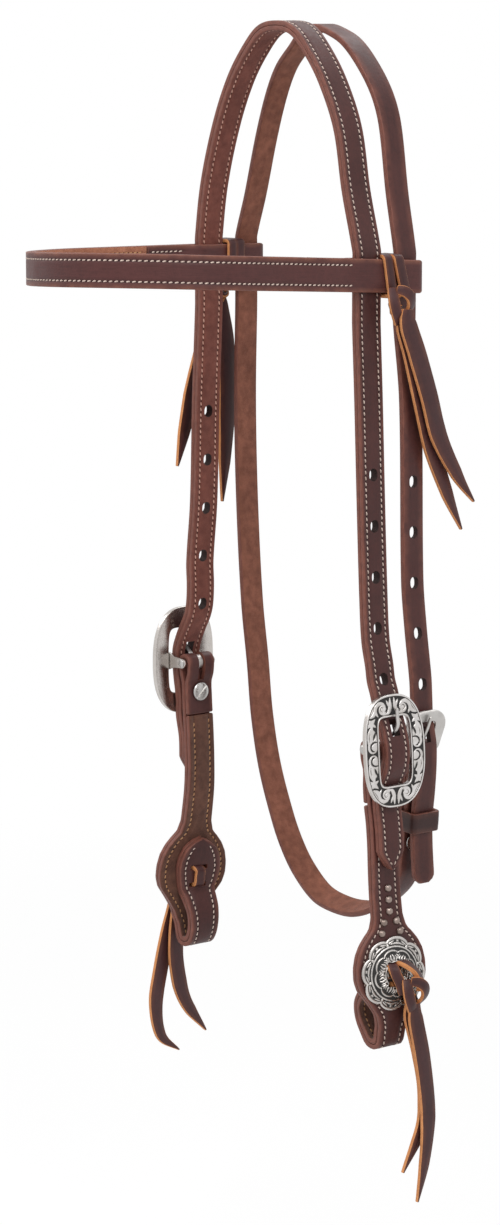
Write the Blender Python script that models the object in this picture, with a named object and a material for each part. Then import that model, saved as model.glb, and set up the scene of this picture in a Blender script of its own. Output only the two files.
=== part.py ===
"""Western browband headstall, built from separate pieces in one shared frame.

Metres, +Z up. The origin lies under the crown strap at the poll. +X is the near side, the
horse's left, and the horse faces -Y. The headstall hangs as it is shown: the crown strap has
slipped towards the near side, so the near buckle hangs lower than the far one.
"""
import math

import bmesh
import bpy
from mathutils import Vector
from mathutils.geometry import tessellate_polygon

MM = 0.001

# General clearances and drawing steps
GAP = 0.3 * MM                   # between pieces that touch
OVERRUN = 4.0 * MM               # how far a cutter passes the faces it cuts
FINE_STEP = 3.9 * MM             # path spacing where a strap bends tightly
LONG_STEP = 11.0 * MM            # path spacing along the open legs
ROUND_STEPS = 14                 # segments of a turned piece
SPOT_STEPS = 8

# Crown strap: a grain layer and a lining sewn together
CROWN_WIDTH = 14.5 * MM
CROWN_LAYER = 2.2 * MM
HOLE_WIDTH = 5.0 * MM
HOLE_LENGTH = 6.2 * MM
HOLE_PITCH = 24.6 * MM
HOLE_COUNT = 5
NEAR_HOLE_RISE = 8.4 * MM         # held hole above the bar
FAR_HOLE_RISE = 6.3 * MM
TIP_LENGTH = 9.0 * MM

# Where the cheek buckles hang
BUCKLE_SPREAD = 70.8 * MM        # bar axis from the middle of the head
NEAR_DROP = 340.8 * MM           # poll to the near buckle bar
FAR_DROP = 318.3 * MM            # poll to the far buckle bar
LEG_SPREAD = 60.2 * MM           # crown strap centre where the browband holds it
POLL_DEPTH = 46.0 * MM           # height of the arch over the poll

# Cheek piece: grain layer and lining, folded over the bar and round the bit
CHEEK_LENGTH = 148.0 * MM
CHEEK_WIDTH = 16.0 * MM
CHEEK_LAYER = 2.4 * MM
FLARE_WIDTH = 39.2 * MM
TAB_WIDTH = 24.0 * MM
FOLD_TAIL = 26.5 * MM
LINING_START = 28.5 * MM
BILLET_DROP = 58.5 * MM          # buckle bar to the crown strap's tip
LOOP_FACET = 5.2 * MM            # flat seat at the bottom of the bit loop

# Cheek buckle
FRAME_WIDTH = 37.5 * MM
FRAME_HEIGHT = 55.0 * MM
FRAME_THICK = 2.4 * MM
FRAME_BOW = 1.2 * MM
WINDOW_WIDTH = 20.0 * MM
WINDOW_HEIGHT = 33.5 * MM
LUG_THICK = 2.0 * MM
LUG_REACH = 3.6 * MM
BAR_RADIUS = 2.0 * MM
BAR_HEAD = 0.7 * MM
TONGUE_WIDTH = 3.4 * MM
TONGUE_THICK = 2.2 * MM
TONGUE_WALL = 1.4 * MM

# Throatlatch: one thick layer that runs over the poll and under the throat
THROAT_WIDTH = 12.7 * MM
THROAT_LAYER = 3.0 * MM
THROAT_SETBACK = 24.0 * MM
THROAT_DRIFT = 2.5 * MM
THROAT_SPREAD = 68.3 * MM
THROAT_DROP = 346.0 * MM
THROAT_LOOP = 433.0 * MM         # poll to the bottom of the throat loop
THROAT_TWIST = math.radians(22.0)
CHAPE_TAIL = 52.0 * MM
THROAT_FRAME_WIDTH = 27.5 * MM
THROAT_FRAME_REACH = 22.5 * MM
THROAT_BORDER = 5.0 * MM
THROAT_SIDE = 5.6 * MM
THROAT_FRAME_THICK = 2.2 * MM
THROAT_BAR = 3.2 * MM
THROAT_TILT = math.radians(23.0)
KEEPER_HEIGHT = 10.0 * MM
KEEPER_LAYER = 1.8 * MM
KEEPER_DROP = 34.0 * MM
KEEPER_LEAN = math.radians(5.0)
KEEPER_PLAY = 0.75 * MM

# Browband
BROW_WIDTH = 15.9 * MM
BROW_LAYER = 2.2 * MM
BROW_REACH = 75.0 * MM           # straight run in front of the crown strap
BROW_DROP = 113.9 * MM
BROW_SIDE_TILT = 0.0108          # lower on the near side
BROW_REAR_TILT = 0.0333          # lower towards the rear
BROW_WARP = 0.0223               # the near leg falls more towards the rear
BROW_TAB = 38.0 * MM
BROW_PINCH = 20.0 * MM
BROW_SEAM = 0.6 * MM

# Ties: flat thongs, knotted, each with two tails
THONG_WIDTH = 9.2 * MM
THONG_THICK = 1.8 * MM
KNOT_WIDTH = 13.0 * MM
KNOT_HEIGHT = 14.0 * MM
KNOT_DEPTH = 8.0 * MM
BROW_TAIL_WIDTH = 11.0 * MM
CONCHO_TAIL_WIDTH = 9.6 * MM
BROW_KNOT_DROP = 13.2 * MM
BROW_TAIL = 104.0 * MM
CONCHO_TAIL = 96.0 * MM
CONCHO_KNOT_DROP = 13.0 * MM
NEAR_KNOT_SHIFT = 7.0 * MM
FAR_KNOT_SHIFT = -2.0 * MM
TIE_PITCH = 9.4 * MM             # between the two slots of a concho tie

# Concho, spots and screws
CONCHO_RADIUS = 18.2 * MM
CONCHO_RISE = 3.8 * MM
CONCHO_EDGE = 1.0 * MM
CONCHO_PETALS = 8
CONCHO_DROP = 110.5 * MM
NEAR_SHIFT = 2.2 * MM            # lower ends swing a little back or forward
FAR_SHIFT = 0.5 * MM
CHEEK_TWIST = math.radians(8.0)  # both lower ends hang turned the same way
SPOT_RADIUS = 1.9 * MM
SPOT_RISE = 1.45 * MM
SPOT_CLEAR = 10.0 * MM           # crown strap's tip to the first spot
SPOT_PITCH = 5.8 * MM
SPOT_SPREAD = 3.8 * MM
SPOT_FLARE = 5.8 * MM
SCREW_DROP = 15.0 * MM
THROAT_SCREW_DROP = 45.0 * MM
SCREW_HEAD_RADIUS = 4.75 * MM
SCREW_HEAD_RISE = 1.7 * MM
SCREW_SLOT = 1.0 * MM
POST_HEAD = 0.7 * MM
POST_RADIUS = 2.5 * MM
SHANK_RADIUS = 1.4 * MM

# Derived stack of the cheek buckle, outwards from the bar axis
CHEEK_HALF = CHEEK_LAYER + GAP / 2
CROWN_HALF = CROWN_LAYER + GAP / 2
FOLD_RADIUS = BAR_RADIUS + GAP + CHEEK_LAYER
STRAP_REST = CHEEK_HALF + GAP + POST_HEAD + GAP + CROWN_HALF
FRAME_STAND = STRAP_REST + CROWN_HALF + GAP + FRAME_THICK / 2 + FRAME_BOW
STRAP_RISE = FRAME_STAND - CROWN_HALF
TAB_DROP = CHEEK_HALF * 2 + GAP * 1.6
THROAT_FOLD = THROAT_BAR / 2 + GAP * 2 + THROAT_LAYER / 2
THROAT_HALF = THROAT_LAYER + GAP / 2
LOOP_SPACE = CROWN_HALF + GAP
SPOT_DROP = BILLET_DROP + SPOT_CLEAR

# Colours and finishes: colour, roughness, metallic
GRAIN = ((0.092, 0.037, 0.031, 1.0), 0.42, 0.0)
FLESH = ((0.190, 0.082, 0.042, 1.0), 0.78, 0.0)
SUEDE = ((0.090, 0.045, 0.028, 1.0), 0.82, 0.0)
THONG = ((0.078, 0.026, 0.022, 1.0), 0.40, 0.0)
SILVER = ((0.72, 0.72, 0.71, 1.0), 0.26, 1.0)
STEEL = ((0.60, 0.60, 0.60, 1.0), 0.30, 1.0)
NICKEL = ((0.45, 0.43, 0.41, 1.0), 0.38, 1.0)

# Upper crown strap, near side: spread and height
NEAR_ARCH_SHARES = ((0.0, 0.051), (0.20, 0.005), (0.375, -0.185), (0.575, -0.51),
                    (0.762, -0.99))
# Where each leg leaves the arch: share of the spread and of the buckle's drop
NEAR_LEG_SHARE = (0.868, -0.220)
FAR_LEG_SHARE = (0.925, -0.236)
# Below the browband, shares of the buckle spread and drop
NEAR_LOWER_SHARES = ((0.877, -0.510), (0.908, -0.660), (0.939, -0.790), (0.962, -0.848))
FAR_LOWER_SHARES = ((0.888, -0.578), (0.915, -0.739), (0.960, -0.836))
# The strap through the cheek buckle: rise as a share of STRAP_RISE or STRAP_REST,
# height as a share of half the frame's height
NEAR_STRAP_SHARES = ((0.02, 1.45), (0.16, 1.20), (0.41, 1.00), (0.63, 0.80), (0.80, 0.61),
                     (0.95, 0.33), (1.0, 0.0), (0.92, -0.27))
FAR_STRAP_SHARES = ((-0.36, 1.45), (-0.28, 1.09), (-0.06, 0.87), (0.34, 0.655), (0.71, 0.436),
                    (0.98, 0.218), (1.0, 0.0), (0.92, -0.27))
STRAP_OUT_SHARES = ((1.0, -0.70), (1.0, -1.0))
# Billet below the frame: stand-off from the cheek piece, and height against BILLET_DROP
BILLET_SHARES = ((0.88, -0.663), (0.88, -0.837), (0.88, -1.0))
# The legs run straight where the browband holds them: shares of its width
BRACE_SHARES = (-1.40, -1.15, 0.45, 0.72)
# Middle of the cheek piece, shares of its length: outwards and down
NEAR_CHEEK_SHARES = ((0.000, -0.070), (0.000, -0.135), (0.005, -0.186), (0.015, -0.243),
                     (0.022, -0.311), (0.0245, -0.392), (0.0265, -0.493), (0.032, -0.581),
                     (0.0385, -0.676), (0.0455, -0.770), (0.053, -0.838), (0.056, -0.892),
                     (0.047, -0.940))
FAR_CHEEK_SHARES = ((0.000, -0.070), (-0.002, -0.135), (-0.007, -0.196), (-0.012, -0.270),
                    (-0.015, -0.358), (-0.011, -0.440), (0.003, -0.527), (0.019, -0.608),
                    (0.033, -0.690), (0.0445, -0.770), (0.053, -0.838), (0.056, -0.892),
                    (0.047, -0.940))
TWIST_SHARES = (-0.36, -0.61)
SEAT_TURN_SHARES = (-0.980, -0.868)   # the turn fades out towards the flat seat
# Inner side of the bit loop, from the flat seat up to the tie
NEAR_LOOP_SHARES = ((-0.022, -0.957), (-0.046, -0.915), (-0.050, -0.872), (-0.030, -0.835))
FAR_LOOP_SHARES = ((-0.020, -0.956), (-0.029, -0.915), (-0.025, -0.872), (-0.009, -0.838))
LOOP_MID_SHARE = 0.017
LOOP_BOTTOM_SHARE = -0.983
TAB_TOP_SHARES = (-0.800, -0.760, -0.715, -0.665, -0.617)
# Half width of the cheek piece against height
FLARE_SHARES = ((-0.560, 0.0), (-0.599, 0.14), (-0.619, 0.39), (-0.646, 0.67),
                (-0.680, 0.89), (-0.721, 1.0), (-0.762, 1.0), (-0.796, 0.86), (-0.823, 0.60),
                (-0.850, 0.36), (-0.878, 0.14), (-0.925, 0.0))
TAB_SHARES = ((-0.617, -0.98), (-0.630, -0.42), (-0.655, 0.22), (-0.690, 0.80), (-0.725, 1.0),
              (-0.765, 0.80), (-0.820, 0.30), (-0.885, 0.06), (-0.93, 0.0))

# Throatlatch over the poll: shares of the spread and of the drop
THROAT_ARCH_SHARES = ((0.796, -0.222), (0.718, -0.130), (0.637, -0.089),
                      (0.489, -0.050), (0.297, -0.016), (0.088, 0.001), (-0.031, 0.0045),
                      (-0.156, -0.003), (-0.273, -0.020), (-0.437, -0.046),
                      (-0.584, -0.071), (-0.722, -0.139), (-0.833, -0.222))
THROAT_NEAR_SHARES = ((0.990, -0.826), (0.962, -0.757), (0.940, -0.506))
THROAT_FAR_SHARES = ((-0.896, -0.427), (-0.872, -0.545), (-0.814, -0.663), (-0.746, -0.734),
                     (-0.695, -0.797), (-0.602, -0.857), (-0.452, -0.915), (-0.345, -0.945),
                     (-0.215, -0.970), (-0.020, -0.993), (0.165, -1.0), (0.385, -1.0),
                     (0.625, -0.989), (0.822, -0.965))
# Billet through the throat buckle: shares of the frame's reach, out and down
THROAT_BILLET_SHARES = ((0.270, -2.89), (0.225, -2.45), (0.195, -2.05), (0.187, -1.51),
                        (0.258, -0.90), (0.300, -0.40), (0.307, 0.0), (0.289, 0.22),
                        (0.222, 0.49), (0.165, 0.71), (0.160, 0.93), (0.142, 1.24),
                        (0.115, 1.60))
# Middle of the folded chape: shares of its length
CHAPE_SHARES = ((-0.134, -1.19), (-0.121, -1.06), (-0.096, -0.88), (-0.062, -0.65),
                (-0.024, -0.38), (-0.010, -0.22))

# Tails: across and down from the knot, shares of the tail's length, and width shares
NEAR_BROW_A_SHARES = ((0.0, 0.0), (0.06, -0.15), (0.135, -0.35), (0.20, -0.545), (0.32, -0.74),
                      (0.42, -0.865))
NEAR_BROW_B_SHARES = ((0.0, 0.0), (0.06, -0.17), (0.12, -0.38), (0.185, -0.60), (0.28, -0.82),
                      (0.37, -0.995))
FAR_BROW_A_SHARES = ((0.0, 0.0), (-0.06, -0.20), (-0.12, -0.38), (-0.17, -0.55),
                     (-0.235, -0.80))
FAR_BROW_B_SHARES = ((0.0, 0.0), (0.04, -0.20), (0.05, -0.42), (0.045, -0.65), (0.02, -0.99))
NEAR_CONCHO_A_SHARES = ((0.0, 0.0), (0.05, -0.22), (0.087, -0.45), (0.094, -0.60),
                        (0.070, -0.80), (0.025, -0.99))
NEAR_CONCHO_B_SHARES = ((0.0, 0.0), (0.060, -0.20), (0.102, -0.42), (0.085, -0.60),
                        (-0.045, -0.83))
FAR_CONCHO_A_SHARES = ((0.0, 0.0), (-0.05, -0.16), (-0.10, -0.35), (-0.135, -0.55),
                       (-0.10, -0.73), (0.02, -0.83))
FAR_CONCHO_B_SHARES = ((0.0, 0.0), (-0.02, -0.16), (-0.02, -0.33), (0.035, -0.54), (0.18, -0.74))
TAIL_WIDTH_SHARES = ((0.0, 0.45), (0.06, 0.80), (0.25, 0.95), (0.60, 1.0), (0.82, 0.66),
                     (1.0, 0.09))


def clear_scene():
    """Remove every object of the scene."""
    for item in list(bpy.data.objects):
        bpy.data.objects.remove(item, do_unlink=True)


def material(name, finish):
    """Make one Principled material from a colour, a roughness and a metallic value."""
    colour, roughness, metallic = finish
    made = bpy.data.materials.new(name)
    made.use_nodes = True
    shader = made.node_tree.nodes["Principled BSDF"]
    shader.inputs["Base Color"].default_value = colour
    shader.inputs["Roughness"].default_value = roughness
    shader.inputs["Metallic"].default_value = metallic
    made.diffuse_color = colour
    return made


def solid(name, points, faces, finish=None, origin=(0.0, 0.0, 0.0)):
    """Make an object from points and faces, with its origin where it turns."""
    pivot = Vector(origin)
    mesh = bpy.data.meshes.new(name)
    mesh.from_pydata([Vector(p) - pivot for p in points], [], faces)
    work = bmesh.new()
    work.from_mesh(mesh)
    bmesh.ops.recalc_face_normals(work, faces=work.faces)
    work.to_mesh(mesh)
    work.free()
    made = bpy.data.objects.new(name, mesh)
    made.location = pivot
    bpy.context.scene.collection.objects.link(made)
    if finish is not None:
        mesh.materials.append(material(name, finish))
    return made


def combine(target, tools, operation):
    """Apply one boolean for each tool to the target, then delete the tools."""
    for tool in tools:
        change = target.modifiers.new(operation, "BOOLEAN")
        change.operation = operation
        change.solver = "EXACT"
        change.object = tool
        bpy.context.view_layer.update()
        graph = bpy.context.evaluated_depsgraph_get()
        mesh = bpy.data.meshes.new_from_object(target.evaluated_get(graph))
        target.modifiers.clear()
        old = target.data
        target.data = mesh
        mesh.name = old.name
        bpy.data.meshes.remove(old)
    tidy(target)
    return target


def tidy(target):
    """Weld the tiny slivers that a boolean can leave."""
    work = bmesh.new()
    work.from_mesh(target.data)
    bmesh.ops.remove_doubles(work, verts=work.verts, dist=GAP / 300)
    bmesh.ops.dissolve_degenerate(work, edges=work.edges, dist=GAP / 300)
    work.to_mesh(target.data)
    work.free()


def discard(tools):
    """Delete cutters that have done their work."""
    for tool in tools:
        mesh = tool.data
        bpy.data.objects.remove(tool, do_unlink=True)
        bpy.data.meshes.remove(mesh)


def scaled(table, first, second):
    """Turn a table of shares into lengths along two directions."""
    return [(a * first, b * second) for a, b in table]


def smooth(points, step):
    """Run a curve through the points, with samples about one step apart."""
    ends = [Vector(p) for p in points]
    run = []
    for index in range(len(ends) - 1):
        start = ends[index]
        stop = ends[index + 1]
        before = ends[max(index - 1, 0)]
        after = ends[min(index + 2, len(ends) - 1)]
        span = (stop - start).length
        lead = (stop - before) * (span / max((stop - start).length
                                             + (start - before).length, span))
        trail = (after - start) * (span / max((after - stop).length + span, span))
        count = max(1, math.ceil(span / step))
        for part in range(count):
            t = part / count
            run.append(hermite(start, stop, lead, trail, t))
    run.append(ends[-1])
    return run


def thinned(run, step_at):
    """Drop the points of a run that come closer together than the step wanted there."""
    kept = [run[0]]
    for point in run[1:-1]:
        if (point - kept[-1]).length >= step_at(point) * 0.9:
            kept.append(point)
    kept.append(run[-1])
    return kept


def hermite(start, stop, lead, trail, t):
    """One point of the cubic between two points with given slopes."""
    square = t * t
    cube = square * t
    return (start * (2 * cube - 3 * square + 1) + lead * (cube - 2 * square + t)
            + stop * (3 * square - 2 * cube) + trail * (cube - square))


def read_shares(table, place):
    """Read a value between the rows of a table sorted by place, up or down."""
    rows = sorted(table)
    if place <= rows[0][0]:
        return rows[0][1]
    for (low, first), (high, second) in zip(rows, rows[1:]):
        if place <= high:
            blend = (place - low) / (high - low)
            return first + (second - first) * blend
    return rows[-1][1]


def directions(run):
    """Unit direction of travel at each point of a run."""
    found = []
    for index, point in enumerate(run):
        before = run[max(index - 1, 0)]
        after = run[min(index + 1, len(run) - 1)]
        found.append((after - before).normalized())
    return found


def lay_strap(name, run, across, halves, faces_at, finish, origin=(0, 0, 0), mirror=1):
    """Sweep a flat section along a run.

    across is one direction or one for each point, halves the half width at each point, and
    faces_at the inner and outer face, measured from the run along its outward normal.
    """
    points = []
    low, high = faces_at
    for index, travel in enumerate(directions(run)):
        side = across[index] if isinstance(across, list) else across
        side = (side - travel * side.dot(travel)).normalized()
        out = side.cross(travel).normalized()
        half = halves[index]
        for level, reach in ((low, -half), (low, half), (high, half), (high, -half)):
            points.append(run[index] + out * level + side * reach)
    faces = sweep_faces(len(run), 4)
    points = [Vector((p.x * mirror, p.y, p.z)) for p in points]
    return solid(name, points, faces, finish, origin)


def sweep_faces(stations, corners):
    """Faces of a capped sweep with the same corners at each station."""
    faces = [tuple(range(corners)), tuple(range((stations - 1) * corners, stations * corners))]
    for station in range(stations - 1):
        base = station * corners
        for corner in range(corners):
            beside = (corner + 1) % corners
            faces.append((base + corner, base + beside,
                          base + corners + beside, base + corners + corner))
    return faces


def ring_plate(name, outer, inner, place, depth, finish=None, origin=(0, 0, 0)):
    """A flat ring between two outlines with the same number of points.

    place turns (u, v, w) into a point, and depth gives the two levels of w.
    """
    count = len(outer)
    points = []
    for loop, level in ((outer, depth[0]), (outer, depth[1]), (inner, depth[1]),
                        (inner, depth[0])):
        points += [place(u, v, level) for u, v in loop]
    faces = []
    for row in range(4):
        base = row * count
        top = ((row + 1) % 4) * count
        for index in range(count):
            beside = (index + 1) % count
            faces.append((base + index, base + beside, top + beside, top + index))
    return solid(name, points, faces, finish, origin)


def flat_plate(name, outline, holes, place, depth, finish=None, origin=(0, 0, 0)):
    """Extrude an outline, with holes in it, between two levels."""
    loops = [outline] + holes
    flat = [[Vector((u, v, 0.0)) for u, v in loop] for loop in loops]
    triangles = tessellate_polygon(flat)
    total = sum(len(loop) for loop in loops)
    points = []
    for level in depth:
        points += [place(u, v, level) for loop in loops for u, v in loop]
    faces = [tuple(t) for t in triangles]
    faces += [tuple(index + total for index in reversed(t)) for t in triangles]
    start = 0
    for loop in loops:
        count = len(loop)
        for index in range(count):
            beside = (index + 1) % count
            faces.append((start + index, start + beside,
                          total + start + beside, total + start + index))
        start += count
    return solid(name, points, faces, finish, origin)


def turned(name, profile, base, axis, finish=None, origin=(0, 0, 0), steps=ROUND_STEPS):
    """Turn a profile of (radius, height) about an axis; its ends lie on the axis."""
    up = Vector(axis).normalized()
    first = up.orthogonal().normalized()
    second = up.cross(first)
    points = [Vector(base) + up * profile[0][1]]
    for radius, height in profile[1:-1]:
        for index in range(steps):
            angle = math.tau * index / steps
            ring = first * math.cos(angle) + second * math.sin(angle)
            points.append(Vector(base) + ring * radius + up * height)
    points.append(Vector(base) + up * profile[-1][1])
    last = len(points) - 1
    rows = len(profile) - 2
    faces = []
    for index in range(steps):
        beside = (index + 1) % steps
        faces.append((0, 1 + beside, 1 + index))
        faces.append((last, last - steps + index, last - steps + beside))
        for row in range(rows - 1):
            base_row = 1 + row * steps
            faces.append((base_row + index, base_row + beside,
                          base_row + steps + beside, base_row + steps + index))
    return solid(name, points, faces, finish, origin)


def box(name, centre, axes, halves):
    """A plain block, used as a cutter."""
    points = []
    for x in (-1, 1):
        for y in (-1, 1):
            for z in (-1, 1):
                points.append(Vector(centre) + axes[0] * (x * halves[0])
                              + axes[1] * (y * halves[1]) + axes[2] * (z * halves[2]))
    faces = [(0, 1, 3, 2), (4, 6, 7, 5), (0, 4, 5, 1), (2, 3, 7, 6), (0, 2, 6, 4),
             (1, 5, 7, 3)]
    return solid(name, points, faces)


def oblong(half_width, half_length, steps=3):
    """Outline of an oblong hole, rounded at both ends."""
    straight = half_length - half_width
    points = []
    for end in (1, -1):
        for index in range(steps + 1):
            angle = math.pi * index / steps
            points.append((half_width * math.cos(angle) * end,
                           (half_width * math.sin(angle) + straight) * end))
    return points


def punch(name, centre, travel, side, half_width, half_length, depth):
    """Cutter for one oblong hole, square to the leather."""
    out = side.cross(travel).normalized()

    def place(u, v, w):
        return centre + side * u + travel * v + out * w

    return flat_plate(name, oblong(half_width, half_length), [], place, (-depth, depth))


def oval(half_u, half_v, power, angles):
    """Outline of a full oval whose power sets how square it is."""
    points = []
    for angle in angles:
        u, v = math.cos(angle), math.sin(angle)
        points.append((math.copysign(abs(u) ** (2 / power), u) * half_u,
                       math.copysign(abs(v) ** (2 / power), v) * half_v))
    return points


def at_height(run, height, part):
    """Point and direction of a run at a height, within a slice of the run."""
    indices = list(range(len(run))[part])
    for first, second in zip(indices, indices[1:]):
        low, high = run[first], run[second]
        if (low.z - height) * (high.z - height) <= 0 and low.z != high.z:
            blend = (height - low.z) / (high.z - low.z)
            return low.lerp(high, blend), (high - low).normalized()
    index = min(indices, key=lambda i: abs(run[i].z - height))
    return run[index], directions(run)[index]


Y_AXIS = Vector((0.0, 1.0, 0.0))
X_AXIS = Vector((1.0, 0.0, 0.0))
Z_AXIS = Vector((0.0, 0.0, 1.0))


class Side:
    """One side of the head: its name, its sign, its buckle bar and how it hangs."""

    def __init__(self, name, sign, drop, hang, shapes):
        self.name = name
        self.sign = sign
        self.drop = drop
        self.shift, self.knot, self.hole = hang
        self.middle, self.strap, self.lower, self.loop = shapes
        self.bar = Vector((BUCKLE_SPREAD * sign, 0.0, -drop))

    def point(self, out, y, up):
        """World point from outwards, back and up distances from the bar."""
        return Vector((self.sign * (BUCKLE_SPREAD + out), y, up - self.drop))

    def place(self, u, v, w):
        """World point for a plate drawn outwards and upwards, w along the bar."""
        return self.point(u, w, v)

    def vector(self, out, y, up):
        """World direction from outward, back and up parts."""
        return Vector((self.sign * out, y, up))


NEAR = Side("near", 1, NEAR_DROP, (NEAR_SHIFT, NEAR_KNOT_SHIFT, NEAR_HOLE_RISE),
            (NEAR_CHEEK_SHARES, NEAR_STRAP_SHARES, NEAR_LOWER_SHARES, NEAR_LOOP_SHARES))
FAR = Side("far", -1, FAR_DROP, (FAR_SHIFT, FAR_KNOT_SHIFT, FAR_HOLE_RISE),
           (FAR_CHEEK_SHARES, FAR_STRAP_SHARES, FAR_LOWER_SHARES, FAR_LOOP_SHARES))


def cheek_middle(side, height):
    """How far the middle of the cheek piece stands out at a height below the bar."""
    rows = [(down * CHEEK_LENGTH, out * CHEEK_LENGTH) for out, down in side.middle]
    return read_shares(rows, height)


def sway_share(height):
    """How much of the lower end's turn and shift is reached at a height below the bar."""
    start, full = TWIST_SHARES
    return min(max((height / CHEEK_LENGTH - start) / (full - start), 0.0), 1.0)


def cheek_turn(side, height):
    """How far the cheek piece is turned about its length at a height below the bar."""
    flat, full = SEAT_TURN_SHARES
    fade = min(max((height / CHEEK_LENGTH - flat) / (full - flat), 0.0), 1.0)
    return side.sign * CHEEK_TWIST * sway_share(height) * fade


def cheek_sway(side, height):
    """How far the cheek piece has swung back or forward at a height below the bar."""
    return side.shift * sway_share(height)


def strap_stations(side):
    """The crown strap through one buckle, from its tip up, as world points."""
    half = FRAME_HEIGHT / 2
    tip = []
    for stand, down in reversed(BILLET_SHARES):
        height = down * BILLET_DROP
        tip.append((cheek_middle(side, height) + stand * STRAP_REST, height))
    low = [(out * STRAP_REST, up * half) for out, up in reversed(STRAP_OUT_SHARES)]
    high = [(out * STRAP_RISE, up * half) for out, up in reversed(side.strap)]
    return [side.point(out, 0.0, up) for out, up in tip + low + high]


def crown_leg(side):
    """Points of one crown leg, from its tip up to the browband."""
    points = strap_stations(side)
    for spread, drop in reversed(side.lower):
        points.append(Vector((side.sign * spread * BUCKLE_SPREAD, 0.0, drop * side.drop)))
    middle = brow_height(side.sign * LEG_SPREAD, 0.0)
    for share in BRACE_SHARES:
        points.append(Vector((side.sign * LEG_SPREAD, 0.0, middle + share * BROW_WIDTH)))
    return points


def crown_points():
    """Points of the crown strap, from the near tip over the poll to the far tip."""
    arch = scaled(NEAR_ARCH_SHARES, LEG_SPREAD, POLL_DEPTH)
    near_arch = [Vector((x, 0.0, z)) for x, z in reversed(arch)]
    far_arch = [Vector((-x, 0.0, z)) for x, z in arch[1:]]
    near_share, near_down = NEAR_LEG_SHARE
    far_share, far_down = FAR_LEG_SHARE
    near_arch.insert(0, Vector((LEG_SPREAD * near_share, 0.0, NEAR_DROP * near_down)))
    far_arch.append(Vector((-LEG_SPREAD * far_share, 0.0, FAR_DROP * far_down)))
    return crown_leg(NEAR) + near_arch + far_arch + list(reversed(crown_leg(FAR)))


def crown_step(point):
    """Spacing of the crown strap's stations: close at the buckles, wide elsewhere."""
    at_buckle = abs(point.z + NEAR_DROP) if point.x > 0 else abs(point.z + FAR_DROP)
    return FINE_STEP if at_buckle < FRAME_HEIGHT * 0.8 else LONG_STEP


def crown_centre():
    """The crown strap's middle line."""
    return thinned(smooth(crown_points(), FINE_STEP), crown_step)


def tip_halves(run, width, ends):
    """Half widths of a strap that comes to a blunt point at the named ends."""
    lengths = [0.0]
    for first, second in zip(run, run[1:]):
        lengths.append(lengths[-1] + (second - first).length)
    total = lengths[-1]
    halves = []
    for place in lengths:
        left = TIP_LENGTH * 2
        if "start" in ends:
            left = min(left, place)
        if "end" in ends:
            left = min(left, total - place)
        share = min(1.0, 0.12 + 0.88 * min(left / TIP_LENGTH, 1.0) ** 0.8)
        halves.append(width / 2 * share)
    return halves


def hole_cutters(label, run, part, first, side, depth):
    """Cutters for one row of buckle holes, counted upwards from the first height."""
    tools = []
    for index in range(HOLE_COUNT):
        height = first + (index + 1) * HOLE_PITCH
        centre, travel = at_height(run, height, part)
        tools.append(punch(f"{label}_{index}", centre, travel, side, HOLE_WIDTH / 2,
                           HOLE_LENGTH / 2, depth))
    return tools


def tongue_line():
    """The cheek tongue's middle, from the bar to its tip, as (out, up) points."""
    reach = FRAME_HEIGHT / 2
    rest = FRAME_STAND + FRAME_THICK / 2 + GAP + TONGUE_THICK / 2
    lip = WINDOW_HEIGHT / 2
    bow = FRAME_BOW * (lip / reach) ** 2
    end = lip + (reach - lip) * 0.62
    end_bow = FRAME_BOW * (end / reach) ** 2
    return [(rest * 0.32, lip * 0.24), (rest * 0.66, lip * 0.58), (rest - bow, lip),
            (rest - end_bow, end)]


def tongue_hole(side):
    """Cutter for the engaged hole, drawn along the tongue as it comes through."""
    line = tongue_line()
    start = side.point(line[0][0], 0.0, line[0][1])
    stop = side.point(line[2][0], 0.0, line[2][1])
    travel = (stop - start).normalized()
    down = Y_AXIS.cross(travel).normalized()
    if down.z > 0:
        down = -down
    centre = (start + stop) / 2 + down * TONGUE_THICK * 0.4
    return box("tongue_hole", centre, (travel, Y_AXIS, down),
               ((stop - start).length / 2 + GAP, HOLE_WIDTH / 2, TONGUE_THICK * 1.15))


def build_crown():
    """Grain layer and lining of the crown strap."""
    run = crown_centre()
    halves = tip_halves(run, CROWN_WIDTH, ("start", "end"))
    top = max(range(len(run)), key=lambda i: run[i].z)
    near_held = NEAR.hole - NEAR.drop
    far_held = FAR.hole - FAR.drop
    tools = hole_cutters("near_hole", run, slice(0, top), near_held, Y_AXIS, OVERRUN)
    tools += hole_cutters("far_hole", run, slice(top, len(run)), far_held, Y_AXIS, OVERRUN)
    tools += [tongue_hole(NEAR), tongue_hole(FAR)]
    layers = (("crown_strap", (GAP / 2, CROWN_HALF), GRAIN),
              ("crown_lining", (-CROWN_HALF, -GAP / 2), FLESH))
    for name, levels, finish in layers:
        layer = lay_strap(name, run, Y_AXIS, halves, levels, finish)
        combine(layer, tools, "DIFFERENCE")
    discard(tools)


def cheek_points(side):
    """Middle of the cheek piece from the loop's inner tip round to the front and up."""
    down = [(out * CHEEK_LENGTH, height * CHEEK_LENGTH) for out, height in side.middle]
    inner = []
    for share in reversed(TAB_TOP_SHARES):
        height = share * CHEEK_LENGTH
        inner.append((cheek_middle(side, height) - TAB_DROP, height))
    inner += [(out * CHEEK_LENGTH, height * CHEEK_LENGTH)
              for out, height in reversed(side.loop)]
    middle = LOOP_MID_SHARE * CHEEK_LENGTH
    bottom = LOOP_BOTTOM_SHARE * CHEEK_LENGTH
    seat = [(middle - LOOP_FACET / 2, bottom), (middle + LOOP_FACET / 2, bottom)]
    return inner, seat, list(reversed(down))


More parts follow.
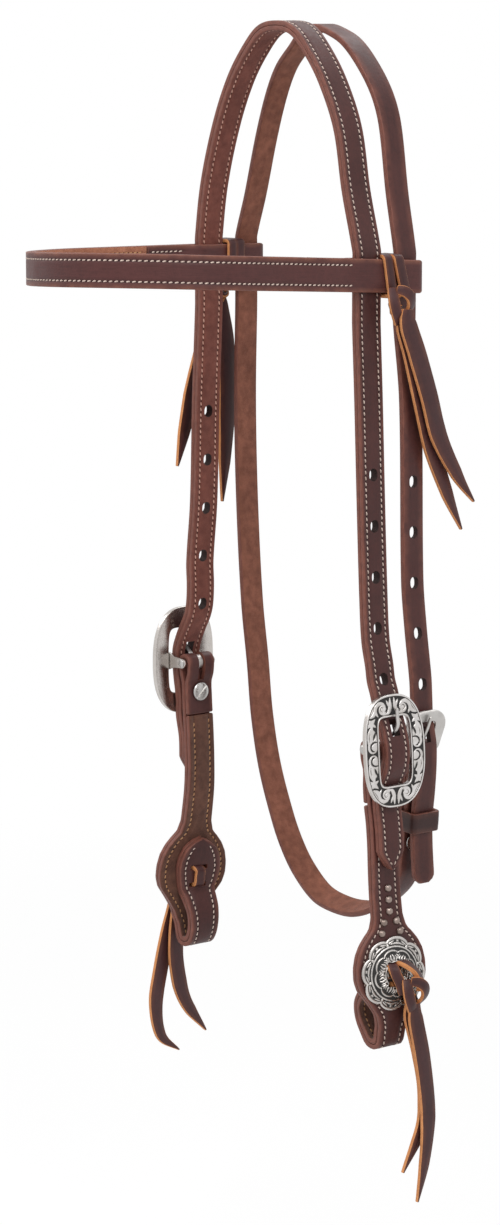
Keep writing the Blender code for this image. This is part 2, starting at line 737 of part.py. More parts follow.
def cheek_run(side):
    """Middle line of the sewn part of the cheek piece, as points in one plane."""
    inner, seat, front = cheek_points(side)
    points = [Vector((out, cheek_sway(side, up), up)) for out, up in inner + seat + front]
    return smooth(points, FINE_STEP)


def cheek_half(point, index, count):
    """Half width of the cheek piece: a flare in front and a pointed tab behind."""
    height = point.z / CHEEK_LENGTH
    base = CHEEK_WIDTH / 2
    if index >= count:
        return base + read_shares(FLARE_SHARES, height) * (FLARE_WIDTH - CHEEK_WIDTH) / 2
    if height >= TAB_SHARES[2][0]:
        return tab_tip(height)
    return base + read_shares(TAB_SHARES, height) * (TAB_WIDTH - CHEEK_WIDTH) / 2


def tab_tip(height):
    """Half width near the tab's pointed end."""
    top = TAB_SHARES[0][0]
    wide = TAB_SHARES[2][0]
    full = CHEEK_WIDTH / 2 + TAB_SHARES[2][1] * (TAB_WIDTH - CHEEK_WIDTH) / 2
    blend = min(max((top - height) / (top - wide), 0.0), 1.0)
    return full * (0.10 + 0.90 * blend ** 0.72)


def fold_points(side):
    """Inner side of the fold over the bar, from the front down the back: (out, up) points."""
    start = side.middle[0][1] * CHEEK_LENGTH
    radius = BAR_RADIUS + GAP / 2
    points = [(radius * 0.80, start * 0.48)]
    for index in range(7):
        angle = math.pi * index / 6
        points.append((radius * math.cos(angle), radius * math.sin(angle)))
    points.append((-radius * 0.80, start * 0.48))
    for share in (0.0, 0.5, 1.0):
        height = start - (FOLD_TAIL + start) * share
        points.append((cheek_middle(side, height), height))
    return points


def build_cheek(side):
    """Grain layer, lining, screw, spots and concho of one cheek piece."""
    run = cheek_run(side)
    lowest = min(range(len(run)), key=lambda i: (run[i].z, i))
    halves = [cheek_half(point, index, lowest + 1) for index, point in enumerate(run)]
    fold = smooth([run[-1]] + [Vector((a, 0.0, b)) for a, b in fold_points(side)], FINE_STEP)
    path = run + fold[1:]
    widths = halves + [CHEEK_WIDTH / 2] * (len(fold) - 1)
    world = [Vector((BUCKLE_SPREAD + p.x, p.y, p.z - side.drop)) for p in path]
    levels = (GAP / 2, CHEEK_HALF)
    across = turned_across(side, run, len(path))
    outer = lay_strap(f"{side.name}_cheek", world, across, widths, levels, GRAIN, side.bar,
                      side.sign)
    ends = [i for i, point in enumerate(run) if i > lowest and point.z > -LINING_START]
    stop = ends[0] if ends else len(run)
    inner = [Vector((BUCKLE_SPREAD + p.x, p.y, p.z - side.drop)) for p in run[:stop]]
    lining = lay_strap(f"{side.name}_cheek_lining", inner, across[:stop], halves[:stop],
                       (-CHEEK_HALF, -GAP / 2), SUEDE, side.bar, side.sign)
    slots = tie_slots(side)
    middle, out, _, _ = cheek_frame(side, -SCREW_DROP, 0.0)
    hole = turned("screw_hole", [(0, -OVERRUN * 2), (POST_RADIUS + GAP, -OVERRUN * 2),
                                 (POST_RADIUS + GAP, OVERRUN * 2), (0, OVERRUN * 2)],
                  middle, out)
    slit = tongue_slit(side)
    combine(outer, slots + [hole, slit], "DIFFERENCE")
    combine(lining, slots, "DIFFERENCE")
    discard([hole, slit])
    build_concho(side, slots)
    discard(slots)
    build_screw(side.name + "_cheek", middle, out, CHEEK_HALF, side.bar)
    build_spots(side)


def turned_across(side, run, count):
    """Width direction of the cheek piece at each point, padded with the plain one."""
    across = []
    for point in run:
        angle = cheek_turn(side, point.z)
        across.append(Y_AXIS * math.cos(angle) + X_AXIS * math.sin(angle))
    return across + [Y_AXIS] * (count - len(run))


def tongue_slit(side):
    """Cutter for the slot in the fold that lets the tongue out."""
    wide = FOLD_RADIUS + GAP * 4
    back = BAR_RADIUS * 4.5
    front = BAR_RADIUS + TONGUE_WALL + GAP * 3
    outline = [(-wide, -back), (-GAP, -back), (-GAP, -front), (wide, -front),
               (wide, wide), (-wide, wide)]
    half = TONGUE_WIDTH / 2 + GAP
    return flat_plate("tongue_slit", outline, [], side.place, (-half, half))


def cheek_frame(side, height, across):
    """Point on the middle of the cheek piece and its out, across and along directions."""
    step = SPOT_PITCH
    slope = (cheek_middle(side, height + step) - cheek_middle(side, height - step)) / (2 * step)
    along = side.vector(slope, 0, 1).normalized()
    flat = side.vector(1, 0, -slope).normalized()
    angle = cheek_turn(side, height)
    out = flat * math.cos(angle) - Y_AXIS * math.sin(angle)
    wide = Y_AXIS * math.cos(angle) + flat * math.sin(angle)
    middle = side.point(cheek_middle(side, height), cheek_sway(side, height), height)
    middle += wide * across
    return middle, out, wide, along


def tie_slots(side):
    """Two cutters for the slots that the concho thong runs through."""
    middle, out, wide, along = cheek_frame(side, -CONCHO_DROP, 0.0)
    tools = []
    for step in (-1, 1):
        centre = middle + along * (step * TIE_PITCH / 2)
        tools.append(box("tie_slot", centre, (out, wide, along),
                         (TAB_DROP * 3, THONG_WIDTH / 2 + GAP, THONG_THICK / 2 + GAP)))
    return tools


def build_concho(side, slots):
    """Scalloped concho with two slots, seated on the cheek piece."""
    middle, out, wide, along = cheek_frame(side, -CONCHO_DROP, 0.0)
    seat = middle + out * (CHEEK_HALF + GAP)
    steps = CONCHO_PETALS * 4
    rings = ((1.0, 0.0), (1.0, CONCHO_EDGE), (0.62, CONCHO_RISE * 0.52),
             (0.36, CONCHO_RISE * 0.92))
    points = [seat]
    for share, level in rings:
        for index in range(steps):
            angle = math.tau * index / steps
            lobe = abs(math.sin(angle * CONCHO_PETALS / 2)) ** 0.6
            radius = CONCHO_RADIUS * share
            if share == 1.0:
                radius *= 0.90 + 0.10 * lobe
            ring = wide * math.cos(angle) + along * math.sin(angle)
            points.append(seat + ring * radius + out * level)
    points.append(seat + out * CONCHO_RISE)
    last = len(points) - 1
    faces = []
    for index in range(steps):
        beside = (index + 1) % steps
        faces.append((0, 1 + beside, 1 + index))
        faces.append((last, last - steps + index, last - steps + beside))
        for row in range(len(rings) - 1):
            start = 1 + row * steps
            faces.append((start + index, start + beside, start + steps + beside,
                          start + steps + index))
    concho = solid(f"{side.name}_concho", points, faces, SILVER, side.bar)
    combine(concho, slots, "DIFFERENCE")


def build_spots(side):
    """Seven domed spots in a Y above the concho."""
    places = [(0.0, step * SPOT_PITCH) for step in range(3)]
    places += [(sign * SPOT_SPREAD, 2.9 * SPOT_PITCH) for sign in (-1, 1)]
    places += [(sign * SPOT_FLARE, 3.8 * SPOT_PITCH) for sign in (-1, 1)]
    profile = [(0, 0), (SPOT_RADIUS, 0), (SPOT_RADIUS * 0.90, SPOT_RISE * 0.5),
               (SPOT_RADIUS * 0.55, SPOT_RISE * 0.88), (0, SPOT_RISE)]
    for index, (across, down) in enumerate(places):
        middle, out, _, _ = cheek_frame(side, -SPOT_DROP - down, across)
        turned(f"{side.name}_spot_{index + 1}", profile, middle + out * (CHEEK_HALF + GAP),
               out, NICKEL, side.bar, steps=SPOT_STEPS)


def build_screw(label, middle, out, half, origin):
    """Chicago screw: a headed post from outside and a slotted screw from inside."""
    shoulder = half + GAP
    post = [(0, shoulder + POST_HEAD), (SCREW_HEAD_RADIUS, shoulder + POST_HEAD),
            (SCREW_HEAD_RADIUS, shoulder), (POST_RADIUS, shoulder), (POST_RADIUS, -half),
            (SHANK_RADIUS + GAP, -half), (SHANK_RADIUS + GAP, half), (0, half)]
    turned(f"{label}_post", post, middle, out, STEEL, origin)
    screw = [(0, half - GAP), (SHANK_RADIUS, half - GAP), (SHANK_RADIUS, -shoulder),
             (SCREW_HEAD_RADIUS, -shoulder), (SCREW_HEAD_RADIUS, -shoulder - POST_HEAD),
             (SCREW_HEAD_RADIUS * 0.66, -shoulder - SCREW_HEAD_RISE * 0.8),
             (0, -shoulder - SCREW_HEAD_RISE)]
    head = turned(f"{label}_screw", screw, middle, out, STEEL, origin)
    side = out.cross(Y_AXIS).normalized()
    cut = box("screw_slot", middle - out * (shoulder + SCREW_HEAD_RISE),
              (out, (Y_AXIS + side).normalized(), (Y_AXIS - side).normalized()),
              (SCREW_HEAD_RISE * 0.55, SCREW_SLOT / 2, SCREW_HEAD_RADIUS * 1.2))
    combine(head, [cut], "DIFFERENCE")
    discard([cut])


def build_buckle(side):
    """Bowed frame with two lugs, bar and tongue of one cheek buckle."""
    steps = 32
    angles = [math.tau * index / steps for index in range(steps)]
    outer = oval(FRAME_WIDTH / 2, FRAME_HEIGHT / 2, 2.6, angles)
    inner = oval(WINDOW_WIDTH / 2, WINDOW_HEIGHT / 2, 7.0, angles)
    reach = FRAME_HEIGHT / 2

    def bowed(u, v, w):
        return side.point(FRAME_STAND + w - FRAME_BOW * (v / reach) ** 2, u, v)

    frame = ring_plate(f"{side.name}_buckle_frame", outer, inner, bowed,
                       (-FRAME_THICK / 2, FRAME_THICK / 2), SILVER)
    lug_start = WINDOW_WIDTH / 2 - GAP * 2
    lugs = []
    hole = [(math.cos(a) * (BAR_RADIUS + GAP), math.sin(a) * (BAR_RADIUS + GAP))
            for a in [math.tau * i / ROUND_STEPS for i in range(ROUND_STEPS)]]
    foot = [(math.cos(a) * LUG_REACH, math.sin(a) * LUG_REACH)
            for a in [math.pi * (0.5 + i / 12) for i in range(13)]]
    outline = foot + [(FRAME_STAND, -LUG_REACH), (FRAME_STAND, LUG_REACH)]
    for sign in (-1, 1):
        levels = sorted((sign * lug_start, sign * (lug_start + LUG_THICK)))
        lugs.append(flat_plate("lug", outline, [hole], side.place, levels))
    combine(frame, lugs, "UNION")
    discard(lugs)
    end = lug_start + LUG_THICK + GAP
    bar = [(0, -end - BAR_HEAD), (BAR_RADIUS, -end - BAR_HEAD),
           (BAR_RADIUS * 1.5, -end - BAR_HEAD * 0.6), (BAR_RADIUS * 1.5, -end),
           (BAR_RADIUS, -end), (BAR_RADIUS, end), (BAR_RADIUS * 1.5, end),
           (BAR_RADIUS * 1.5, end + BAR_HEAD * 0.6), (BAR_RADIUS, end + BAR_HEAD),
           (0, end + BAR_HEAD)]
    turned(f"{side.name}_buckle_bar", bar, side.bar, Y_AXIS, STEEL)
    build_tongue(f"{side.name}_buckle_tongue", side.place, tongue_line(), BAR_RADIUS,
                 side.bar)


def build_tongue(name, place, line, bar_radius, origin):
    """Tongue: an eye round the bar and an arm along a line, drawn flat and given width."""
    eye = bar_radius + GAP
    rim = eye + TONGUE_WALL
    half = TONGUE_THICK / 2
    arm = smooth([Vector((a, b, 0.0)) for a, b in line], FINE_STEP)
    ways = directions(arm)
    start = math.atan2(line[0][1], line[0][0])
    spread = math.asin(half / rim)
    left, right = [], []
    for index, (point, way) in enumerate(zip(arm, ways)):
        side = Vector((-way.y, way.x, 0.0))
        width = half * (1.0 - 0.45 * (index / (len(arm) - 1)) ** 3)
        left.append((point.x + side.x * width, point.y + side.y * width))
        right.append((point.x - side.x * width, point.y - side.y * width))
    ring = []
    steps = ROUND_STEPS
    for index in range(steps + 1):
        angle = start + spread + (math.tau - 2 * spread) * index / steps
        ring.append((rim * math.cos(angle), rim * math.sin(angle)))
    hole = [(eye * math.cos(math.tau * i / steps), eye * math.sin(math.tau * i / steps))
            for i in range(steps)]
    outline = ring + right + list(reversed(left))
    wide = TONGUE_WIDTH / 2
    return flat_plate(name, outline, [hole], place, (-wide, wide), SILVER, origin)


def throat_y(x):
    """Set-back of the throatlatch, which drifts back towards its buckle."""
    blend = min(max((x + THROAT_SPREAD * 0.6) / (THROAT_SPREAD * 1.6), 0.0), 1.0)
    return THROAT_SETBACK + THROAT_DRIFT * blend


def throat_run():
    """Middle of the throatlatch from its tip over the poll, round the throat and up."""
    points = []
    for out, up in THROAT_BILLET_SHARES:
        y = THROAT_SETBACK + THROAT_DRIFT
        points.append(Vector((THROAT_SPREAD + out * THROAT_FRAME_REACH, y,
                              up * THROAT_FRAME_REACH - THROAT_DROP)))
    count = len(THROAT_NEAR_SHARES)
    for index, (spread, drop) in enumerate(THROAT_NEAR_SHARES):
        y = THROAT_SETBACK + THROAT_DRIFT * (1 - (index + 0.6) / (count + 0.6))
        points.append(Vector((spread * THROAT_SPREAD, y, drop * THROAT_DROP)))
    near_z = brow_height(LEG_SPREAD, THROAT_SETBACK)
    far_z = brow_height(-LEG_SPREAD, THROAT_SETBACK)
    for share in BRACE_SHARES:
        points.append(Vector((LEG_SPREAD, THROAT_SETBACK, near_z + share * BROW_WIDTH)))
    for spread, drop in THROAT_ARCH_SHARES:
        points.append(Vector((spread * THROAT_SPREAD, THROAT_SETBACK, drop * THROAT_DROP)))
    for share in reversed(BRACE_SHARES):
        points.append(Vector((-LEG_SPREAD, THROAT_SETBACK, far_z + share * BROW_WIDTH)))
    for spread, drop in THROAT_FAR_SHARES:
        x = spread * THROAT_SPREAD
        points.append(Vector((x, throat_y(x), drop * THROAT_LOOP)))
    return points + chape_points()


def chape_points():
    """The strap from the throat loop up over the bar and down to its sewn end."""
    y = THROAT_SETBACK + THROAT_DRIFT
    rest = THROAT_HALF - THROAT_LAYER / 2
    up = [(out * CHAPE_TAIL + rest, height * CHAPE_TAIL) for out, height in CHAPE_SHARES]
    fold = [(THROAT_FOLD * 0.92, -THROAT_FOLD * 1.25)]
    for index in range(7):
        angle = math.pi * index / 6
        fold.append((THROAT_FOLD * math.cos(angle), THROAT_FOLD * math.sin(angle)))
    fold.append((-THROAT_FOLD * 0.94, -THROAT_FOLD * 1.25))
    down = [(out * CHAPE_TAIL - rest, height * CHAPE_TAIL)
            for out, height in reversed(CHAPE_SHARES[2:])]
    down.append((CHAPE_SHARES[1][0] * CHAPE_TAIL - rest, -CHAPE_TAIL))
    return [Vector((THROAT_SPREAD + out, y, height - THROAT_DROP))
            for out, height in up + fold + down]


def throat_step(point):
    """Spacing of the throatlatch's stations: close at its buckle, closest in the fold."""
    from_bar = (point - throat_place(0.0, 0.0, 0.0)).length
    if from_bar < THROAT_FOLD * 1.6:
        return GAP
    return FINE_STEP if from_bar < THROAT_FRAME_REACH * 2.4 else LONG_STEP


def build_throatlatch():
    """Throatlatch, its keeper, buckle, tongue and screw."""
    run = thinned(smooth(throat_run(), FINE_STEP), throat_step)
    across = []
    for index, point in enumerate(run):
        low = (-point.z / THROAT_LOOP - 0.60) / 0.38
        on_loop = point.x < THROAT_SPREAD * 0.90 and index > len(run) // 3
        share = min(max(low, 0.0), 1.0) if on_loop else 0.0
        fade = min(max((THROAT_SPREAD * 0.90 - point.x) / (THROAT_SPREAD * 0.5), 0.0), 1.0)
        angle = THROAT_TWIST * share * fade
        across.append(Vector((0.0, math.cos(angle), math.sin(angle))))
    halves = tip_halves(run, THROAT_WIDTH, ("start",))
    levels = (-THROAT_LAYER / 2, THROAT_LAYER / 2)
    strap = lay_strap("throatlatch", run, across, halves, levels, GRAIN)
    top = max(range(len(run)), key=lambda i: run[i].z)
    hole_start = throat_line_middle()
    tools = hole_cutters("throat_hole", run, slice(0, top), hole_start, Y_AXIS, OVERRUN)
    tools.append(throat_tongue_hole())
    middle, out = throat_screw_place()
    tools.append(turned("screw_hole", [(0, -OVERRUN * 2), (POST_RADIUS + GAP, -OVERRUN * 2),
                                       (POST_RADIUS + GAP, OVERRUN), (0, OVERRUN)],
                        middle, out))
    tools.append(throat_slit())
    combine(strap, tools, "DIFFERENCE")
    discard(tools)
    build_screw("throat", middle, out, THROAT_HALF, (0, 0, 0))
    build_throat_buckle()
    build_keeper()


def throat_place(u, v, w):
    """World point from outwards, upwards and back distances from the throat bar."""
    return Vector((THROAT_SPREAD + u, THROAT_SETBACK + THROAT_DRIFT + w, v - THROAT_DROP))


def chape_middle(height):
    """How far the middle of the folded chape stands out at a height below the bar."""
    rows = [(down * CHAPE_TAIL, out * CHAPE_TAIL) for out, down in CHAPE_SHARES]
    return read_shares(rows, height)


def throat_screw_place():
    """Middle and outward direction of the throat screw."""
    reach = THROAT_SCREW_DROP
    step = SCREW_HEAD_RADIUS
    slope = (chape_middle(-reach + step) - chape_middle(-reach - step)) / (2 * step)
    middle = throat_place(chape_middle(-reach), -reach, 0.0)
    return middle, Vector((1.0, 0.0, -slope)).normalized()


def throat_line():
    """The throat tongue's middle, from the bar to its tip, as (out, up) points."""
    lean = Vector((math.sin(THROAT_TILT), math.cos(THROAT_TILT)))
    face = Vector((math.cos(THROAT_TILT), -math.sin(THROAT_TILT)))
    rest = face * (THROAT_FRAME_THICK / 2 + GAP + TONGUE_THICK / 2)
    lip = lean * (THROAT_FRAME_REACH - THROAT_BORDER) + rest
    tip = lean * (THROAT_FRAME_REACH - THROAT_BORDER * 0.25) + rest
    return [(lip.x * 0.38, lip.y * 0.27), (lip.x * 0.68, lip.y * 0.60), (lip.x, lip.y),
            (tip.x, tip.y)]


def throat_line_middle():
    """Height of the throat strap's engaged hole."""
    line = throat_line()
    return line[1][1] - THROAT_DROP


def throat_tongue_hole():
    """Cutter for the engaged throat hole, along the tongue."""
    line = throat_line()
    start = throat_place(line[0][0], line[0][1], 0.0)
    stop = throat_place(line[2][0], line[2][1], 0.0)
    travel = (stop - start).normalized()
    down = Y_AXIS.cross(travel).normalized()
    if down.z > 0:
        down = -down
    centre = (start + stop) / 2 + down * TONGUE_THICK * 0.45
    return box("tongue_hole", centre, (travel, Y_AXIS, down),
               ((stop - start).length / 2, HOLE_WIDTH / 2, TONGUE_THICK * 1.2))


def throat_slit():
    """Cutter for the slot in the throat fold."""
    wide = THROAT_FOLD + THROAT_LAYER
    front = THROAT_FOLD + THROAT_LAYER / 2 + GAP * 0.3
    low = math.hypot(THROAT_BAR, THROAT_FRAME_THICK) / 2 + TONGUE_WALL + GAP * 3
    outline = [(-wide, -wide * 1.5), (-GAP, -wide * 1.5), (-GAP, -low), (front, -low),
               (front, wide), (-wide, wide)]
    half = TONGUE_WIDTH / 2 + GAP
    return flat_plate("tongue_slit", outline, [], throat_place, (-half, half))


def build_throat_buckle():
    """Rounded heel-bar frame, leaning out over the strap, and its tongue."""
    half = THROAT_FRAME_WIDTH / 2
    round_top = half * 0.80
    outer = frame_outline(half, -THROAT_BAR / 2, THROAT_FRAME_REACH, round_top, THROAT_BAR)
    window = half - THROAT_SIDE
    inner = frame_outline(window, THROAT_BAR / 2, THROAT_FRAME_REACH - THROAT_BORDER,
                          window * 0.45, THROAT_BAR / 4)
    sine, cosine = math.sin(THROAT_TILT), math.cos(THROAT_TILT)

    def leaning(u, v, w):
        return throat_place(v * sine + w * cosine, v * cosine - w * sine, u)

    depth = (-THROAT_FRAME_THICK / 2, THROAT_FRAME_THICK / 2)
    ring_plate("throat_buckle_frame", outer, inner, leaning, depth, SILVER)
    build_tongue("throat_buckle_tongue", throat_place, throat_line(),
                 math.hypot(THROAT_BAR, THROAT_FRAME_THICK) / 2, throat_place(0, 0, 0))


def frame_outline(half, low, high, top_radius, low_radius, steps=6):
    """Outline with round upper corners and tighter lower corners."""
    corners = ((half - top_radius, high - top_radius, 0, top_radius),
               (-half + top_radius, high - top_radius, 1, top_radius),
               (-half + low_radius, low + low_radius, 2, low_radius),
               (half - low_radius, low + low_radius, 3, low_radius))
    points = []
    for u, v, quarter, radius in corners:
        for index in range(steps + 1):
            angle = (quarter + index / steps) * math.pi / 2
            points.append((u + radius * math.cos(angle), v + radius * math.sin(angle)))
    return points


def keeper_frame():
    """Middle of the keeper and its outward and upward directions."""
    billet = [(up * THROAT_FRAME_REACH, out * THROAT_FRAME_REACH)
              for out, up in THROAT_BILLET_SHARES]
    outer = read_shares(billet, -KEEPER_DROP) + THROAT_LAYER / 2
    inner = chape_middle(-KEEPER_DROP) - THROAT_HALF
    middle = throat_place((outer + inner) / 2, -KEEPER_DROP, 0.0)
    out = Vector((math.cos(KEEPER_LEAN), 0.0, -math.sin(KEEPER_LEAN)))
    along = Vector((math.sin(KEEPER_LEAN), 0.0, math.cos(KEEPER_LEAN)))
    return middle, out, along, (outer - inner) / 2


def build_keeper():
    """Loose leather loop round the billet and the chape."""
    middle, out, along, half = keeper_frame()
    depth = half + KEEPER_PLAY
    wide = THROAT_WIDTH / 2 + KEEPER_PLAY
    inner = frame_outline(wide, -depth, depth, GAP, GAP, 3)
    outer = frame_outline(wide + KEEPER_LAYER, -depth - KEEPER_LAYER, depth + KEEPER_LAYER,
                          KEEPER_LAYER, KEEPER_LAYER, 3)

    def place(u, v, w):
        return middle + Y_AXIS * u + out * v + along * w

    ring_plate("throat_keeper", outer, inner, place, (-KEEPER_HEIGHT / 2, KEEPER_HEIGHT / 2),
               GRAIN, middle)


def brow_height(x, y):
    """Height of the browband's middle: it leans a little to the near side and rear."""
    warp = BROW_WARP * y * x / LEG_SPREAD
    return -BROW_DROP - BROW_SIDE_TILT * x - BROW_REAR_TILT * y - warp


def brow_arc(radius):
    """Front of the browband, from the near leg round to the far leg."""
    points = []
    steps = 16
    for index in range(steps + 1):
        angle = math.pi * index / steps
        points.append((radius * math.cos(angle), -BROW_REACH - radius * math.sin(angle)))
    return points


def brow_leg(spread):
    """One folded end of the browband's grain layer, from its tab end to the front."""
    inner = LEG_SPREAD - LOOP_SPACE - BROW_LAYER / 2
    outer = LEG_SPREAD + LOOP_SPACE + BROW_LAYER / 2
    flat = spread - BROW_LAYER - GAP
    radius = (outer - inner) / 2
    turn = THROAT_SETBACK + THROAT_WIDTH / 2 - radius * 0.45
    start = -CROWN_WIDTH / 2 - GAP
    points = [(flat, -BROW_TAB), (flat, -BROW_PINCH), (flat - (flat - inner) * 0.30,
              start * 0.5 - BROW_PINCH * 0.5), (inner, start), (inner, turn * 0.35),
              (inner, turn)]
    for index in range(1, 6):
        angle = math.pi - math.pi * index / 6
        points.append((LEG_SPREAD + radius * math.cos(angle), turn + radius * math.sin(angle)))
    points += [(outer, turn), (outer, turn * 0.35), (outer, start), (outer, -BROW_PINCH),
               (outer, -BROW_TAB)]
    return points


def build_browband():
    """Folded grain layer and front lining of the browband."""
    spread = LEG_SPREAD + LOOP_SPACE + BROW_LAYER / 2
    near = brow_leg(spread)
    far = [(-x, y) for x, y in reversed(near)]
    points = near + brow_arc(spread) + far
    run = smooth([Vector((x, y, 0.0)) for x, y in points], LONG_STEP)
    run = [Vector((p.x, p.y, brow_height(p.x, p.y))) for p in run]
    half = BROW_WIDTH / 2
    levels = (-BROW_LAYER / 2, BROW_LAYER / 2)
    lay_band("browband", run, half, levels, GRAIN)
    inner = spread - BROW_LAYER - GAP
    end = -BROW_TAB - BROW_SEAM
    lining = [(inner, end), (inner, (end - BROW_REACH) / 2)] + brow_arc(inner)
    lining += [(-inner, (end - BROW_REACH) / 2), (-inner, end)]
    run = smooth([Vector((x, y, 0.0)) for x, y in lining], LONG_STEP * 1.4)
    run = [Vector((p.x, p.y, brow_height(p.x, p.y))) for p in run]
    lay_band("browband_lining", run, half, levels, FLESH)


def lay_band(name, run, half, levels, finish):
    """Sweep an upright band whose faces stay vertical."""
    flat = [Vector((p.x, p.y, 0.0)) for p in run]
    points = []
    for index, travel in enumerate(directions(flat)):
        out = travel.cross(Z_AXIS).normalized()
        for level, reach in ((levels[0], -half), (levels[0], half), (levels[1], half),
                             (levels[1], -half)):
            points.append(run[index] + out * level + Z_AXIS * reach)
    return solid(name, points, sweep_faces(len(run), 4), finish, brow_origin())


def brow_origin():
    """Point on the browband's slide axis."""
    return (0.0, 0.0, -BROW_DROP)


def lump(name, centre, halves):
    """Rounded body of a knot."""
    rows, steps = 5, 12
    points = []
    for row in range(1, rows):
        polar = math.pi * row / rows
        for index in range(steps):
            angle = math.tau * index / steps
            across = math.sin(polar) ** 0.7
            x = math.copysign(abs(math.cos(angle)) ** 0.8, math.cos(angle)) * across
            y = math.copysign(abs(math.sin(angle)) ** 0.8, math.sin(angle)) * across
            points.append(Vector((centre[0] + x * halves[0], centre[1] + y * halves[1],
                                  centre[2] + math.cos(polar) * halves[2])))
    top = len(points)
    points.append(Vector((centre[0], centre[1], centre[2] + halves[2])))
    points.append(Vector((centre[0], centre[1], centre[2] - halves[2])))
    faces = []
    for index in range(steps):
        beside = (index + 1) % steps
        faces.append((top, index, beside))
        last = (rows - 2) * steps
        faces.append((top + 1, last + beside, last + index))
        for row in range(rows - 2):
            base = row * steps
            faces.append((base + index, base + steps + index, base + steps + beside,
                          base + beside))
    return solid(name, points, faces)


def brow_tie_middle():
    """Set-back of the browband ties, midway between crown strap and throatlatch."""
    return (CROWN_WIDTH / 2 + THROAT_SETBACK - THROAT_WIDTH / 2) / 2


def build_brow_tie(side):
    """Thong round the browband with its knot, and the two tails."""
    middle_y = brow_tie_middle()
    low = LEG_SPREAD - LOOP_SPACE - BROW_LAYER - GAP
    high = LEG_SPREAD + LOOP_SPACE + BROW_LAYER + GAP
    tall = BROW_WIDTH / 2 + GAP * 2
    half = (high - low) / 2
    inner = frame_outline(half, -tall, tall, GAP, GAP, 3)
    outer = frame_outline(half + THONG_THICK, -tall - THONG_THICK, tall + THONG_THICK,
                          THONG_THICK, THONG_THICK, 3)
    height = brow_height(side.sign * LEG_SPREAD, middle_y)

    def place(u, v, w):
        return Vector((side.sign * ((high + low) / 2 + u), middle_y + w, height + v))

    wide = THONG_WIDTH / 2
    ring = ring_plate(f"{side.name}_brow_tie", outer, inner, place, (-wide, wide), THONG,
                      brow_origin())
    outside = high + THONG_THICK * 0.2
    centre = (side.sign * (outside + KNOT_DEPTH / 2), middle_y + THONG_THICK,
              height - BROW_KNOT_DROP)
    knot = lump("knot", centre, (KNOT_DEPTH / 2, KNOT_WIDTH / 2, KNOT_HEIGHT / 2))
    combine(ring, [knot], "UNION")
    discard([knot])
    root = height - BROW_KNOT_DROP - KNOT_HEIGHT / 2 - GAP * 2
    routes = {"near": (NEAR_BROW_A_SHARES, NEAR_BROW_B_SHARES),
              "far": (FAR_BROW_A_SHARES, FAR_BROW_B_SHARES)}[side.name]
    layers = ((outside + KNOT_DEPTH - THONG_THICK * 0.2, "front"),
              (outside + KNOT_DEPTH - THONG_THICK * 1.6, "rear"))
    for route, (reach, label) in zip(routes, layers):
        build_tail(f"{side.name}_brow_tail_{label}", route, BROW_TAIL, BROW_TAIL_WIDTH,
                   (side.sign * reach, centre[1], root))


def build_tail(name, route, length, width, root):
    """Flat thong tail that swings at its knot."""
    points = [Vector((0.0, a * length, b * length)) for a, b in route]
    run = [Vector(root) + p for p in smooth(points, LONG_STEP * 0.8)]
    ways = directions(run)
    total = sum((b - a).length for a, b in zip(run, run[1:]))
    place = 0.0
    corners = []
    for index, way in enumerate(ways):
        if index:
            place += (run[index] - run[index - 1]).length
        half = width / 2 * read_shares(TAIL_WIDTH_SHARES, place / total)
        side = X_AXIS.cross(way).normalized()
        for level, reach in ((-1, -half), (-1, half), (1, half), (1, -half)):
            corners.append(run[index] + X_AXIS * (level * THONG_THICK / 2) + side * reach)
    return solid(name, corners, sweep_faces(len(run), 4), THONG, root)


def build_concho_tie(side):
    """Thong through cheek, concho and loop tab, with its knot and two tails."""
    middle, out, across, along = cheek_frame(side, -CONCHO_DROP, 0.0)
    front = CHEEK_HALF + GAP + CONCHO_RISE + GAP
    back = -TAB_DROP - CHEEK_HALF - GAP
    half = TIE_PITCH / 2
    centre_u = (front + back) / 2
    wide = (front - back) / 2
    inner = frame_outline(half - THONG_THICK / 2, -wide, wide, GAP, GAP, 3)
    outer = frame_outline(half + THONG_THICK / 2, -wide - THONG_THICK, wide + THONG_THICK,
                          THONG_THICK, THONG_THICK, 3)

    def place(u, v, w):
        return middle + along * u + out * (centre_u + v) + across * w

    width = THONG_WIDTH / 2
    ring = ring_plate(f"{side.name}_concho_tie", outer, inner, place, (-width, width), THONG,
                      side.bar)
    centre = middle + out * (front + KNOT_DEPTH * 0.52) - Z_AXIS * CONCHO_KNOT_DROP \
        + Y_AXIS * side.knot
    knot = lump("knot", centre, (KNOT_DEPTH / 2, KNOT_WIDTH / 2, KNOT_HEIGHT / 2))
    strand = box("strand", (centre + middle + out * front) / 2 + out * THONG_THICK,
                 (out, Y_AXIS, (middle + out * front - centre).normalized()),
                 (THONG_THICK * 0.8, THONG_WIDTH * 0.42, CONCHO_KNOT_DROP * 0.42))
    combine(ring, [strand, knot], "UNION")
    discard([strand, knot])
    root = centre - Z_AXIS * (KNOT_HEIGHT / 2 + GAP)
    routes = {"near": (NEAR_CONCHO_A_SHARES, NEAR_CONCHO_B_SHARES),
              "far": (FAR_CONCHO_A_SHARES, FAR_CONCHO_B_SHARES)}[side.name]
    for route, (shift, label) in zip(routes, ((0.9, "front"), (-0.9, "rear"))):
        build_tail(f"{side.name}_concho_tail_{label}", route, CONCHO_TAIL,
                   CONCHO_TAIL_WIDTH, root + X_AXIS * (side.sign * shift * THONG_THICK))


def main():
    """Build the whole headstall."""
    clear_scene()
    build_crown()
    build_browband()
    build_throatlatch()
    for side in (NEAR, FAR):
        build_buckle(side)
        build_cheek(side)
        build_brow_tie(side)
        build_concho_tie(side)


main()
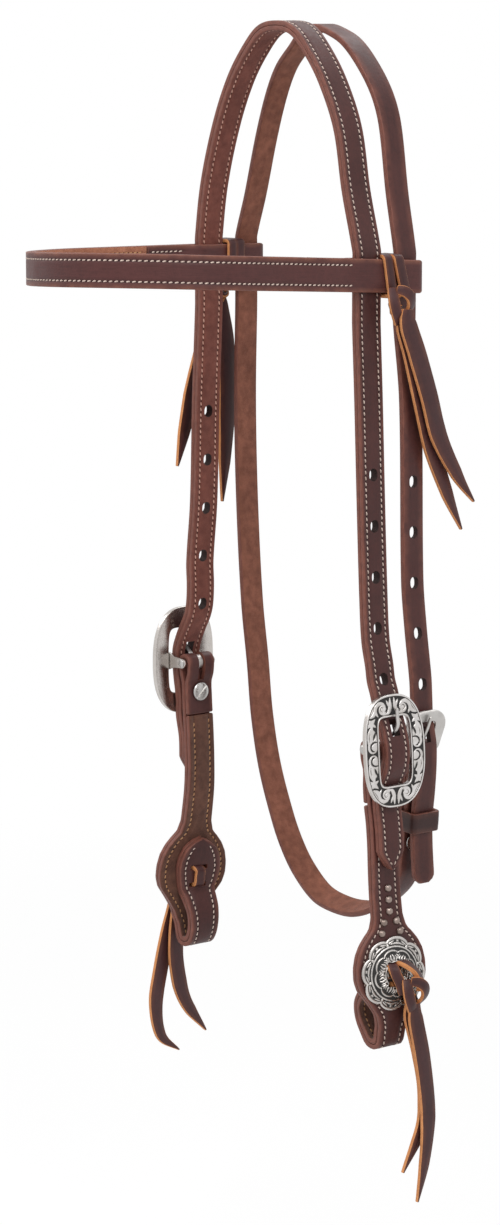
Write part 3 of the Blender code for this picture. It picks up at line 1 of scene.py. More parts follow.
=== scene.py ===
"""Looks of a western headstall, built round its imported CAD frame.

Metres, +Z up, +X to the near side. Each strap is swept along the same line as its CAD solid,
with rounded edges, sewn rows and cut holes, and rides on the same body.
"""
import logging
import math
from collections.abc import Callable, Sequence
from dataclasses import dataclass, field
from enum import Enum

import bmesh
import bpy
import numpy as np
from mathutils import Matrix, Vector


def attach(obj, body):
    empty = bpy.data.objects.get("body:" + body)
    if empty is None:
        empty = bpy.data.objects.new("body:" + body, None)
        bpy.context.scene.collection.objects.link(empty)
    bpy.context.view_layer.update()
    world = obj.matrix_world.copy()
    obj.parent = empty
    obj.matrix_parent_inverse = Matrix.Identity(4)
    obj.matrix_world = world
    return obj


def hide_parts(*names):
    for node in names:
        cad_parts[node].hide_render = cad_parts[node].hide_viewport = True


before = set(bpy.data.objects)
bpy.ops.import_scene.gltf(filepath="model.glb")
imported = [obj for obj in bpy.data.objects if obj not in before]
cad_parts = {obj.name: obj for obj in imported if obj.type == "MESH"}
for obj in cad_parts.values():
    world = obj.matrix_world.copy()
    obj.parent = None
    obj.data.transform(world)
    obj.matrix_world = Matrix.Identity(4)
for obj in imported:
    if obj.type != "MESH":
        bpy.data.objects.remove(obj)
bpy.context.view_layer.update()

LOG = logging.getLogger("headstall")
MM = 0.001
Pair = tuple[float, float]
Table = tuple[Pair, ...]
Finishes = tuple["bpy.types.Material", ...]

# Clearances and thicknesses that several straps share
GAP = 0.3 * MM
SEAM = 0.03 * MM
CROWN_WIDTH = 14.5 * MM
CROWN_LAYER = 2.2 * MM
CROWN_HALF = CROWN_LAYER + GAP / 2
CHEEK_LAYER = 2.4 * MM
CHEEK_HALF = CHEEK_LAYER + GAP / 2
THROAT_LAYER = 3.0 * MM
THROAT_HALF = THROAT_LAYER + GAP / 2
THROAT_WIDTH = 12.7 * MM
THROAT_BACK = 24.0 * MM
BROW_WIDTH = 15.9 * MM
BROW_LAYER = 2.2 * MM
BUCKLE_SPREAD = 70.8 * MM
LEG_SPREAD = 60.2 * MM
CHEEK_LENGTH = 148.0 * MM
FRAME_WIDTH = 37.5 * MM
FRAME_HEIGHT = 55.0 * MM
FRAME_THICK = 2.4 * MM
FRAME_BOW = 1.2 * MM
WINDOW_WIDTH = 20.0 * MM
WINDOW_HEIGHT = 33.5 * MM
BAR_RADIUS = 2.0 * MM
TONGUE_WIDTH = 3.4 * MM
TONGUE_THICK = 2.2 * MM
TONGUE_WALL = 1.4 * MM
HOLE_WIDTH = 5.0 * MM
HOLE_LENGTH = 6.2 * MM
HOLE_PITCH = 24.6 * MM
HOLE_COUNT = 5
BILLET_DROP = 58.5 * MM
POST_HEAD = 0.7 * MM
THONG_WIDTH = 9.2 * MM
THONG_THICK = 1.8 * MM
KNOT_DEPTH = 8.0 * MM
KNOT_HEIGHT = 14.0 * MM
TIE_PITCH = 9.4 * MM
CONCHO_DROP = 110.5 * MM
CONCHO_RISE = 3.8 * MM
STRAP_REST = CHEEK_HALF + GAP + POST_HEAD + GAP + CROWN_HALF
FRAME_STAND = STRAP_REST + CROWN_HALF + GAP + FRAME_THICK / 2 + FRAME_BOW
STRAP_RISE = FRAME_STAND - CROWN_HALF
TAB_DROP = CHEEK_HALF * 2 + GAP * 1.6
BROW_DROP = 113.9 * MM
BROW_LEAN = (0.0108, 0.0333)
BROW_WARP = 0.0223
CHEEK_TURN = math.radians(8.0)
SWAY_START, SWAY_OVER = -0.36, -0.25
FADE_START, FADE_OVER = -0.980, 0.112
LEAST_HALF = 0.2 * MM
CREASE = 38.0
BENT_CREASE = 60.0
CAST_CREASE = 75.0
WHITE = (1.0, 1.0, 1.0, 1.0)
X_AXIS = Vector((1.0, 0.0, 0.0))
Y_AXIS = Vector((0.0, 1.0, 0.0))
Z_AXIS = Vector((0.0, 0.0, 1.0))


class Face(Enum):
    """Which finish of a strap a face takes."""

    GRAIN = 0
    EDGE = 1
    FLESH = 2
    HOLE = 3


class Slot(Enum):
    """Names of the material slots."""

    GRAIN = "grain_leather"
    FLESH = "flesh_leather"
    SUEDE = "suede_lining"
    THONG = "thong_leather"
    ENGRAVED = "engraved_silver"
    BRUSHED = "brushed_silver"
    STEEL = "steel"
    NICKEL = "aged_nickel"


def hermite(start: Vector, stop: Vector, lead: Vector, trail: Vector, t: float) -> Vector:
    """One point of the cubic between two points with given slopes.

    Args:
        start: First point.
        stop: Last point.
        lead: Slope at the first point.
        trail: Slope at the last point.
        t: Place between them, from 0 to 1.

    Returns:
        The point at t.
    """
    square = t * t
    cube = square * t
    return (start * (2 * cube - 3 * square + 1) + lead * (cube - 2 * square + t)
            + stop * (3 * square - 2 * cube) + trail * (cube - square))


def smooth(points: Sequence[Vector], step: float) -> list[Vector]:
    """Run a curve through the points, with samples about one step apart.

    Args:
        points: Points that the curve passes through.
        step: Spacing of the samples.

    Returns:
        The samples, ends included.
    """
    ends = [Vector(p) for p in points]
    run = []
    for index in range(len(ends) - 1):
        start, stop = ends[index], ends[index + 1]
        before = ends[max(index - 1, 0)]
        after = ends[min(index + 2, len(ends) - 1)]
        span = (stop - start).length
        lead = (stop - before) * (span / max(span + (start - before).length, span))
        trail = (after - start) * (span / max((after - stop).length + span, span))
        count = max(1, math.ceil(span / step))
        run += [hermite(start, stop, lead, trail, part / count) for part in range(count)]
    run.append(ends[-1])
    return run


def read_shares(table: Sequence[Pair], place: float) -> float:
    """Read a value between the rows of a table, in either order.

    Args:
        table: Rows of place and value.
        place: Where to read.

    Returns:
        The value there, held at both ends.
    """
    rows = sorted(table)
    if place <= rows[0][0]:
        return rows[0][1]
    for (low, first), (high, second) in zip(rows, rows[1:]):
        if place <= high:
            return first + (second - first) * (place - low) / (high - low)
    return rows[-1][1]


def clamp(value: float) -> float:
    """Hold a value between 0 and 1."""
    return min(max(value, 0.0), 1.0)


def spaced(run: Sequence[Vector], least: float) -> list[Vector]:
    """Drop points that come closer together than the least spacing.

    Args:
        run: Points of a line.
        least: The least spacing kept.

    Returns:
        The points kept, ends included.
    """
    kept = [run[0]]
    for point in run[1:-1]:
        if (point - kept[-1]).length >= least:
            kept.append(point)
    kept.append(run[-1])
    return kept


def passing(run: Sequence[Vector], index: int) -> Vector:
    """Way from the point before to the point after one point of a line."""
    return run[min(index + 1, len(run) - 1)] - run[max(index - 1, 0)]


def travelled(run: Sequence[Vector]) -> list[float]:
    """Distance along a line from its first point to each point."""
    along = [0.0]
    for first, second in zip(run, run[1:]):
        along.append(along[-1] + (second - first).length)
    return along


def distances(line: np.ndarray) -> np.ndarray:
    """Distance along an array of points from the first to each."""
    return np.concatenate([[0.0], np.cumsum(np.linalg.norm(np.diff(line, axis=0), axis=1))])


def half_circle(radius: float, steps: int = 12) -> list[Pair]:
    """Upper half of a circle about the origin, from right to left."""
    return [(radius * math.cos(math.pi * k / steps), radius * math.sin(math.pi * k / steps))
            for k in range(steps + 1)]


def unit(rows: np.ndarray) -> np.ndarray:
    """Scale each row to length 1."""
    return rows / np.maximum(np.linalg.norm(rows, axis=1, keepdims=True), 1e-12)


def ramp(value: np.ndarray, low: float, high: float) -> np.ndarray:
    """Rise smoothly from 0 at low to 1 at high, or fall when high is below low."""
    t = np.clip((value - low) / (high - low), 0.0, 1.0)
    return t * t * (3 - 2 * t)


@dataclass
class Shell:
    """Points, faces and surface data of a mesh in the making.

    faces holds corner numbers, slots one finish number for each face, flat one pair for each
    point that textures read, and marks named values for each point.
    """

    points: np.ndarray
    faces: list[tuple[int, ...]]
    slots: list[int]
    flat: np.ndarray
    marks: dict[str, np.ndarray] = field(default_factory=dict)

    def joined(self, other: "Shell") -> "Shell":
        """Put two shells in one.

        Args:
            other: The shell to add, with the same marks.

        Returns:
            The new shell.
        """
        base = len(self.points)
        faces = self.faces + [tuple(c + base for c in f) for f in other.faces]
        marks = {k: np.concatenate([v, other.marks[k]]) for k, v in self.marks.items()}
        return Shell(np.concatenate([self.points, other.points]), faces,
                     self.slots + other.slots, np.concatenate([self.flat, other.flat]), marks)

    def mesh(self, name: str, finishes: Finishes, crease: float = CREASE) -> bpy.types.Mesh:
        """Make the mesh with outward normals and its finishes.

        Args:
            name: Name of the mesh.
            finishes: Materials in the order of the slots.
            crease: Angle in degrees above which an edge stays sharp.

        Returns:
            The mesh.
        """
        mesh = bpy.data.meshes.new(name)
        mesh.from_pydata(self.points.tolist(), [], self.faces)
        for finish in finishes:
            mesh.materials.append(finish)
        mesh.polygons.foreach_set("material_index", self.slots)
        layer = mesh.uv_layers.new(name="flat")
        corners = np.zeros(len(mesh.loops), dtype=np.int32)
        mesh.loops.foreach_get("vertex_index", corners)
        layer.data.foreach_set("uv", self.flat[corners].astype(np.float32).ravel())
        for key, values in self.marks.items():
            mark = mesh.attributes.new(key, "FLOAT", "POINT")
            mark.data.foreach_set("value", values.astype(np.float32))
        work = bmesh.new()
        work.from_mesh(mesh)
        bmesh.ops.recalc_face_normals(work, faces=work.faces)
        work.to_mesh(mesh)
        work.free()
        mesh.shade_smooth()
        mesh.set_sharp_from_angle(angle=math.radians(crease))
        return mesh


def merged(shells: Sequence[Shell]) -> Shell:
    """Put several shells in one, in their order."""
    whole = shells[0]
    for other in shells[1:]:
        whole = whole.joined(other)
    return whole


@dataclass(frozen=True)
class Placing:
    """Where a piece belongs: its body, its slot and the CAD nodes it stands for."""

    body: str
    slot: Slot
    nodes: tuple[str, ...] = ()

    def put(self, name: str, mesh: bpy.types.Mesh) -> None:
        """Link a mesh as a piece on its body.

        Args:
            name: Name of the piece.
            mesh: Its mesh.
        """
        piece = bpy.data.objects.new(name, mesh)
        bpy.context.scene.collection.objects.link(piece)
        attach(piece, self.body)
        if self.nodes:
            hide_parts(*self.nodes)
        LOG.info("%s: %d points on %s", name, len(mesh.vertices), self.body)


def cut(mesh: bpy.types.Mesh, tools: Sequence[Shell], slot: Face = Face.EDGE,
        crossing: bool = False) -> bpy.types.Mesh:
    """Cut tool shells out of a mesh; the new walls take one of its finishes.

    Args:
        mesh: Mesh to cut, which is used up.
        tools: Closed shells that don't meet each other.
        slot: Finish of the new walls.
        crossing: Whether the mesh touches itself, as a lining does where it turns back.

    Returns:
        The cut mesh.
    """
    tool = merged(tools)
    tool.slots = [slot.value] * len(tool.faces)
    tool.marks = {key.name: np.zeros(len(tool.points)) for key in mesh.attributes
                  if key.data_type == "FLOAT" and key.domain == "POINT"}
    cutter = bpy.data.objects.new("cutter", tool.mesh("cutter", tuple(mesh.materials)))
    target = bpy.data.objects.new("target", mesh)
    for item in (cutter, target):
        bpy.context.scene.collection.objects.link(item)
    change = target.modifiers.new("cut", "BOOLEAN")
    change.operation = "DIFFERENCE"
    change.solver = "EXACT"
    change.use_self = crossing
    change.material_mode = "INDEX"
    change.object = cutter
    bpy.context.view_layer.update()
    graph = bpy.context.evaluated_depsgraph_get()
    made = bpy.data.meshes.new_from_object(target.evaluated_get(graph))
    made.name = mesh.name
    for item in (cutter, target):
        old = item.data
        bpy.data.objects.remove(item, do_unlink=True)
        bpy.data.meshes.remove(old)
    made.set_sharp_from_angle(angle=math.radians(CREASE))
    return made


def prism(outline: Sequence[Pair], place: Callable[[float, float, float], Vector],
          depth: Pair) -> Shell:
    """Closed shell of an outline between two levels.

    Args:
        outline: Points of the outline, in order.
        place: Turns (u, v, w) into a point.
        depth: The two levels of w.

    Returns:
        The shell.
    """
    count = len(outline)
    points = np.array([tuple(place(u, v, w)) for w in depth for u, v in outline])
    faces = [tuple(range(count)), tuple(range(count, 2 * count))]
    faces += [(i, (i + 1) % count, count + (i + 1) % count, count + i) for i in range(count)]
    return Shell(points, faces, [0] * len(faces), np.zeros((2 * count, 2)))


def block(centre: Vector, axes: Sequence[Vector], halves: Sequence[float]) -> Shell:
    """Closed shell of a cutter's block.

    Args:
        centre: Middle of the block.
        axes: Its three directions.
        halves: Half lengths along them.

    Returns:
        The shell.
    """
    def place(u: float, v: float, w: float) -> Vector:
        """Point of the block."""
        return centre + axes[0] * u + axes[1] * v + axes[2] * w

    outline = [(-halves[0], -halves[1]), (halves[0], -halves[1]), (halves[0], halves[1]),
               (-halves[0], halves[1])]
    return prism(outline, place, (-halves[2], halves[2]))


def grid_faces(rows: int, columns: int, around: bool, wrap: bool) -> list[tuple[int, ...]]:
    """Quads of a grid of points in rows.

    Args:
        rows: Number of rows.
        columns: Points in each row.
        around: Whether each row closes on itself.
        wrap: Whether the last row joins the first.

    Returns:
        The corner numbers of each quad, row by row.
    """
    faces = []
    for row in range(rows if wrap else rows - 1):
        low, high = row * columns, ((row + 1) % rows) * columns
        for column in range(columns if around else columns - 1):
            beside = (column + 1) % columns
            faces.append((low + column, low + beside, high + beside, high + column))
    return faces


@dataclass
class Ribbon:
    """A strap swept along a line, with rounded edges and pressed rows for its stitches.

    run is the line, across the width direction, halves the half widths, and levels the inner
    and outer face measured along the outward normal. dips and back_dips are how far in from
    each edge the sewn rows lie on the two faces. A row is pressed dip_depth deep, over
    dip_floor to each side of its middle, and rises again by dip_reach. sewn gives the
    stretches along the line where the rows are pressed, or all of it if left empty.
    """

    run: Sequence[Vector]
    across: Vector | Sequence[Vector]
    halves: Sequence[float]
    levels: Pair
    mirror: int = 1
    bevel: float = 0.45 * MM
    dips: tuple[float, ...] = ()
    back_dips: tuple[float, ...] = ()
    dip_depth: float = 0.22 * MM
    dip_floor: float = 0.25 * MM
    dip_reach: float = 0.65 * MM
    crown: float = 0.0
    upright: bool = False
    closed: bool = False
    sewn: tuple[Pair, ...] = ()

    def __post_init__(self) -> None:
        """Work out the frame of directions along the line."""
        self.line = np.array([tuple(p) for p in self.run])
        level = self.line.copy()
        if self.upright:
            level[:, 2] = 0.0
        ahead, behind = np.roll(level, -1, 0), np.roll(level, 1, 0)
        if not self.closed:
            ahead[-1], behind[0] = level[-1], level[0]
        self.travel = unit(ahead - behind)
        if isinstance(self.across, Vector):
            given = np.tile(np.array(tuple(self.across)), (len(self.line), 1))
        else:
            given = np.array([tuple(v) for v in self.across])
        given = given - self.travel * np.sum(given * self.travel, 1, keepdims=True)
        self.side = unit(given)
        self.out = np.cross(self.side, self.travel)
        self.half = np.array(self.halves, float)
        self.along = distances(self.line)
        self.thick = self.levels[1] - self.levels[0]
        self.rounding = min(self.bevel, self.thick * 0.45)

    def section(self) -> np.ndarray:
        """Corners of the strap's section, counted round from its right edge.

        Returns:
            Rows of place across, level, wear and dip.
        """
        half, thick, bevel = float(np.median(self.half)), self.thick, self.rounding
        rows: list[tuple[float, float, float, float]] = []

        def corner(x: float, y: float, quarter: int) -> None:
            """Round one corner of the section."""
            for step in range(4):
                angle = (quarter + step / 3) * math.pi / 2
                wear = 1.0 if 0 < step < 3 else 0.55
                rows.append((x + bevel * math.cos(angle), y + bevel * math.sin(angle), wear, 0.0))

        def face(dips: tuple[float, ...], y: float, way: int) -> None:
            """Cross one face from edge to edge."""
            places = sorted([half - d for d in dips] + [d - half for d in dips], reverse=True)
            marks = [(x + hand * s, y - way * deep, 0.0, dip) for x in places
                     for hand in (1, -1)
                     for s, deep, dip in ((self.dip_reach, 0.0, 0.15),
                                          (self.dip_floor, self.dip_depth, 1.0))]
            marks += [(half * s, y + way * self.crown * (1 - s * s), 0.0, 0.0)
                      for s in (0.35, 0.0, -0.35)]
            rows.extend(sorted(marks, key=lambda m: -way * m[0]))

        corner(half - bevel, thick - bevel, 0)
        face(self.dips, thick, 1)
        corner(bevel - half, thick - bevel, 1)
        corner(bevel - half, bevel, 2)
        face(self.back_dips, 0.0, -1)
        corner(half - bevel, bevel, 3)
        return np.array(rows)

    def widths(self, across: np.ndarray, half: np.ndarray) -> np.ndarray:
        """Places across the strap at each station, a set distance in from wider edges.

        Args:
            across: Places across the usual section.
            half: Half widths at the stations.

        Returns:
            One row of places for each station.
        """
        usual = float(np.median(self.half))
        scaled = across[None, :] * (half[:, None] / usual)
        kept = half[:, None] - (usual - np.abs(across))[None, :]
        hand = np.sign(across)[None, :]
        wide = np.where(np.abs(across)[None, :] < usual * 0.4, scaled, hand * kept)
        narrow = hand * np.maximum(kept, np.abs(across)[None, :] * 0.08)
        return np.where(half[:, None] < usual, narrow, wide)

    def stations(self) -> tuple[np.ndarray, np.ndarray, np.ndarray]:
        """Stations with a rounded start and end.

        Returns:
            Station numbers, shifts along the strap, and how much of the bevel each loses.
        """
        count = len(self.line)
        if self.closed:
            return np.arange(count), np.zeros(count), np.zeros(count)
        index = np.concatenate([[0, 0], np.arange(1, count - 1), [count - 1, count - 1]])
        shift = np.zeros(count + 2)
        shift[1], shift[-2] = self.bevel, -self.bevel
        lost = np.zeros(count + 2)
        lost[0] = lost[-1] = 1.0
        return index, shift, lost

    def shell(self) -> Shell:
        """Sweep the section along the line.

        Returns:
            The closed shell.
        """
        rows, thick = self.section(), self.thick
        index, shift, lost = self.stations()
        half = np.maximum(self.half[index] - lost * self.bevel * 0.8, LEAST_HALF)
        wide = self.widths(rows[:, 0], half)
        squeeze = 1.0 - lost * self.rounding * 1.5 / thick
        plain = 1.0 - self.pressed()[index][:, None]
        lift = np.where(rows[:, 3] > 0.9, np.sign(rows[:, 1] - thick / 2) * self.dip_depth, 0.0)
        rise = rows[None, :, 1] - thick / 2 + plain * lift[None, :]
        rise = self.levels[0] + thick / 2 + rise * squeeze[:, None]
        base = self.line[index] + self.travel[index] * shift[:, None]
        points = (base[:, None, :] + self.side[index][:, None, :] * wide[:, :, None]
                  + self.out[index][:, None, :] * rise[:, :, None]).reshape(-1, 3)
        points[:, 0] *= self.mirror
        count, stations = len(rows), len(index)
        faces = grid_faces(stations, count, True, self.closed)
        slots = self.slots(rows) * (stations if self.closed else stations - 1)
        if not self.closed:
            faces += [tuple(range(count)), tuple(range((stations - 1) * count, stations * count))]
            slots += [Face.EDGE.value] * 2
        round_section = np.linalg.norm(np.diff(rows[:, :2], axis=0, append=rows[:1, :2]), axis=1)
        girth = np.concatenate([[0.0], np.cumsum(round_section)[:-1]])
        flat = np.stack([np.tile(girth, stations),
                         np.repeat(self.along[index] + shift, count)], 1)
        # wear marks the rounded corners for edge wear; dip marks the pressed rows for painted
        # shade
        marks = {"wear": np.tile(rows[:, 2], stations),
                 "dip": ((1.0 - plain) * rows[None, :, 3]).reshape(-1)}
        marks["wear"] = np.maximum(marks["wear"], np.repeat(lost, count) * 0.8)
        return Shell(points, faces, slots, flat, marks)

    def pressed(self) -> np.ndarray:
        """How deep the sewn rows are pressed at each station, from 0 to 1."""
        if not self.sewn:
            return np.ones(len(self.along))
        found = np.zeros(len(self.along))
        for start, stop in self.sewn:
            found = np.maximum(found, ramp(self.along, start - MM, start + MM)
                               * ramp(self.along, stop + MM, stop - MM))
        return found

    def slots(self, rows: np.ndarray) -> list[int]:
        """Finish of each side of the section.

        Args:
            rows: The section's corners.

        Returns:
            One finish number for each side.
        """
        ways = np.diff(rows[:, :2], axis=0, append=rows[:1, :2])
        normals = unit(np.stack([ways[:, 1], -ways[:, 0]], 1))
        return [Face.EDGE.value if abs(n[0]) > 0.62
                else (Face.GRAIN.value if n[1] > 0 else Face.FLESH.value) for n in normals]

    def row(self, inset: float, hand: int, outer: bool) -> tuple[np.ndarray, np.ndarray]:
        """Line of a sewn row and the normal along it.

        Args:
            inset: Distance in from the edge.
            hand: 1 or -1 for the edge it follows.
            outer: Whether it lies on the outer face.

        Returns:
            Points and normals, one for each station.
        """
        way = 1.0 if outer else -1.0
        level = (self.levels[1] if outer else self.levels[0]) - way * self.dip_depth
        reach = np.maximum(self.half - inset, LEAST_HALF)
        points = self.line + self.side * (hand * reach)[:, None] + self.out * level
        normals = self.out * way
        flip = np.array([self.mirror, 1.0, 1.0])
        return points * flip, normals * flip


@dataclass
class Stitching:
    """Rows of sunk thread stitches along a strap.

    Each stitch is a closed thread whose rings are given as share of its length, share of its
    girth and sink. A low dark block between two levels lies behind it, painted shade that
    stands for the needle hole.
    """

    ribbon: Ribbon
    inset: float
    outer: bool
    start: float
    stop: float
    pitch: float = 2.8 * MM
    length: float = 1.8 * MM
    width: float = 0.72 * MM
    slant: float = math.radians(11.0)
    rings: tuple[tuple[float, float, float], ...] = (
        (-0.5, 0.25, -0.26), (-0.44, 0.7, -0.1), (-0.28, 0.95, 0.0), (0.0, 1.0, 0.04),
        (0.28, 0.95, 0.0), (0.44, 0.7, -0.1), (0.5, 0.25, -0.26))
    sides: int = 7
    flatness: float = 0.62
    stand: float = 0.30
    hole_sides: int = 6
    hole_size: Pair = (0.36 * MM, 0.30 * MM)
    hole_levels: Pair = (-0.3, 0.16)

    def places(self, hand: int) -> tuple[np.ndarray, np.ndarray, np.ndarray]:
        """Middle, direction and normal of each stitch of one row.

        Args:
            hand: 1 or -1 for the edge the row follows.

        Returns:
            Three arrays with one row for each stitch.
        """
        line, normals = self.ribbon.row(self.inset, hand, self.outer)
        along = distances(line)
        at = np.arange(self.start, along[-1] - self.stop, self.pitch)

        def read(rows: np.ndarray, where: np.ndarray) -> np.ndarray:
            """Read rows between the stations."""
            return np.stack([np.interp(where, along, rows[:, k]) for k in range(3)], 1)

        middle = read(line, at)
        way = unit(read(line, at + self.length / 2) - read(line, at - self.length / 2))
        return middle, way, unit(read(normals, at))

    def template(self) -> tuple[np.ndarray, np.ndarray]:
        """Thread of one stitch and the dark block of painted shade at its needle hole.

        Returns:
            Points along, beside and up from the stitch's middle, and their flat places.
        """
        points, flat = [], []
        for x, girth, sink in self.rings:
            for k in range(self.sides):
                angle = math.tau * k / self.sides
                rise = girth * math.sin(angle) * self.flatness + sink + self.stand
                points.append((x * self.length, girth * self.width / 2 * math.cos(angle),
                               rise * self.width / 2))
                flat.append((k / self.sides * self.width * 3, x * self.length))
        for level in self.hole_levels:
            for k in range(self.hole_sides):
                angle = math.tau * k / self.hole_sides
                points.append((self.pitch / 2 + self.hole_size[0] * math.cos(angle),
                               self.hole_size[1] * math.sin(angle), level * self.width / 2))
                flat.append((0.0, 0.0))
        return np.array(points), np.array(flat)

    def shell(self) -> Shell:
        """Both rows as small closed threads, each ending in a dark block of painted needle-hole
        shade.

        Returns:
            The shell of all stitches, with the finish 0 on threads and 1 on the dark hole blocks.
        """
        parts = [self.places(1), self.places(-1)]
        middle, way, up = (np.concatenate([p[k] for p in parts]) for k in range(3))
        beside = unit(np.cross(up, way))
        turn = self.slant * self.ribbon.mirror
        way, beside = (way * np.cos(turn) + beside * np.sin(turn),
                       beside * np.cos(turn) - way * np.sin(turn))
        one, flat = self.template()
        points = (middle[:, None, :] + way[:, None, :] * one[None, :, 0:1]
                  + beside[:, None, :] * one[None, :, 1:2]
                  + up[:, None, :] * one[None, :, 2:3]).reshape(-1, 3)
        own, slots, base = [], [], 0
        for finish, rings, sides in ((0, len(self.rings), self.sides), (1, 2, self.hole_sides)):
            end = base + rings * sides
            faces = [tuple(c + base for c in f) for f in grid_faces(rings, sides, True, False)]
            own += faces + [tuple(range(base, base + sides)), tuple(range(end - sides, end))]
            slots += [finish] * (len(faces) + 2)
            base = end
        faces = [tuple(c + first for c in f) for first in range(0, len(points), base) for f in own]
        return Shell(points, faces, slots * len(middle), np.tile(flat, (len(middle), 1)))


@dataclass
class Turning:
    """A turned piece: a profile of radius and height about an axis."""

    profile: Sequence[Pair]
    base: Vector
    axis: Vector
    steps: int = 40

    def shell(self) -> Shell:
        """Turn the profile.

        Returns:
            The closed shell; the profile's ends lie on the axis.
        """
        up = self.axis.normalized()
        first = up.orthogonal().normalized()
        second = up.cross(first)
        angles = [math.tau * k / self.steps for k in range(self.steps)]
        rings = [first * math.cos(a) + second * math.sin(a) for a in angles]
        body = self.profile[1:-1]
        points = [self.base + ring * r + up * h for r, h in body for ring in rings]
        flat = [(a * 4 * MM, h) for _, h in body for a in angles]
        faces = grid_faces(len(body), self.steps, True, False)
        points += [self.base + up * self.profile[0][1], self.base + up * self.profile[-1][1]]
        flat += [(0.0, 0.0), (0.0, 0.0)]
        first_tip, last_tip = len(points) - 2, len(points) - 1
        last = (len(body) - 1) * self.steps
        for k in range(self.steps):
            beside = (k + 1) % self.steps
            faces.append((first_tip, beside, k))
            faces.append((last_tip, last + k, last + beside))
        return Shell(np.array([tuple(p) for p in points]), faces, [0] * len(faces),
                     np.array(flat))


def drill(radius: float, reach: float, middle: Vector, axis: Vector) -> Shell:
    """Round cutter that reaches equally far to both sides of its middle."""
    profile = [(0, -reach), (radius, -reach), (radius, reach), (0, reach)]
    return Turning(profile, middle, axis).shell()


@dataclass
class RingPlate:
    """A ring-shaped plate between two outlines, with a relief on its front.

    place turns arrays of u, v and level into points. relief gives the rise and the silver
    share of the front from u, v and the distances to both outlines.
    """

    outer: np.ndarray
    inner: np.ndarray
    thick: float
    place: Callable[[np.ndarray, np.ndarray, np.ndarray], np.ndarray]
    rows: int = 12
    bevel: float = 0.5 * MM
    relief: Callable[..., tuple[np.ndarray, np.ndarray]] | None = None

    def shell(self) -> Shell:
        """Front, walls and back of the plate.

        Returns:
            The closed shell, with the finish 0 in front and 1 behind.
        """
        edge = np.array([0.0, 0.06, 0.25, 0.55, 1.0]) * self.bevel
        width = float(np.median(np.linalg.norm(self.outer - self.inner, axis=1)))
        edge = edge / width
        middle = np.linspace(edge[-1], 1 - edge[-1], self.rows)[1:-1]
        front = np.concatenate([edge, middle, 1 - edge[::-1]])
        back = np.concatenate([1 - edge, [0.5], edge[::-1]])
        shares = np.concatenate([front, back])[:, None, None]
        flat = self.outer[None] * (1 - shares) + self.inner[None] * shares
        spans = np.linalg.norm(self.outer - self.inner, axis=1)[None, :]
        from_outer = shares[:, :, 0] * spans
        from_inner = (1 - shares[:, :, 0]) * spans
        near = np.minimum(np.minimum(from_outer, from_inner), self.bevel)
        drop = self.bevel - np.sqrt(np.maximum(self.bevel ** 2 - (self.bevel - near) ** 2, 0.0))
        level = self.thick / 2 - drop
        silver = np.ones_like(level)
        ahead = len(front)
        if self.relief is not None:
            rise, mask = self.relief(flat[:ahead, :, 0], flat[:ahead, :, 1],
                                     from_outer[:ahead], from_inner[:ahead])
            level[:ahead] += rise
            silver[:ahead] = mask
        level[ahead:] *= -1
        u, v, w = (a.reshape(-1) for a in (flat[:, :, 0], flat[:, :, 1], level))
        count = len(self.outer)
        faces = grid_faces(len(shares), count, True, True)
        slots = [0] * ahead + [1] * (len(shares) - ahead)
        marks = {"silver": silver.reshape(-1)}
        return Shell(self.place(u, v, w), faces, [s for s in slots for _ in range(count)],
                     np.stack([u, v], 1), marks)


def darker(colour: tuple[float, ...], share: float) -> tuple[float, ...]:
    """Scale a colour and leave its alpha full."""
    return tuple(c * share for c in colour[:3]) + (1.0,)


def tint(red: float, green: float, blue: float) -> tuple[float, float, float, float]:
    """Turn a colour in screen values of 0 to 255 into a linear one.

    Args:
        red: Red screen value.
        green: Green screen value.
        blue: Blue screen value.

    Returns:
        The linear colour with full alpha.
    """
    def linear(value: float) -> float:
        """Undo the screen curve for one value."""
        share = value / 255
        return share / 12.92 if share <= 0.04045 else ((share + 0.055) / 1.055) ** 2.4

    return linear(red), linear(green), linear(blue), 1.0


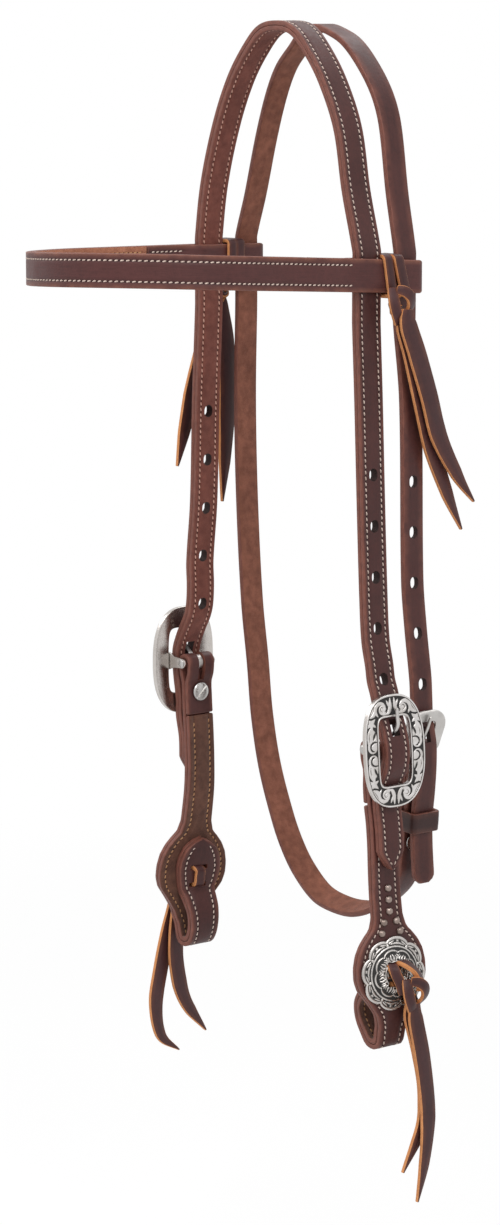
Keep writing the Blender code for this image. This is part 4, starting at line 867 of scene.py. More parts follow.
class Wiring:
    """Short ways to place and join the nodes of one tree."""

    def __init__(self, tree: bpy.types.NodeTree) -> None:
        """Take the tree to work in."""
        self.tree = tree

    def add(self, kind: str, values: dict[str | int, object] | None = None,
            **settings: object) -> bpy.types.Node:
        """Add a node.

        Args:
            kind: Type name of the node.
            values: Inputs by name or number, with their values or the sockets that feed them.
            settings: Properties of the node.

        Returns:
            The node.
        """
        node = self.tree.nodes.new(kind)
        for key, value in settings.items():
            setattr(node, key, value)
        self.fill(node, values or {})
        return node

    def fill(self, node: bpy.types.Node, values: dict[str | int, object]) -> None:
        """Set or link inputs of a node by name or number."""
        for key, value in values.items():
            self.feed(node.inputs[key], value)

    def feed(self, socket: bpy.types.NodeSocket, value: object) -> None:
        """Set a socket to a value or link it to another socket."""
        if isinstance(value, bpy.types.NodeSocket):
            self.tree.links.new(value, socket)
        else:
            socket.default_value = value

    def math(self, kind: str, first: object, second: object = 0.0) -> bpy.types.NodeSocket:
        """Work out one value from two.

        Args:
            kind: The operation.
            first: First value or socket.
            second: Second value or socket.

        Returns:
            The result's socket.
        """
        return self.add("ShaderNodeMath", {0: first, 1: second}, operation=kind).outputs[0]

    def total(self, *terms: tuple[object, float]) -> bpy.types.NodeSocket:
        """Add up values.

        Args:
            terms: Each value or socket with its share; one with the share 1 goes in as it is.

        Returns:
            The sum's socket.
        """
        found = None
        for value, share in terms:
            part = value if share == 1 else self.math("MULTIPLY", value, share)
            found = part if found is None else self.math("ADD", found, part)
        return found

    def blend(self, share: object, first: object, second: object) -> bpy.types.NodeSocket:
        """Mix two colours.

        Args:
            share: How much of the second shows.
            first: First colour.
            second: Second colour.

        Returns:
            The mixed colour's socket.
        """
        node = self.add("ShaderNodeMix", {0: share, 6: first, 7: second}, data_type="RGBA")
        return node.outputs[2]

    def spread(self, value: object, low: float, high: float, bottom: float = 0.0,
               top: float = 1.0) -> bpy.types.NodeSocket:
        """Stretch the span from low to high over bottom to top.

        Args:
            value: Value or socket to stretch.
            low: Start of the span read.
            high: End of the span read.
            bottom: Result at low.
            top: Result at high.

        Returns:
            The result's socket.
        """
        node = self.add("ShaderNodeMapRange", {"Value": value, "From Min": low, "From Max": high,
                                               "To Min": bottom, "To Max": top})
        return node.outputs[0]

    def noise(self, where: object, scale: float, detail: float = 4.0,
              rough: float = 0.5) -> bpy.types.NodeSocket:
        """Value noise over a coordinate.

        Args:
            where: Coordinate socket.
            scale: Waves per unit.
            detail: Octaves.
            rough: Weight of the finer octaves.

        Returns:
            The noise value's socket.
        """
        return self.add("ShaderNodeTexNoise", {"Vector": where, "Scale": scale,
                                               "Detail": detail, "Roughness": rough}).outputs[0]


@dataclass
class Effect:
    """A shader node group that several finishes share."""

    name: str
    inputs: tuple[str, ...]
    outputs: tuple[str, ...]
    fill: Callable[[Wiring, bpy.types.Node], dict[str, bpy.types.NodeSocket]]

    def group(self) -> bpy.types.NodeTree:
        """Build the group once, then hand out the same one.

        Returns:
            The group's tree.
        """
        made = bpy.data.node_groups.get(self.name)
        if made is not None:
            return made
        made = bpy.data.node_groups.new(self.name, "ShaderNodeTree")
        for way, names in (("INPUT", self.inputs), ("OUTPUT", self.outputs)):
            for key in names:
                made.interface.new_socket(key, in_out=way, socket_type="NodeSocketFloat")
        wiring = Wiring(made)
        results = self.fill(wiring, wiring.add("NodeGroupInput"))
        wiring.add("NodeGroupOutput", results)
        return made

    def use(self, wiring: Wiring, **values: float) -> bpy.types.Node:
        """Place the group in a material.

        Args:
            wiring: The material's wiring.
            values: Input values by name.

        Returns:
            The placed group node.
        """
        node = wiring.add("ShaderNodeGroup")
        node.node_tree = self.group()
        wiring.fill(node, values)
        return node


def fill_pebble(w: Wiring, given: bpy.types.Node) -> dict[str, bpy.types.NodeSocket]:
    """Fine pebbled hide: small cells, pores and broad cloudy patches."""
    where = w.add("ShaderNodeTexCoord").outputs["Object"]
    bent = w.add("ShaderNodeTexNoise", {"Vector": where, "Scale": 180.0, "Detail": 2.0})
    sway = (1.6 * MM, 1.6 * MM, 1.6 * MM)
    shift = w.add("ShaderNodeVectorMath", {0: bent.outputs["Color"], 1: sway, 2: where},
                  operation="MULTIPLY_ADD")
    cells = w.add("ShaderNodeTexVoronoi", {"Vector": shift.outputs[0],
                                           "Scale": given.outputs["Scale"]},
                  feature="SMOOTH_F1")
    pores = w.noise(where, 2600.0, 2.0)
    height = w.total((cells.outputs["Distance"], 0.9), (pores, 0.35))
    broad = w.noise(where, 38.0, 5.0, 0.6)
    fine = w.noise(where, 420.0, 3.0)
    patch = w.total((w.spread(broad, 0.3, 0.7), 0.65), (w.spread(fine, 0.3, 0.7), 0.35))
    return {"Height": height, "Patch": patch, "Fine": w.spread(fine, 0.35, 0.7)}


def fill_nap(w: Wiring, given: bpy.types.Node) -> dict[str, bpy.types.NodeSocket]:
    """Short raised fibres of a flesh side or suede."""
    where = w.add("ShaderNodeTexCoord").outputs["Object"]
    fibres = w.add("ShaderNodeTexNoise", {"Vector": where, "Scale": given.outputs["Scale"],
                                          "Detail": 6.0, "Roughness": 0.75, "Distortion": 1.2})
    tufts = w.noise(where, 260.0, 3.0)
    broad = w.noise(where, 45.0, 4.0)
    height = w.total((fibres.outputs[0], 1), (tufts, 0.6))
    shade = w.total((w.spread(fibres.outputs[0], 0.3, 0.7), 0.45),
                    (w.spread(tufts, 0.3, 0.7), 0.55))
    return {"Height": height, "Shade": shade, "Broad": w.spread(broad, 0.3, 0.7)}


def fill_wear_and_groove_shade(w: Wiring, given: bpy.types.Node) -> dict[str, bpy.types.NodeSocket]:
    """Rubbed edges broken up by noise, and painted shade along the pressed sewn rows."""
    where = w.add("ShaderNodeTexCoord").outputs["Object"]
    edge = w.add("ShaderNodeAttribute", attribute_name="wear").outputs["Fac"]
    # dip marks the pressed sewn rows, which the finishes darken as painted shade
    groove = w.add("ShaderNodeAttribute", attribute_name="dip").outputs["Fac"]
    patches = w.spread(w.noise(where, 140.0, 4.0, 0.6), 0.34, 0.62)
    rubbed = w.math("MULTIPLY", edge, w.total((patches, 0.75), (0.25, 1)))
    worn = w.math("MULTIPLY", rubbed, given.outputs["Amount"])
    return {"Worn": worn, "Groove": groove}


def fill_strokes(w: Wiring, given: bpy.types.Node) -> dict[str, bpy.types.NodeSocket]:
    """Fine lines along a strap or along brushed metal, read from its flat pattern."""
    flat = w.add("ShaderNodeUVMap", uv_map="flat").outputs[0]
    scale = w.add("ShaderNodeCombineXYZ", {"X": given.outputs["Across"],
                                           "Y": given.outputs["Along"], "Z": 1.0})
    stretched = w.add("ShaderNodeVectorMath", {0: flat, 1: scale.outputs[0]},
                      operation="MULTIPLY")
    lines = w.noise(stretched.outputs[0], 1.0, 5.0, 0.65)
    return {"Lines": w.spread(lines, 0.32, 0.68)}


def fill_smudge(w: Wiring, given: bpy.types.Node) -> dict[str, bpy.types.NodeSocket]:
    """Handling marks and fine scratches that vary the shine."""
    where = w.add("ShaderNodeTexCoord").outputs["Object"]
    cloud = w.spread(w.noise(where, given.outputs["Scale"], 5.0, 0.6), 0.3, 0.7)
    scratch = w.add("ShaderNodeTexNoise", {"Vector": where, "Scale": 520.0, "Detail": 2.0,
                                           "Distortion": 3.0}).outputs[0]
    return {"Cloud": cloud, "Scratch": w.spread(scratch, 0.46, 0.54)}


PEBBLE = Effect("pebbled hide", ("Scale",), ("Height", "Patch", "Fine"), fill_pebble)
NAP = Effect("raised nap", ("Scale",), ("Height", "Shade", "Broad"), fill_nap)
WEAR_AND_GROOVE_SHADE = Effect("edge wear and groove shade", ("Amount",), ("Worn", "Groove"), fill_wear_and_groove_shade)
STROKES = Effect("drawn lines", ("Across", "Along"), ("Lines",), fill_strokes)
SMUDGE = Effect("handling marks", ("Scale",), ("Cloud", "Scratch"), fill_smudge)


@dataclass(frozen=True)
class Finish:
    """A surface finish that makes its material once."""

    name: str

    def material(self) -> bpy.types.Material:
        """Make the material, or hand out the one made before.

        Returns:
            The material.
        """
        made = bpy.data.materials.get(self.name)
        if made is None:
            made = bpy.data.materials.new(self.name)
            made.use_nodes = True
            shader = made.node_tree.nodes["Principled BSDF"]
            self.wire(Wiring(made.node_tree), shader)
        return made

    def wire(self, w: Wiring, shader: bpy.types.Node) -> None:
        """Feed the shader; each finish has its own way."""
        raise NotImplementedError

    def bump(self, w: Wiring, shader: bpy.types.Node, height: object, depth: float) -> None:
        """Raise the surface by a height socket.

        Args:
            w: The material's wiring.
            shader: The shader to feed.
            height: Height socket from 0 to 1.
            depth: Depth in metres.
        """
        node = w.add("ShaderNodeBump", {"Height": height, "Distance": depth, "Strength": 1.0})
        w.fill(shader, {"Normal": node.outputs[0]})


@dataclass(frozen=True)
class Hide(Finish):
    """Grain side of dyed leather: pores, broad patches, worn edges, painted shade in sewn rows."""

    light: tuple[float, ...]
    deep: tuple[float, ...]
    rubbed: tuple[float, ...]
    wear: float = 0.8
    cell: float = 1050.0
    depth: float = 0.10 * MM
    shine: float = 0.42
    gloss: float = 0.30
    streaks: float = 0.35

    def wire(self, w: Wiring, shader: bpy.types.Node) -> None:
        """Mix the dye, rub the edges, paint shade into the sewn rows and raise the grain."""
        grain = PEBBLE.use(w, Scale=self.cell)
        edges = WEAR_AND_GROOVE_SHADE.use(w, Amount=self.wear)
        lines = STROKES.use(w, Across=1400.0, Along=90.0)
        marks = SMUDGE.use(w, Scale=55.0)
        base = w.blend(grain.outputs["Patch"], self.deep, self.light)
        streak = w.math("MULTIPLY", lines.outputs["Lines"], self.streaks)
        base = w.blend(streak, base, self.light)
        # painted shade: the pressed sewn rows are darkened towards a deep brown
        base = w.blend(w.math("MULTIPLY", edges.outputs["Groove"], 0.6), base,
                       darker(self.deep, 0.5))
        base = w.blend(edges.outputs["Worn"], base, self.rubbed)
        rough = w.total((marks.outputs["Cloud"], 0.16), (self.shine, 1),
                        (grain.outputs["Fine"], 0.08))
        w.fill(shader, {"Base Color": base, "Roughness": rough,
                        "Specular IOR Level": self.gloss})
        height = w.total((grain.outputs["Height"], 1),
                         (lines.outputs["Lines"], self.streaks * 0.5))
        self.bump(w, shader, height, self.depth)


@dataclass(frozen=True)
class Nap(Finish):
    """Flesh side or suede: matt, fibrous, darker where it is handled."""

    light: tuple[float, ...]
    deep: tuple[float, ...]
    rubbed: tuple[float, ...]
    wear: float = 0.5
    fibre: float = 1700.0
    depth: float = 0.22 * MM
    matt: float = 0.78
    gloss: float = 0.18
    sheen: float = 0.12
    sheen_rough: float = 0.45

    def wire(self, w: Wiring, shader: bpy.types.Node) -> None:
        """Mix the fibres, paint shade into the sewn rows and raise them."""
        nap = NAP.use(w, Scale=self.fibre)
        edges = WEAR_AND_GROOVE_SHADE.use(w, Amount=self.wear)
        base = w.blend(nap.outputs["Shade"], self.deep, self.light)
        dark = darker(self.deep, 0.6)
        base = w.blend(w.math("MULTIPLY", nap.outputs["Broad"], 0.35), base, dark)
        # painted shade: the pressed sewn rows are darkened a little
        base = w.blend(w.math("MULTIPLY", edges.outputs["Groove"], 0.3), base, dark)
        base = w.blend(edges.outputs["Worn"], base, self.rubbed)
        w.fill(shader, {"Base Color": base,
                        "Roughness": w.total((nap.outputs["Shade"], 0.12), (self.matt, 1)),
                        "Specular IOR Level": self.gloss, "Sheen Weight": self.sheen,
                        "Sheen Roughness": self.sheen_rough})
        self.bump(w, shader, nap.outputs["Height"], self.depth)


@dataclass(frozen=True)
class CutEdge(Finish):
    """Cut edge of leather: fibrous layers, burnished or raw."""

    light: tuple[float, ...]
    deep: tuple[float, ...]
    shine: float = 0.55
    gloss: float = 0.3
    depth: float = 0.12 * MM

    def wire(self, w: Wiring, shader: bpy.types.Node) -> None:
        """Lay the fibres along the edge."""
        lines = STROKES.use(w, Across=2600.0, Along=240.0)
        nap = NAP.use(w, Scale=2300.0)
        tone = w.total((lines.outputs["Lines"], 0.55), (nap.outputs["Shade"], 0.45))
        w.fill(shader, {"Base Color": w.blend(tone, self.deep, self.light),
                        "Roughness": w.total((tone, 0.2), (self.shine, 1)),
                        "Specular IOR Level": self.gloss})
        self.bump(w, shader, tone, self.depth)


@dataclass(frozen=True)
class Thread(Finish):
    """Waxed twisted sewing thread, soiled here and there."""

    light: tuple[float, ...]
    deep: tuple[float, ...]
    shine: float = 0.5
    gloss: float = 0.35
    depth: float = 0.08 * MM

    def wire(self, w: Wiring, shader: bpy.types.Node) -> None:
        """Twist the thread and soil it."""
        flat = w.add("ShaderNodeUVMap", uv_map="flat").outputs[0]
        twist = w.add("ShaderNodeTexWave", {"Vector": flat, "Scale": 420.0, "Distortion": 1.5,
                                            "Detail": 1.0}, bands_direction="DIAGONAL")
        marks = SMUDGE.use(w, Scale=150.0)
        shade = w.total((twist.outputs["Fac"], 0.45), (marks.outputs["Cloud"], 0.55))
        w.fill(shader, {"Base Color": w.blend(shade, self.deep, self.light),
                        "Roughness": w.total((shade, 0.15), (self.shine, 1)),
                        "Specular IOR Level": self.gloss})
        self.bump(w, shader, twist.outputs["Fac"], self.depth)


@dataclass(frozen=True)
class Engraved(Finish):
    """Antique silver over a blackened ground, told apart by the silver mark."""

    bright: tuple[float, ...] = tint(243, 240, 236)
    tarnish: tuple[float, ...] = tint(150, 140, 128)
    ground: tuple[float, ...] = tint(22, 19, 18)
    shine: float = 0.24
    matt: float = 0.62
    depth: float = 0.02 * MM

    def wire(self, w: Wiring, shader: bpy.types.Node) -> None:
        """Blacken the ground and tarnish the silver next to it."""
        mark = w.add("ShaderNodeAttribute", attribute_name="silver").outputs["Fac"]
        marks = SMUDGE.use(w, Scale=120.0)
        lines = STROKES.use(w, Across=2600.0, Along=2600.0)
        silver = w.spread(mark, 0.35, 0.65)
        stain = w.math("MULTIPLY", marks.outputs["Cloud"], 0.45)
        base = w.blend(stain, self.bright, self.tarnish)
        base = w.blend(w.spread(mark, 0.62, 0.92, 0.75, 0.0), base, self.tarnish)
        base = w.blend(silver, self.ground, base)
        bare = w.total((marks.outputs["Cloud"], 0.14), (self.shine, 1))
        rough = w.add("ShaderNodeMix", {0: silver, 2: self.matt, 3: bare}, data_type="FLOAT")
        w.fill(shader, {"Base Color": base, "Metallic": silver, "Roughness": rough.outputs[0]})
        height = w.total((lines.outputs["Lines"], 0.5), (marks.outputs["Scratch"], 1))
        self.bump(w, shader, height, self.depth)


@dataclass(frozen=True)
class Metal(Finish):
    """Plain metal, brushed or polished, with handling marks."""

    light: tuple[float, ...]
    dull: tuple[float, ...]
    shine: float = 0.22
    brushed: float = 0.03 * MM
    across: float = 5200.0
    along: float = 130.0
    stain: float = 0.5

    def wire(self, w: Wiring, shader: bpy.types.Node) -> None:
        """Brush the metal and dull it in patches."""
        lines = STROKES.use(w, Across=self.across, Along=self.along)
        marks = SMUDGE.use(w, Scale=90.0)
        stain = w.math("MULTIPLY", marks.outputs["Cloud"], self.stain)
        base = w.blend(stain, self.light, self.dull)
        rough = w.total((marks.outputs["Cloud"], 0.14), (self.shine, 1),
                        (lines.outputs["Lines"], 0.08))
        w.fill(shader, {"Base Color": base, "Metallic": 1.0, "Roughness": rough})
        self.bump(w, shader, lines.outputs["Lines"], self.brushed)


STRAP = Hide("strap grain", tint(78, 43, 40), tint(50, 25, 24), tint(134, 82, 68), depth=0.05 * MM,
             shine=0.36)
BAND = Hide("browband grain", tint(86, 48, 46), tint(58, 30, 29), tint(150, 98, 78),
            depth=0.05 * MM, streaks=0.6, shine=0.38)
# painted shade: a darker copy of the strap grain, for leather that lies in shade
SHADED_TAB_GRAIN = Hide("tab grain in painted shade", tint(60, 36, 34), tint(40, 22, 21), tint(104, 64, 52), shine=0.36,
              depth=0.06 * MM)
THONG_FACE = Hide("thong grain", tint(74, 42, 42), tint(47, 24, 25), tint(150, 90, 60),
                  cell=1500.0, depth=0.04 * MM, shine=0.36, wear=0.4)
FLESH = Nap("strap flesh", tint(138, 84, 72), tint(94, 52, 45), tint(128, 80, 68))
TAN = Nap("browband lining flesh", tint(194, 132, 104), tint(140, 86, 64), tint(160, 104, 78))
SUEDE = Nap("suede lining", tint(116, 78, 62), tint(70, 43, 34), tint(92, 58, 48), sheen=0.3,
            fibre=1300.0)
THROAT_FLESH = Nap("throatlatch flesh", tint(160, 104, 84), tint(102, 60, 47), tint(120, 76, 60))
THONG_FLESH = Nap("thong flesh", tint(196, 130, 80), tint(138, 82, 48), tint(205, 138, 84),
                  wear=0.8)
BURNISHED = CutEdge("burnished edge", tint(136, 84, 70), tint(76, 40, 34), shine=0.38)
RAW = CutEdge("raw thong edge", tint(226, 160, 104), tint(168, 102, 60), shine=0.62)
CREAM = Thread("cream thread", tint(222, 202, 190), tint(162, 138, 126))
BLUSH = Thread("pinkish thread", tint(222, 176, 158), tint(168, 122, 106))
AMBER = Thread("tan thread", tint(196, 150, 108), tint(142, 98, 66))
# painted shade: near-black blocks stand for the shade inside the needle holes
NEEDLE_HOLE_SHADE = CutEdge("needle hole shade", tint(34, 18, 15), tint(18, 9, 8), shine=0.7)
ENGRAVED = Engraved("engraved silver", bright=tint(224, 221, 220))
ANTIQUE = Engraved("antique silver", bright=tint(210, 206, 202), tarnish=tint(112, 104, 97),
                   shine=0.2)
# painted shade: the walls of punched holes are coloured nearly black
HOLE_WALL_SHADE = CutEdge("punched walls", tint(54, 28, 24), tint(26, 13, 11), shine=0.6)
POLISHED = Metal("polished back", tint(205, 200, 196), tint(150, 138, 128), shine=0.14,
                 brushed=0.01 * MM, stain=0.35)
BRUSHED = Metal("brushed silver", tint(206, 203, 200), tint(160, 156, 152), shine=0.28)
STEEL = Metal("screw steel", tint(196, 194, 192), tint(140, 136, 132), shine=0.16,
              brushed=0.012 * MM)
NICKEL = Metal("aged nickel", tint(172, 156, 148), tint(104, 88, 80), shine=0.24,
               brushed=0.012 * MM, stain=0.8)


THONG_SIDES = (THONG_FACE, RAW, THONG_FLESH)


def look(*finishes: Finish) -> Finishes:
    """Materials of some finishes, in order."""
    return tuple(finish.material() for finish in finishes)


@dataclass(frozen=True)
class Side:
    """One side of the head: how its cheek piece hangs and where its straps run.

    The buckle bar lies drop below the poll. shift is how far the cheek piece's lower end lies
    back, knot the same for the concho's knot, and hole the height of the hole in use above the
    bar. The tables hold shares of named lengths, as in the part's own source.
    """

    name: str
    sign: int
    drop: float
    shift: float
    knot: float
    hole: float
    cheek: Table
    strap: Table
    lower: Table
    loop: Table
    leg: Pair
    lean: Pair
    brow_tails: tuple[Table, Table]
    concho_tails: tuple[Table, Table]

    def point(self, out: float, back: float, up: float) -> Vector:
        """World point from distances outwards, back and up from the buckle bar."""
        return Vector((self.sign * (BUCKLE_SPREAD + out), back, up - self.drop))

    def place(self, u: float, v: float, w: float) -> Vector:
        """World point of a plate drawn outwards and up, w along the bar."""
        return self.point(u, w, v)

    def middle(self, height: float) -> float:
        """How far the cheek piece's middle stands out at a height below the bar."""
        rows = [(down * CHEEK_LENGTH, out * CHEEK_LENGTH) for out, down in self.cheek]
        return read_shares(rows, height)

    def sway(self, height: float) -> float:
        """Share of the lower end's turn and shift that is reached at a height."""
        return clamp((height / CHEEK_LENGTH - SWAY_START) / SWAY_OVER)

    def turn(self, height: float) -> float:
        """How far the cheek piece is turned about its length at a height."""
        fade = clamp((height / CHEEK_LENGTH - FADE_START) / FADE_OVER)
        return self.sign * CHEEK_TURN * self.sway(height) * fade

    def frame_at(self, height: float, across: float) -> tuple[Vector, Vector, Vector, Vector]:
        """Place and directions on the cheek piece.

        Args:
            height: Height from the bar, below zero.
            across: Distance from the middle line.

        Returns:
            The point, and the outward, across and along directions.
        """
        step = 5.8 * MM
        slope = (self.middle(height + step) - self.middle(height - step)) / (2 * step)
        along = Vector((self.sign * slope, 0, 1)).normalized()
        flat = Vector((self.sign, 0, -slope)).normalized()
        angle = self.turn(height)
        out = flat * math.cos(angle) - Y_AXIS * math.sin(angle)
        wide = Y_AXIS * math.cos(angle) + flat * math.sin(angle)
        middle = self.point(self.middle(height), self.shift * self.sway(height), height)
        return middle + wide * across, out, wide, along


NEAR = Side(
    "near", 1, 340.8 * MM, 2.2 * MM, 7.0 * MM, 8.4 * MM,
    cheek=((0.000, -0.070), (0.000, -0.135), (0.005, -0.186), (0.015, -0.243),
           (0.022, -0.311), (0.0245, -0.392), (0.0265, -0.493), (0.032, -0.581),
           (0.0385, -0.676), (0.0455, -0.770), (0.053, -0.838), (0.056, -0.892),
           (0.047, -0.940)),
    strap=((0.02, 1.45), (0.16, 1.20), (0.41, 1.00), (0.61, 0.80), (0.78, 0.61),
           (1.14, 0.33), (1.40, 0.0), (1.30, -0.30)),
    lower=((0.877, -0.510), (0.908, -0.660), (0.939, -0.790), (0.962, -0.848)),
    loop=((-0.022, -0.957), (-0.046, -0.915), (-0.050, -0.872), (-0.030, -0.835)),
    leg=(0.868, -0.220), lean=(0.03, 0.045),
    brow_tails=(((0.0, 0.0), (0.06, -0.15), (0.135, -0.35), (0.20, -0.545), (0.32, -0.74),
                 (0.42, -0.865)),
                ((0.0, 0.0), (0.06, -0.17), (0.12, -0.38), (0.185, -0.60), (0.28, -0.82),
                 (0.37, -0.995))),
    concho_tails=(((0.0, 0.0), (0.05, -0.22), (0.087, -0.45), (0.094, -0.60), (0.070, -0.80),
                   (0.025, -0.99)),
                  ((0.0, 0.0), (0.060, -0.20), (0.102, -0.42), (0.085, -0.60),
                   (-0.045, -0.83))))
FAR = Side(
    "far", -1, 318.3 * MM, 0.5 * MM, -2.0 * MM, 6.3 * MM,
    cheek=((0.000, -0.070), (-0.002, -0.135), (-0.007, -0.196), (-0.012, -0.270),
           (-0.015, -0.358), (-0.011, -0.440), (0.003, -0.527), (0.019, -0.608),
           (0.033, -0.690), (0.0445, -0.770), (0.053, -0.838), (0.056, -0.892),
           (0.047, -0.940)),
    strap=((-0.36, 1.45), (-0.28, 1.09), (-0.06, 0.87), (0.34, 0.655), (0.71, 0.436),
           (0.98, 0.218), (1.0, 0.0), (0.92, -0.27)),
    lower=((0.888, -0.578), (0.915, -0.739), (0.960, -0.836)),
    loop=((-0.020, -0.956), (-0.029, -0.915), (-0.025, -0.872), (-0.009, -0.838)),
    leg=(0.925, -0.236), lean=(0.0, 0.0),
    brow_tails=(((0.0, 0.0), (-0.06, -0.20), (-0.12, -0.38), (-0.17, -0.55), (-0.235, -0.80)),
                ((0.0, 0.0), (0.04, -0.20), (0.05, -0.42), (0.045, -0.65), (0.02, -0.99))),
    concho_tails=(((0.0, 0.0), (-0.05, -0.16), (-0.10, -0.35), (-0.135, -0.55),
                   (-0.10, -0.73), (0.02, -0.83)),
                  ((0.0, 0.0), (-0.02, -0.16), (-0.02, -0.33), (0.035, -0.54),
                   (0.18, -0.74))))
BRACE_SHARES = (-1.40, -1.15, 0.45, 0.72)


def brow_height(x: float, y: float) -> float:
    """Height of the browband's middle, which leans a little to the near side and rear."""
    warp = BROW_WARP * y * x / LEG_SPREAD
    return -BROW_DROP - BROW_LEAN[0] * x - BROW_LEAN[1] * y - warp


def braced(sign: int, back: float) -> list[Vector]:
    """Points of a strap where the browband holds it, upwards."""
    middle = brow_height(sign * LEG_SPREAD, back)
    return [Vector((sign * LEG_SPREAD, back, middle + share * BROW_WIDTH))
            for share in BRACE_SHARES]


def at_height(run: Sequence[Vector], height: float, part: slice) -> tuple[Vector, Vector]:
    """Point and direction of a run at a height.

    Args:
        run: Points of the line.
        height: Height to find.
        part: Slice of the run to search.

    Returns:
        The point and the unit direction there.
    """
    places = list(range(len(run))[part])
    for first, second in zip(places, places[1:]):
        low, high = run[first], run[second]
        if (low.z - height) * (high.z - height) <= 0 and low.z != high.z:
            share = (height - low.z) / (high.z - low.z)
            return low.lerp(high, share), (high - low).normalized()
    near = min(places[:-1], key=lambda i: abs(run[i].z - height))
    return run[near], (run[near + 1] - run[near]).normalized()


def punch(centre: Vector, travel: Vector, side: Vector, depth: float = 4.0 * MM) -> Shell:
    """Cutter for one oblong buckle hole, square to the leather.

    Args:
        centre: Middle of the hole.
        travel: Direction along the strap.
        side: Direction across it.
        depth: How far the cutter reaches to each side.

    Returns:
        The cutter's shell.
    """
    out = side.cross(travel).normalized()
    half, straight = HOLE_WIDTH / 2, (HOLE_LENGTH - HOLE_WIDTH) / 2
    outline = [(x * end, (y + straight) * end) for end in (1, -1) for x, y in half_circle(half)]
    return prism(outline, lambda u, v, w: centre + side * u + travel * v + out * w,
                 (-depth, depth))


def hole_row(run: Sequence[Vector], part: slice, first: float) -> list[Shell]:
    """Cutters for a row of buckle holes, counted upwards.

    Args:
        run: Line of the strap.
        part: Slice of the run with the row.
        first: Height of the hole in use.

    Returns:
        The cutters.
    """
    places = [at_height(run, first + (k + 1) * HOLE_PITCH, part) for k in range(HOLE_COUNT)]
    return [punch(centre, travel, Y_AXIS) for centre, travel in places]


def tip_halves(run: Sequence[Vector], width: float, both: bool, blunt: float = 0.12,
               reach: float = 9.0 * MM) -> list[float]:
    """Half widths of a strap that comes to a blunt point.

    Args:
        run: Line of the strap.
        width: Its full width.
        both: Whether the far end is pointed too.
        blunt: Share of the width that is left at the tip.
        reach: Length of the point.

    Returns:
        One half width for each point.
    """
    along = travelled(run)
    halves = []
    for place in along:
        left = min(place, along[-1] - place) if both else place
        halves.append(width / 2 * (blunt + (1 - blunt) * min(left / reach, 1.0) ** 0.8))
    return halves


def cheek_tongue_line() -> list[Pair]:
    """Middle of the cheek buckle's tongue, from the bar to its tip."""
    reach = FRAME_HEIGHT / 2
    rest = FRAME_STAND + FRAME_THICK / 2 + GAP + TONGUE_THICK / 2
    lip = WINDOW_HEIGHT / 2
    end = lip + (reach - lip) * 0.42
    return [(rest * 0.34, lip * 0.20), (rest * 0.62, lip * 0.40), (rest * 0.86, lip * 0.58),
            (rest * 1.0, lip * 0.80), (rest - FRAME_BOW * (lip / reach) ** 2, lip),
            (rest - FRAME_BOW * (end / reach) ** 2, end)]


def tongue_cutter(start: Vector, stop: Vector, drop: float, halves: Sequence[float]) -> Shell:
    """Cutter for the hole in use, drawn along the tongue.

    Args:
        start: Start of the tongue's arm.
        stop: Where the arm meets the frame.
        drop: How far the hole reaches below the arm.
        halves: Half lengths along, across and below.

    Returns:
        The cutter's shell.
    """
    travel = (stop - start).normalized()
    down = Y_AXIS.cross(travel).normalized()
    if down.z > 0:
        down = -down
    return block((start + stop) / 2 + down * drop, (travel, Y_AXIS, down), halves)


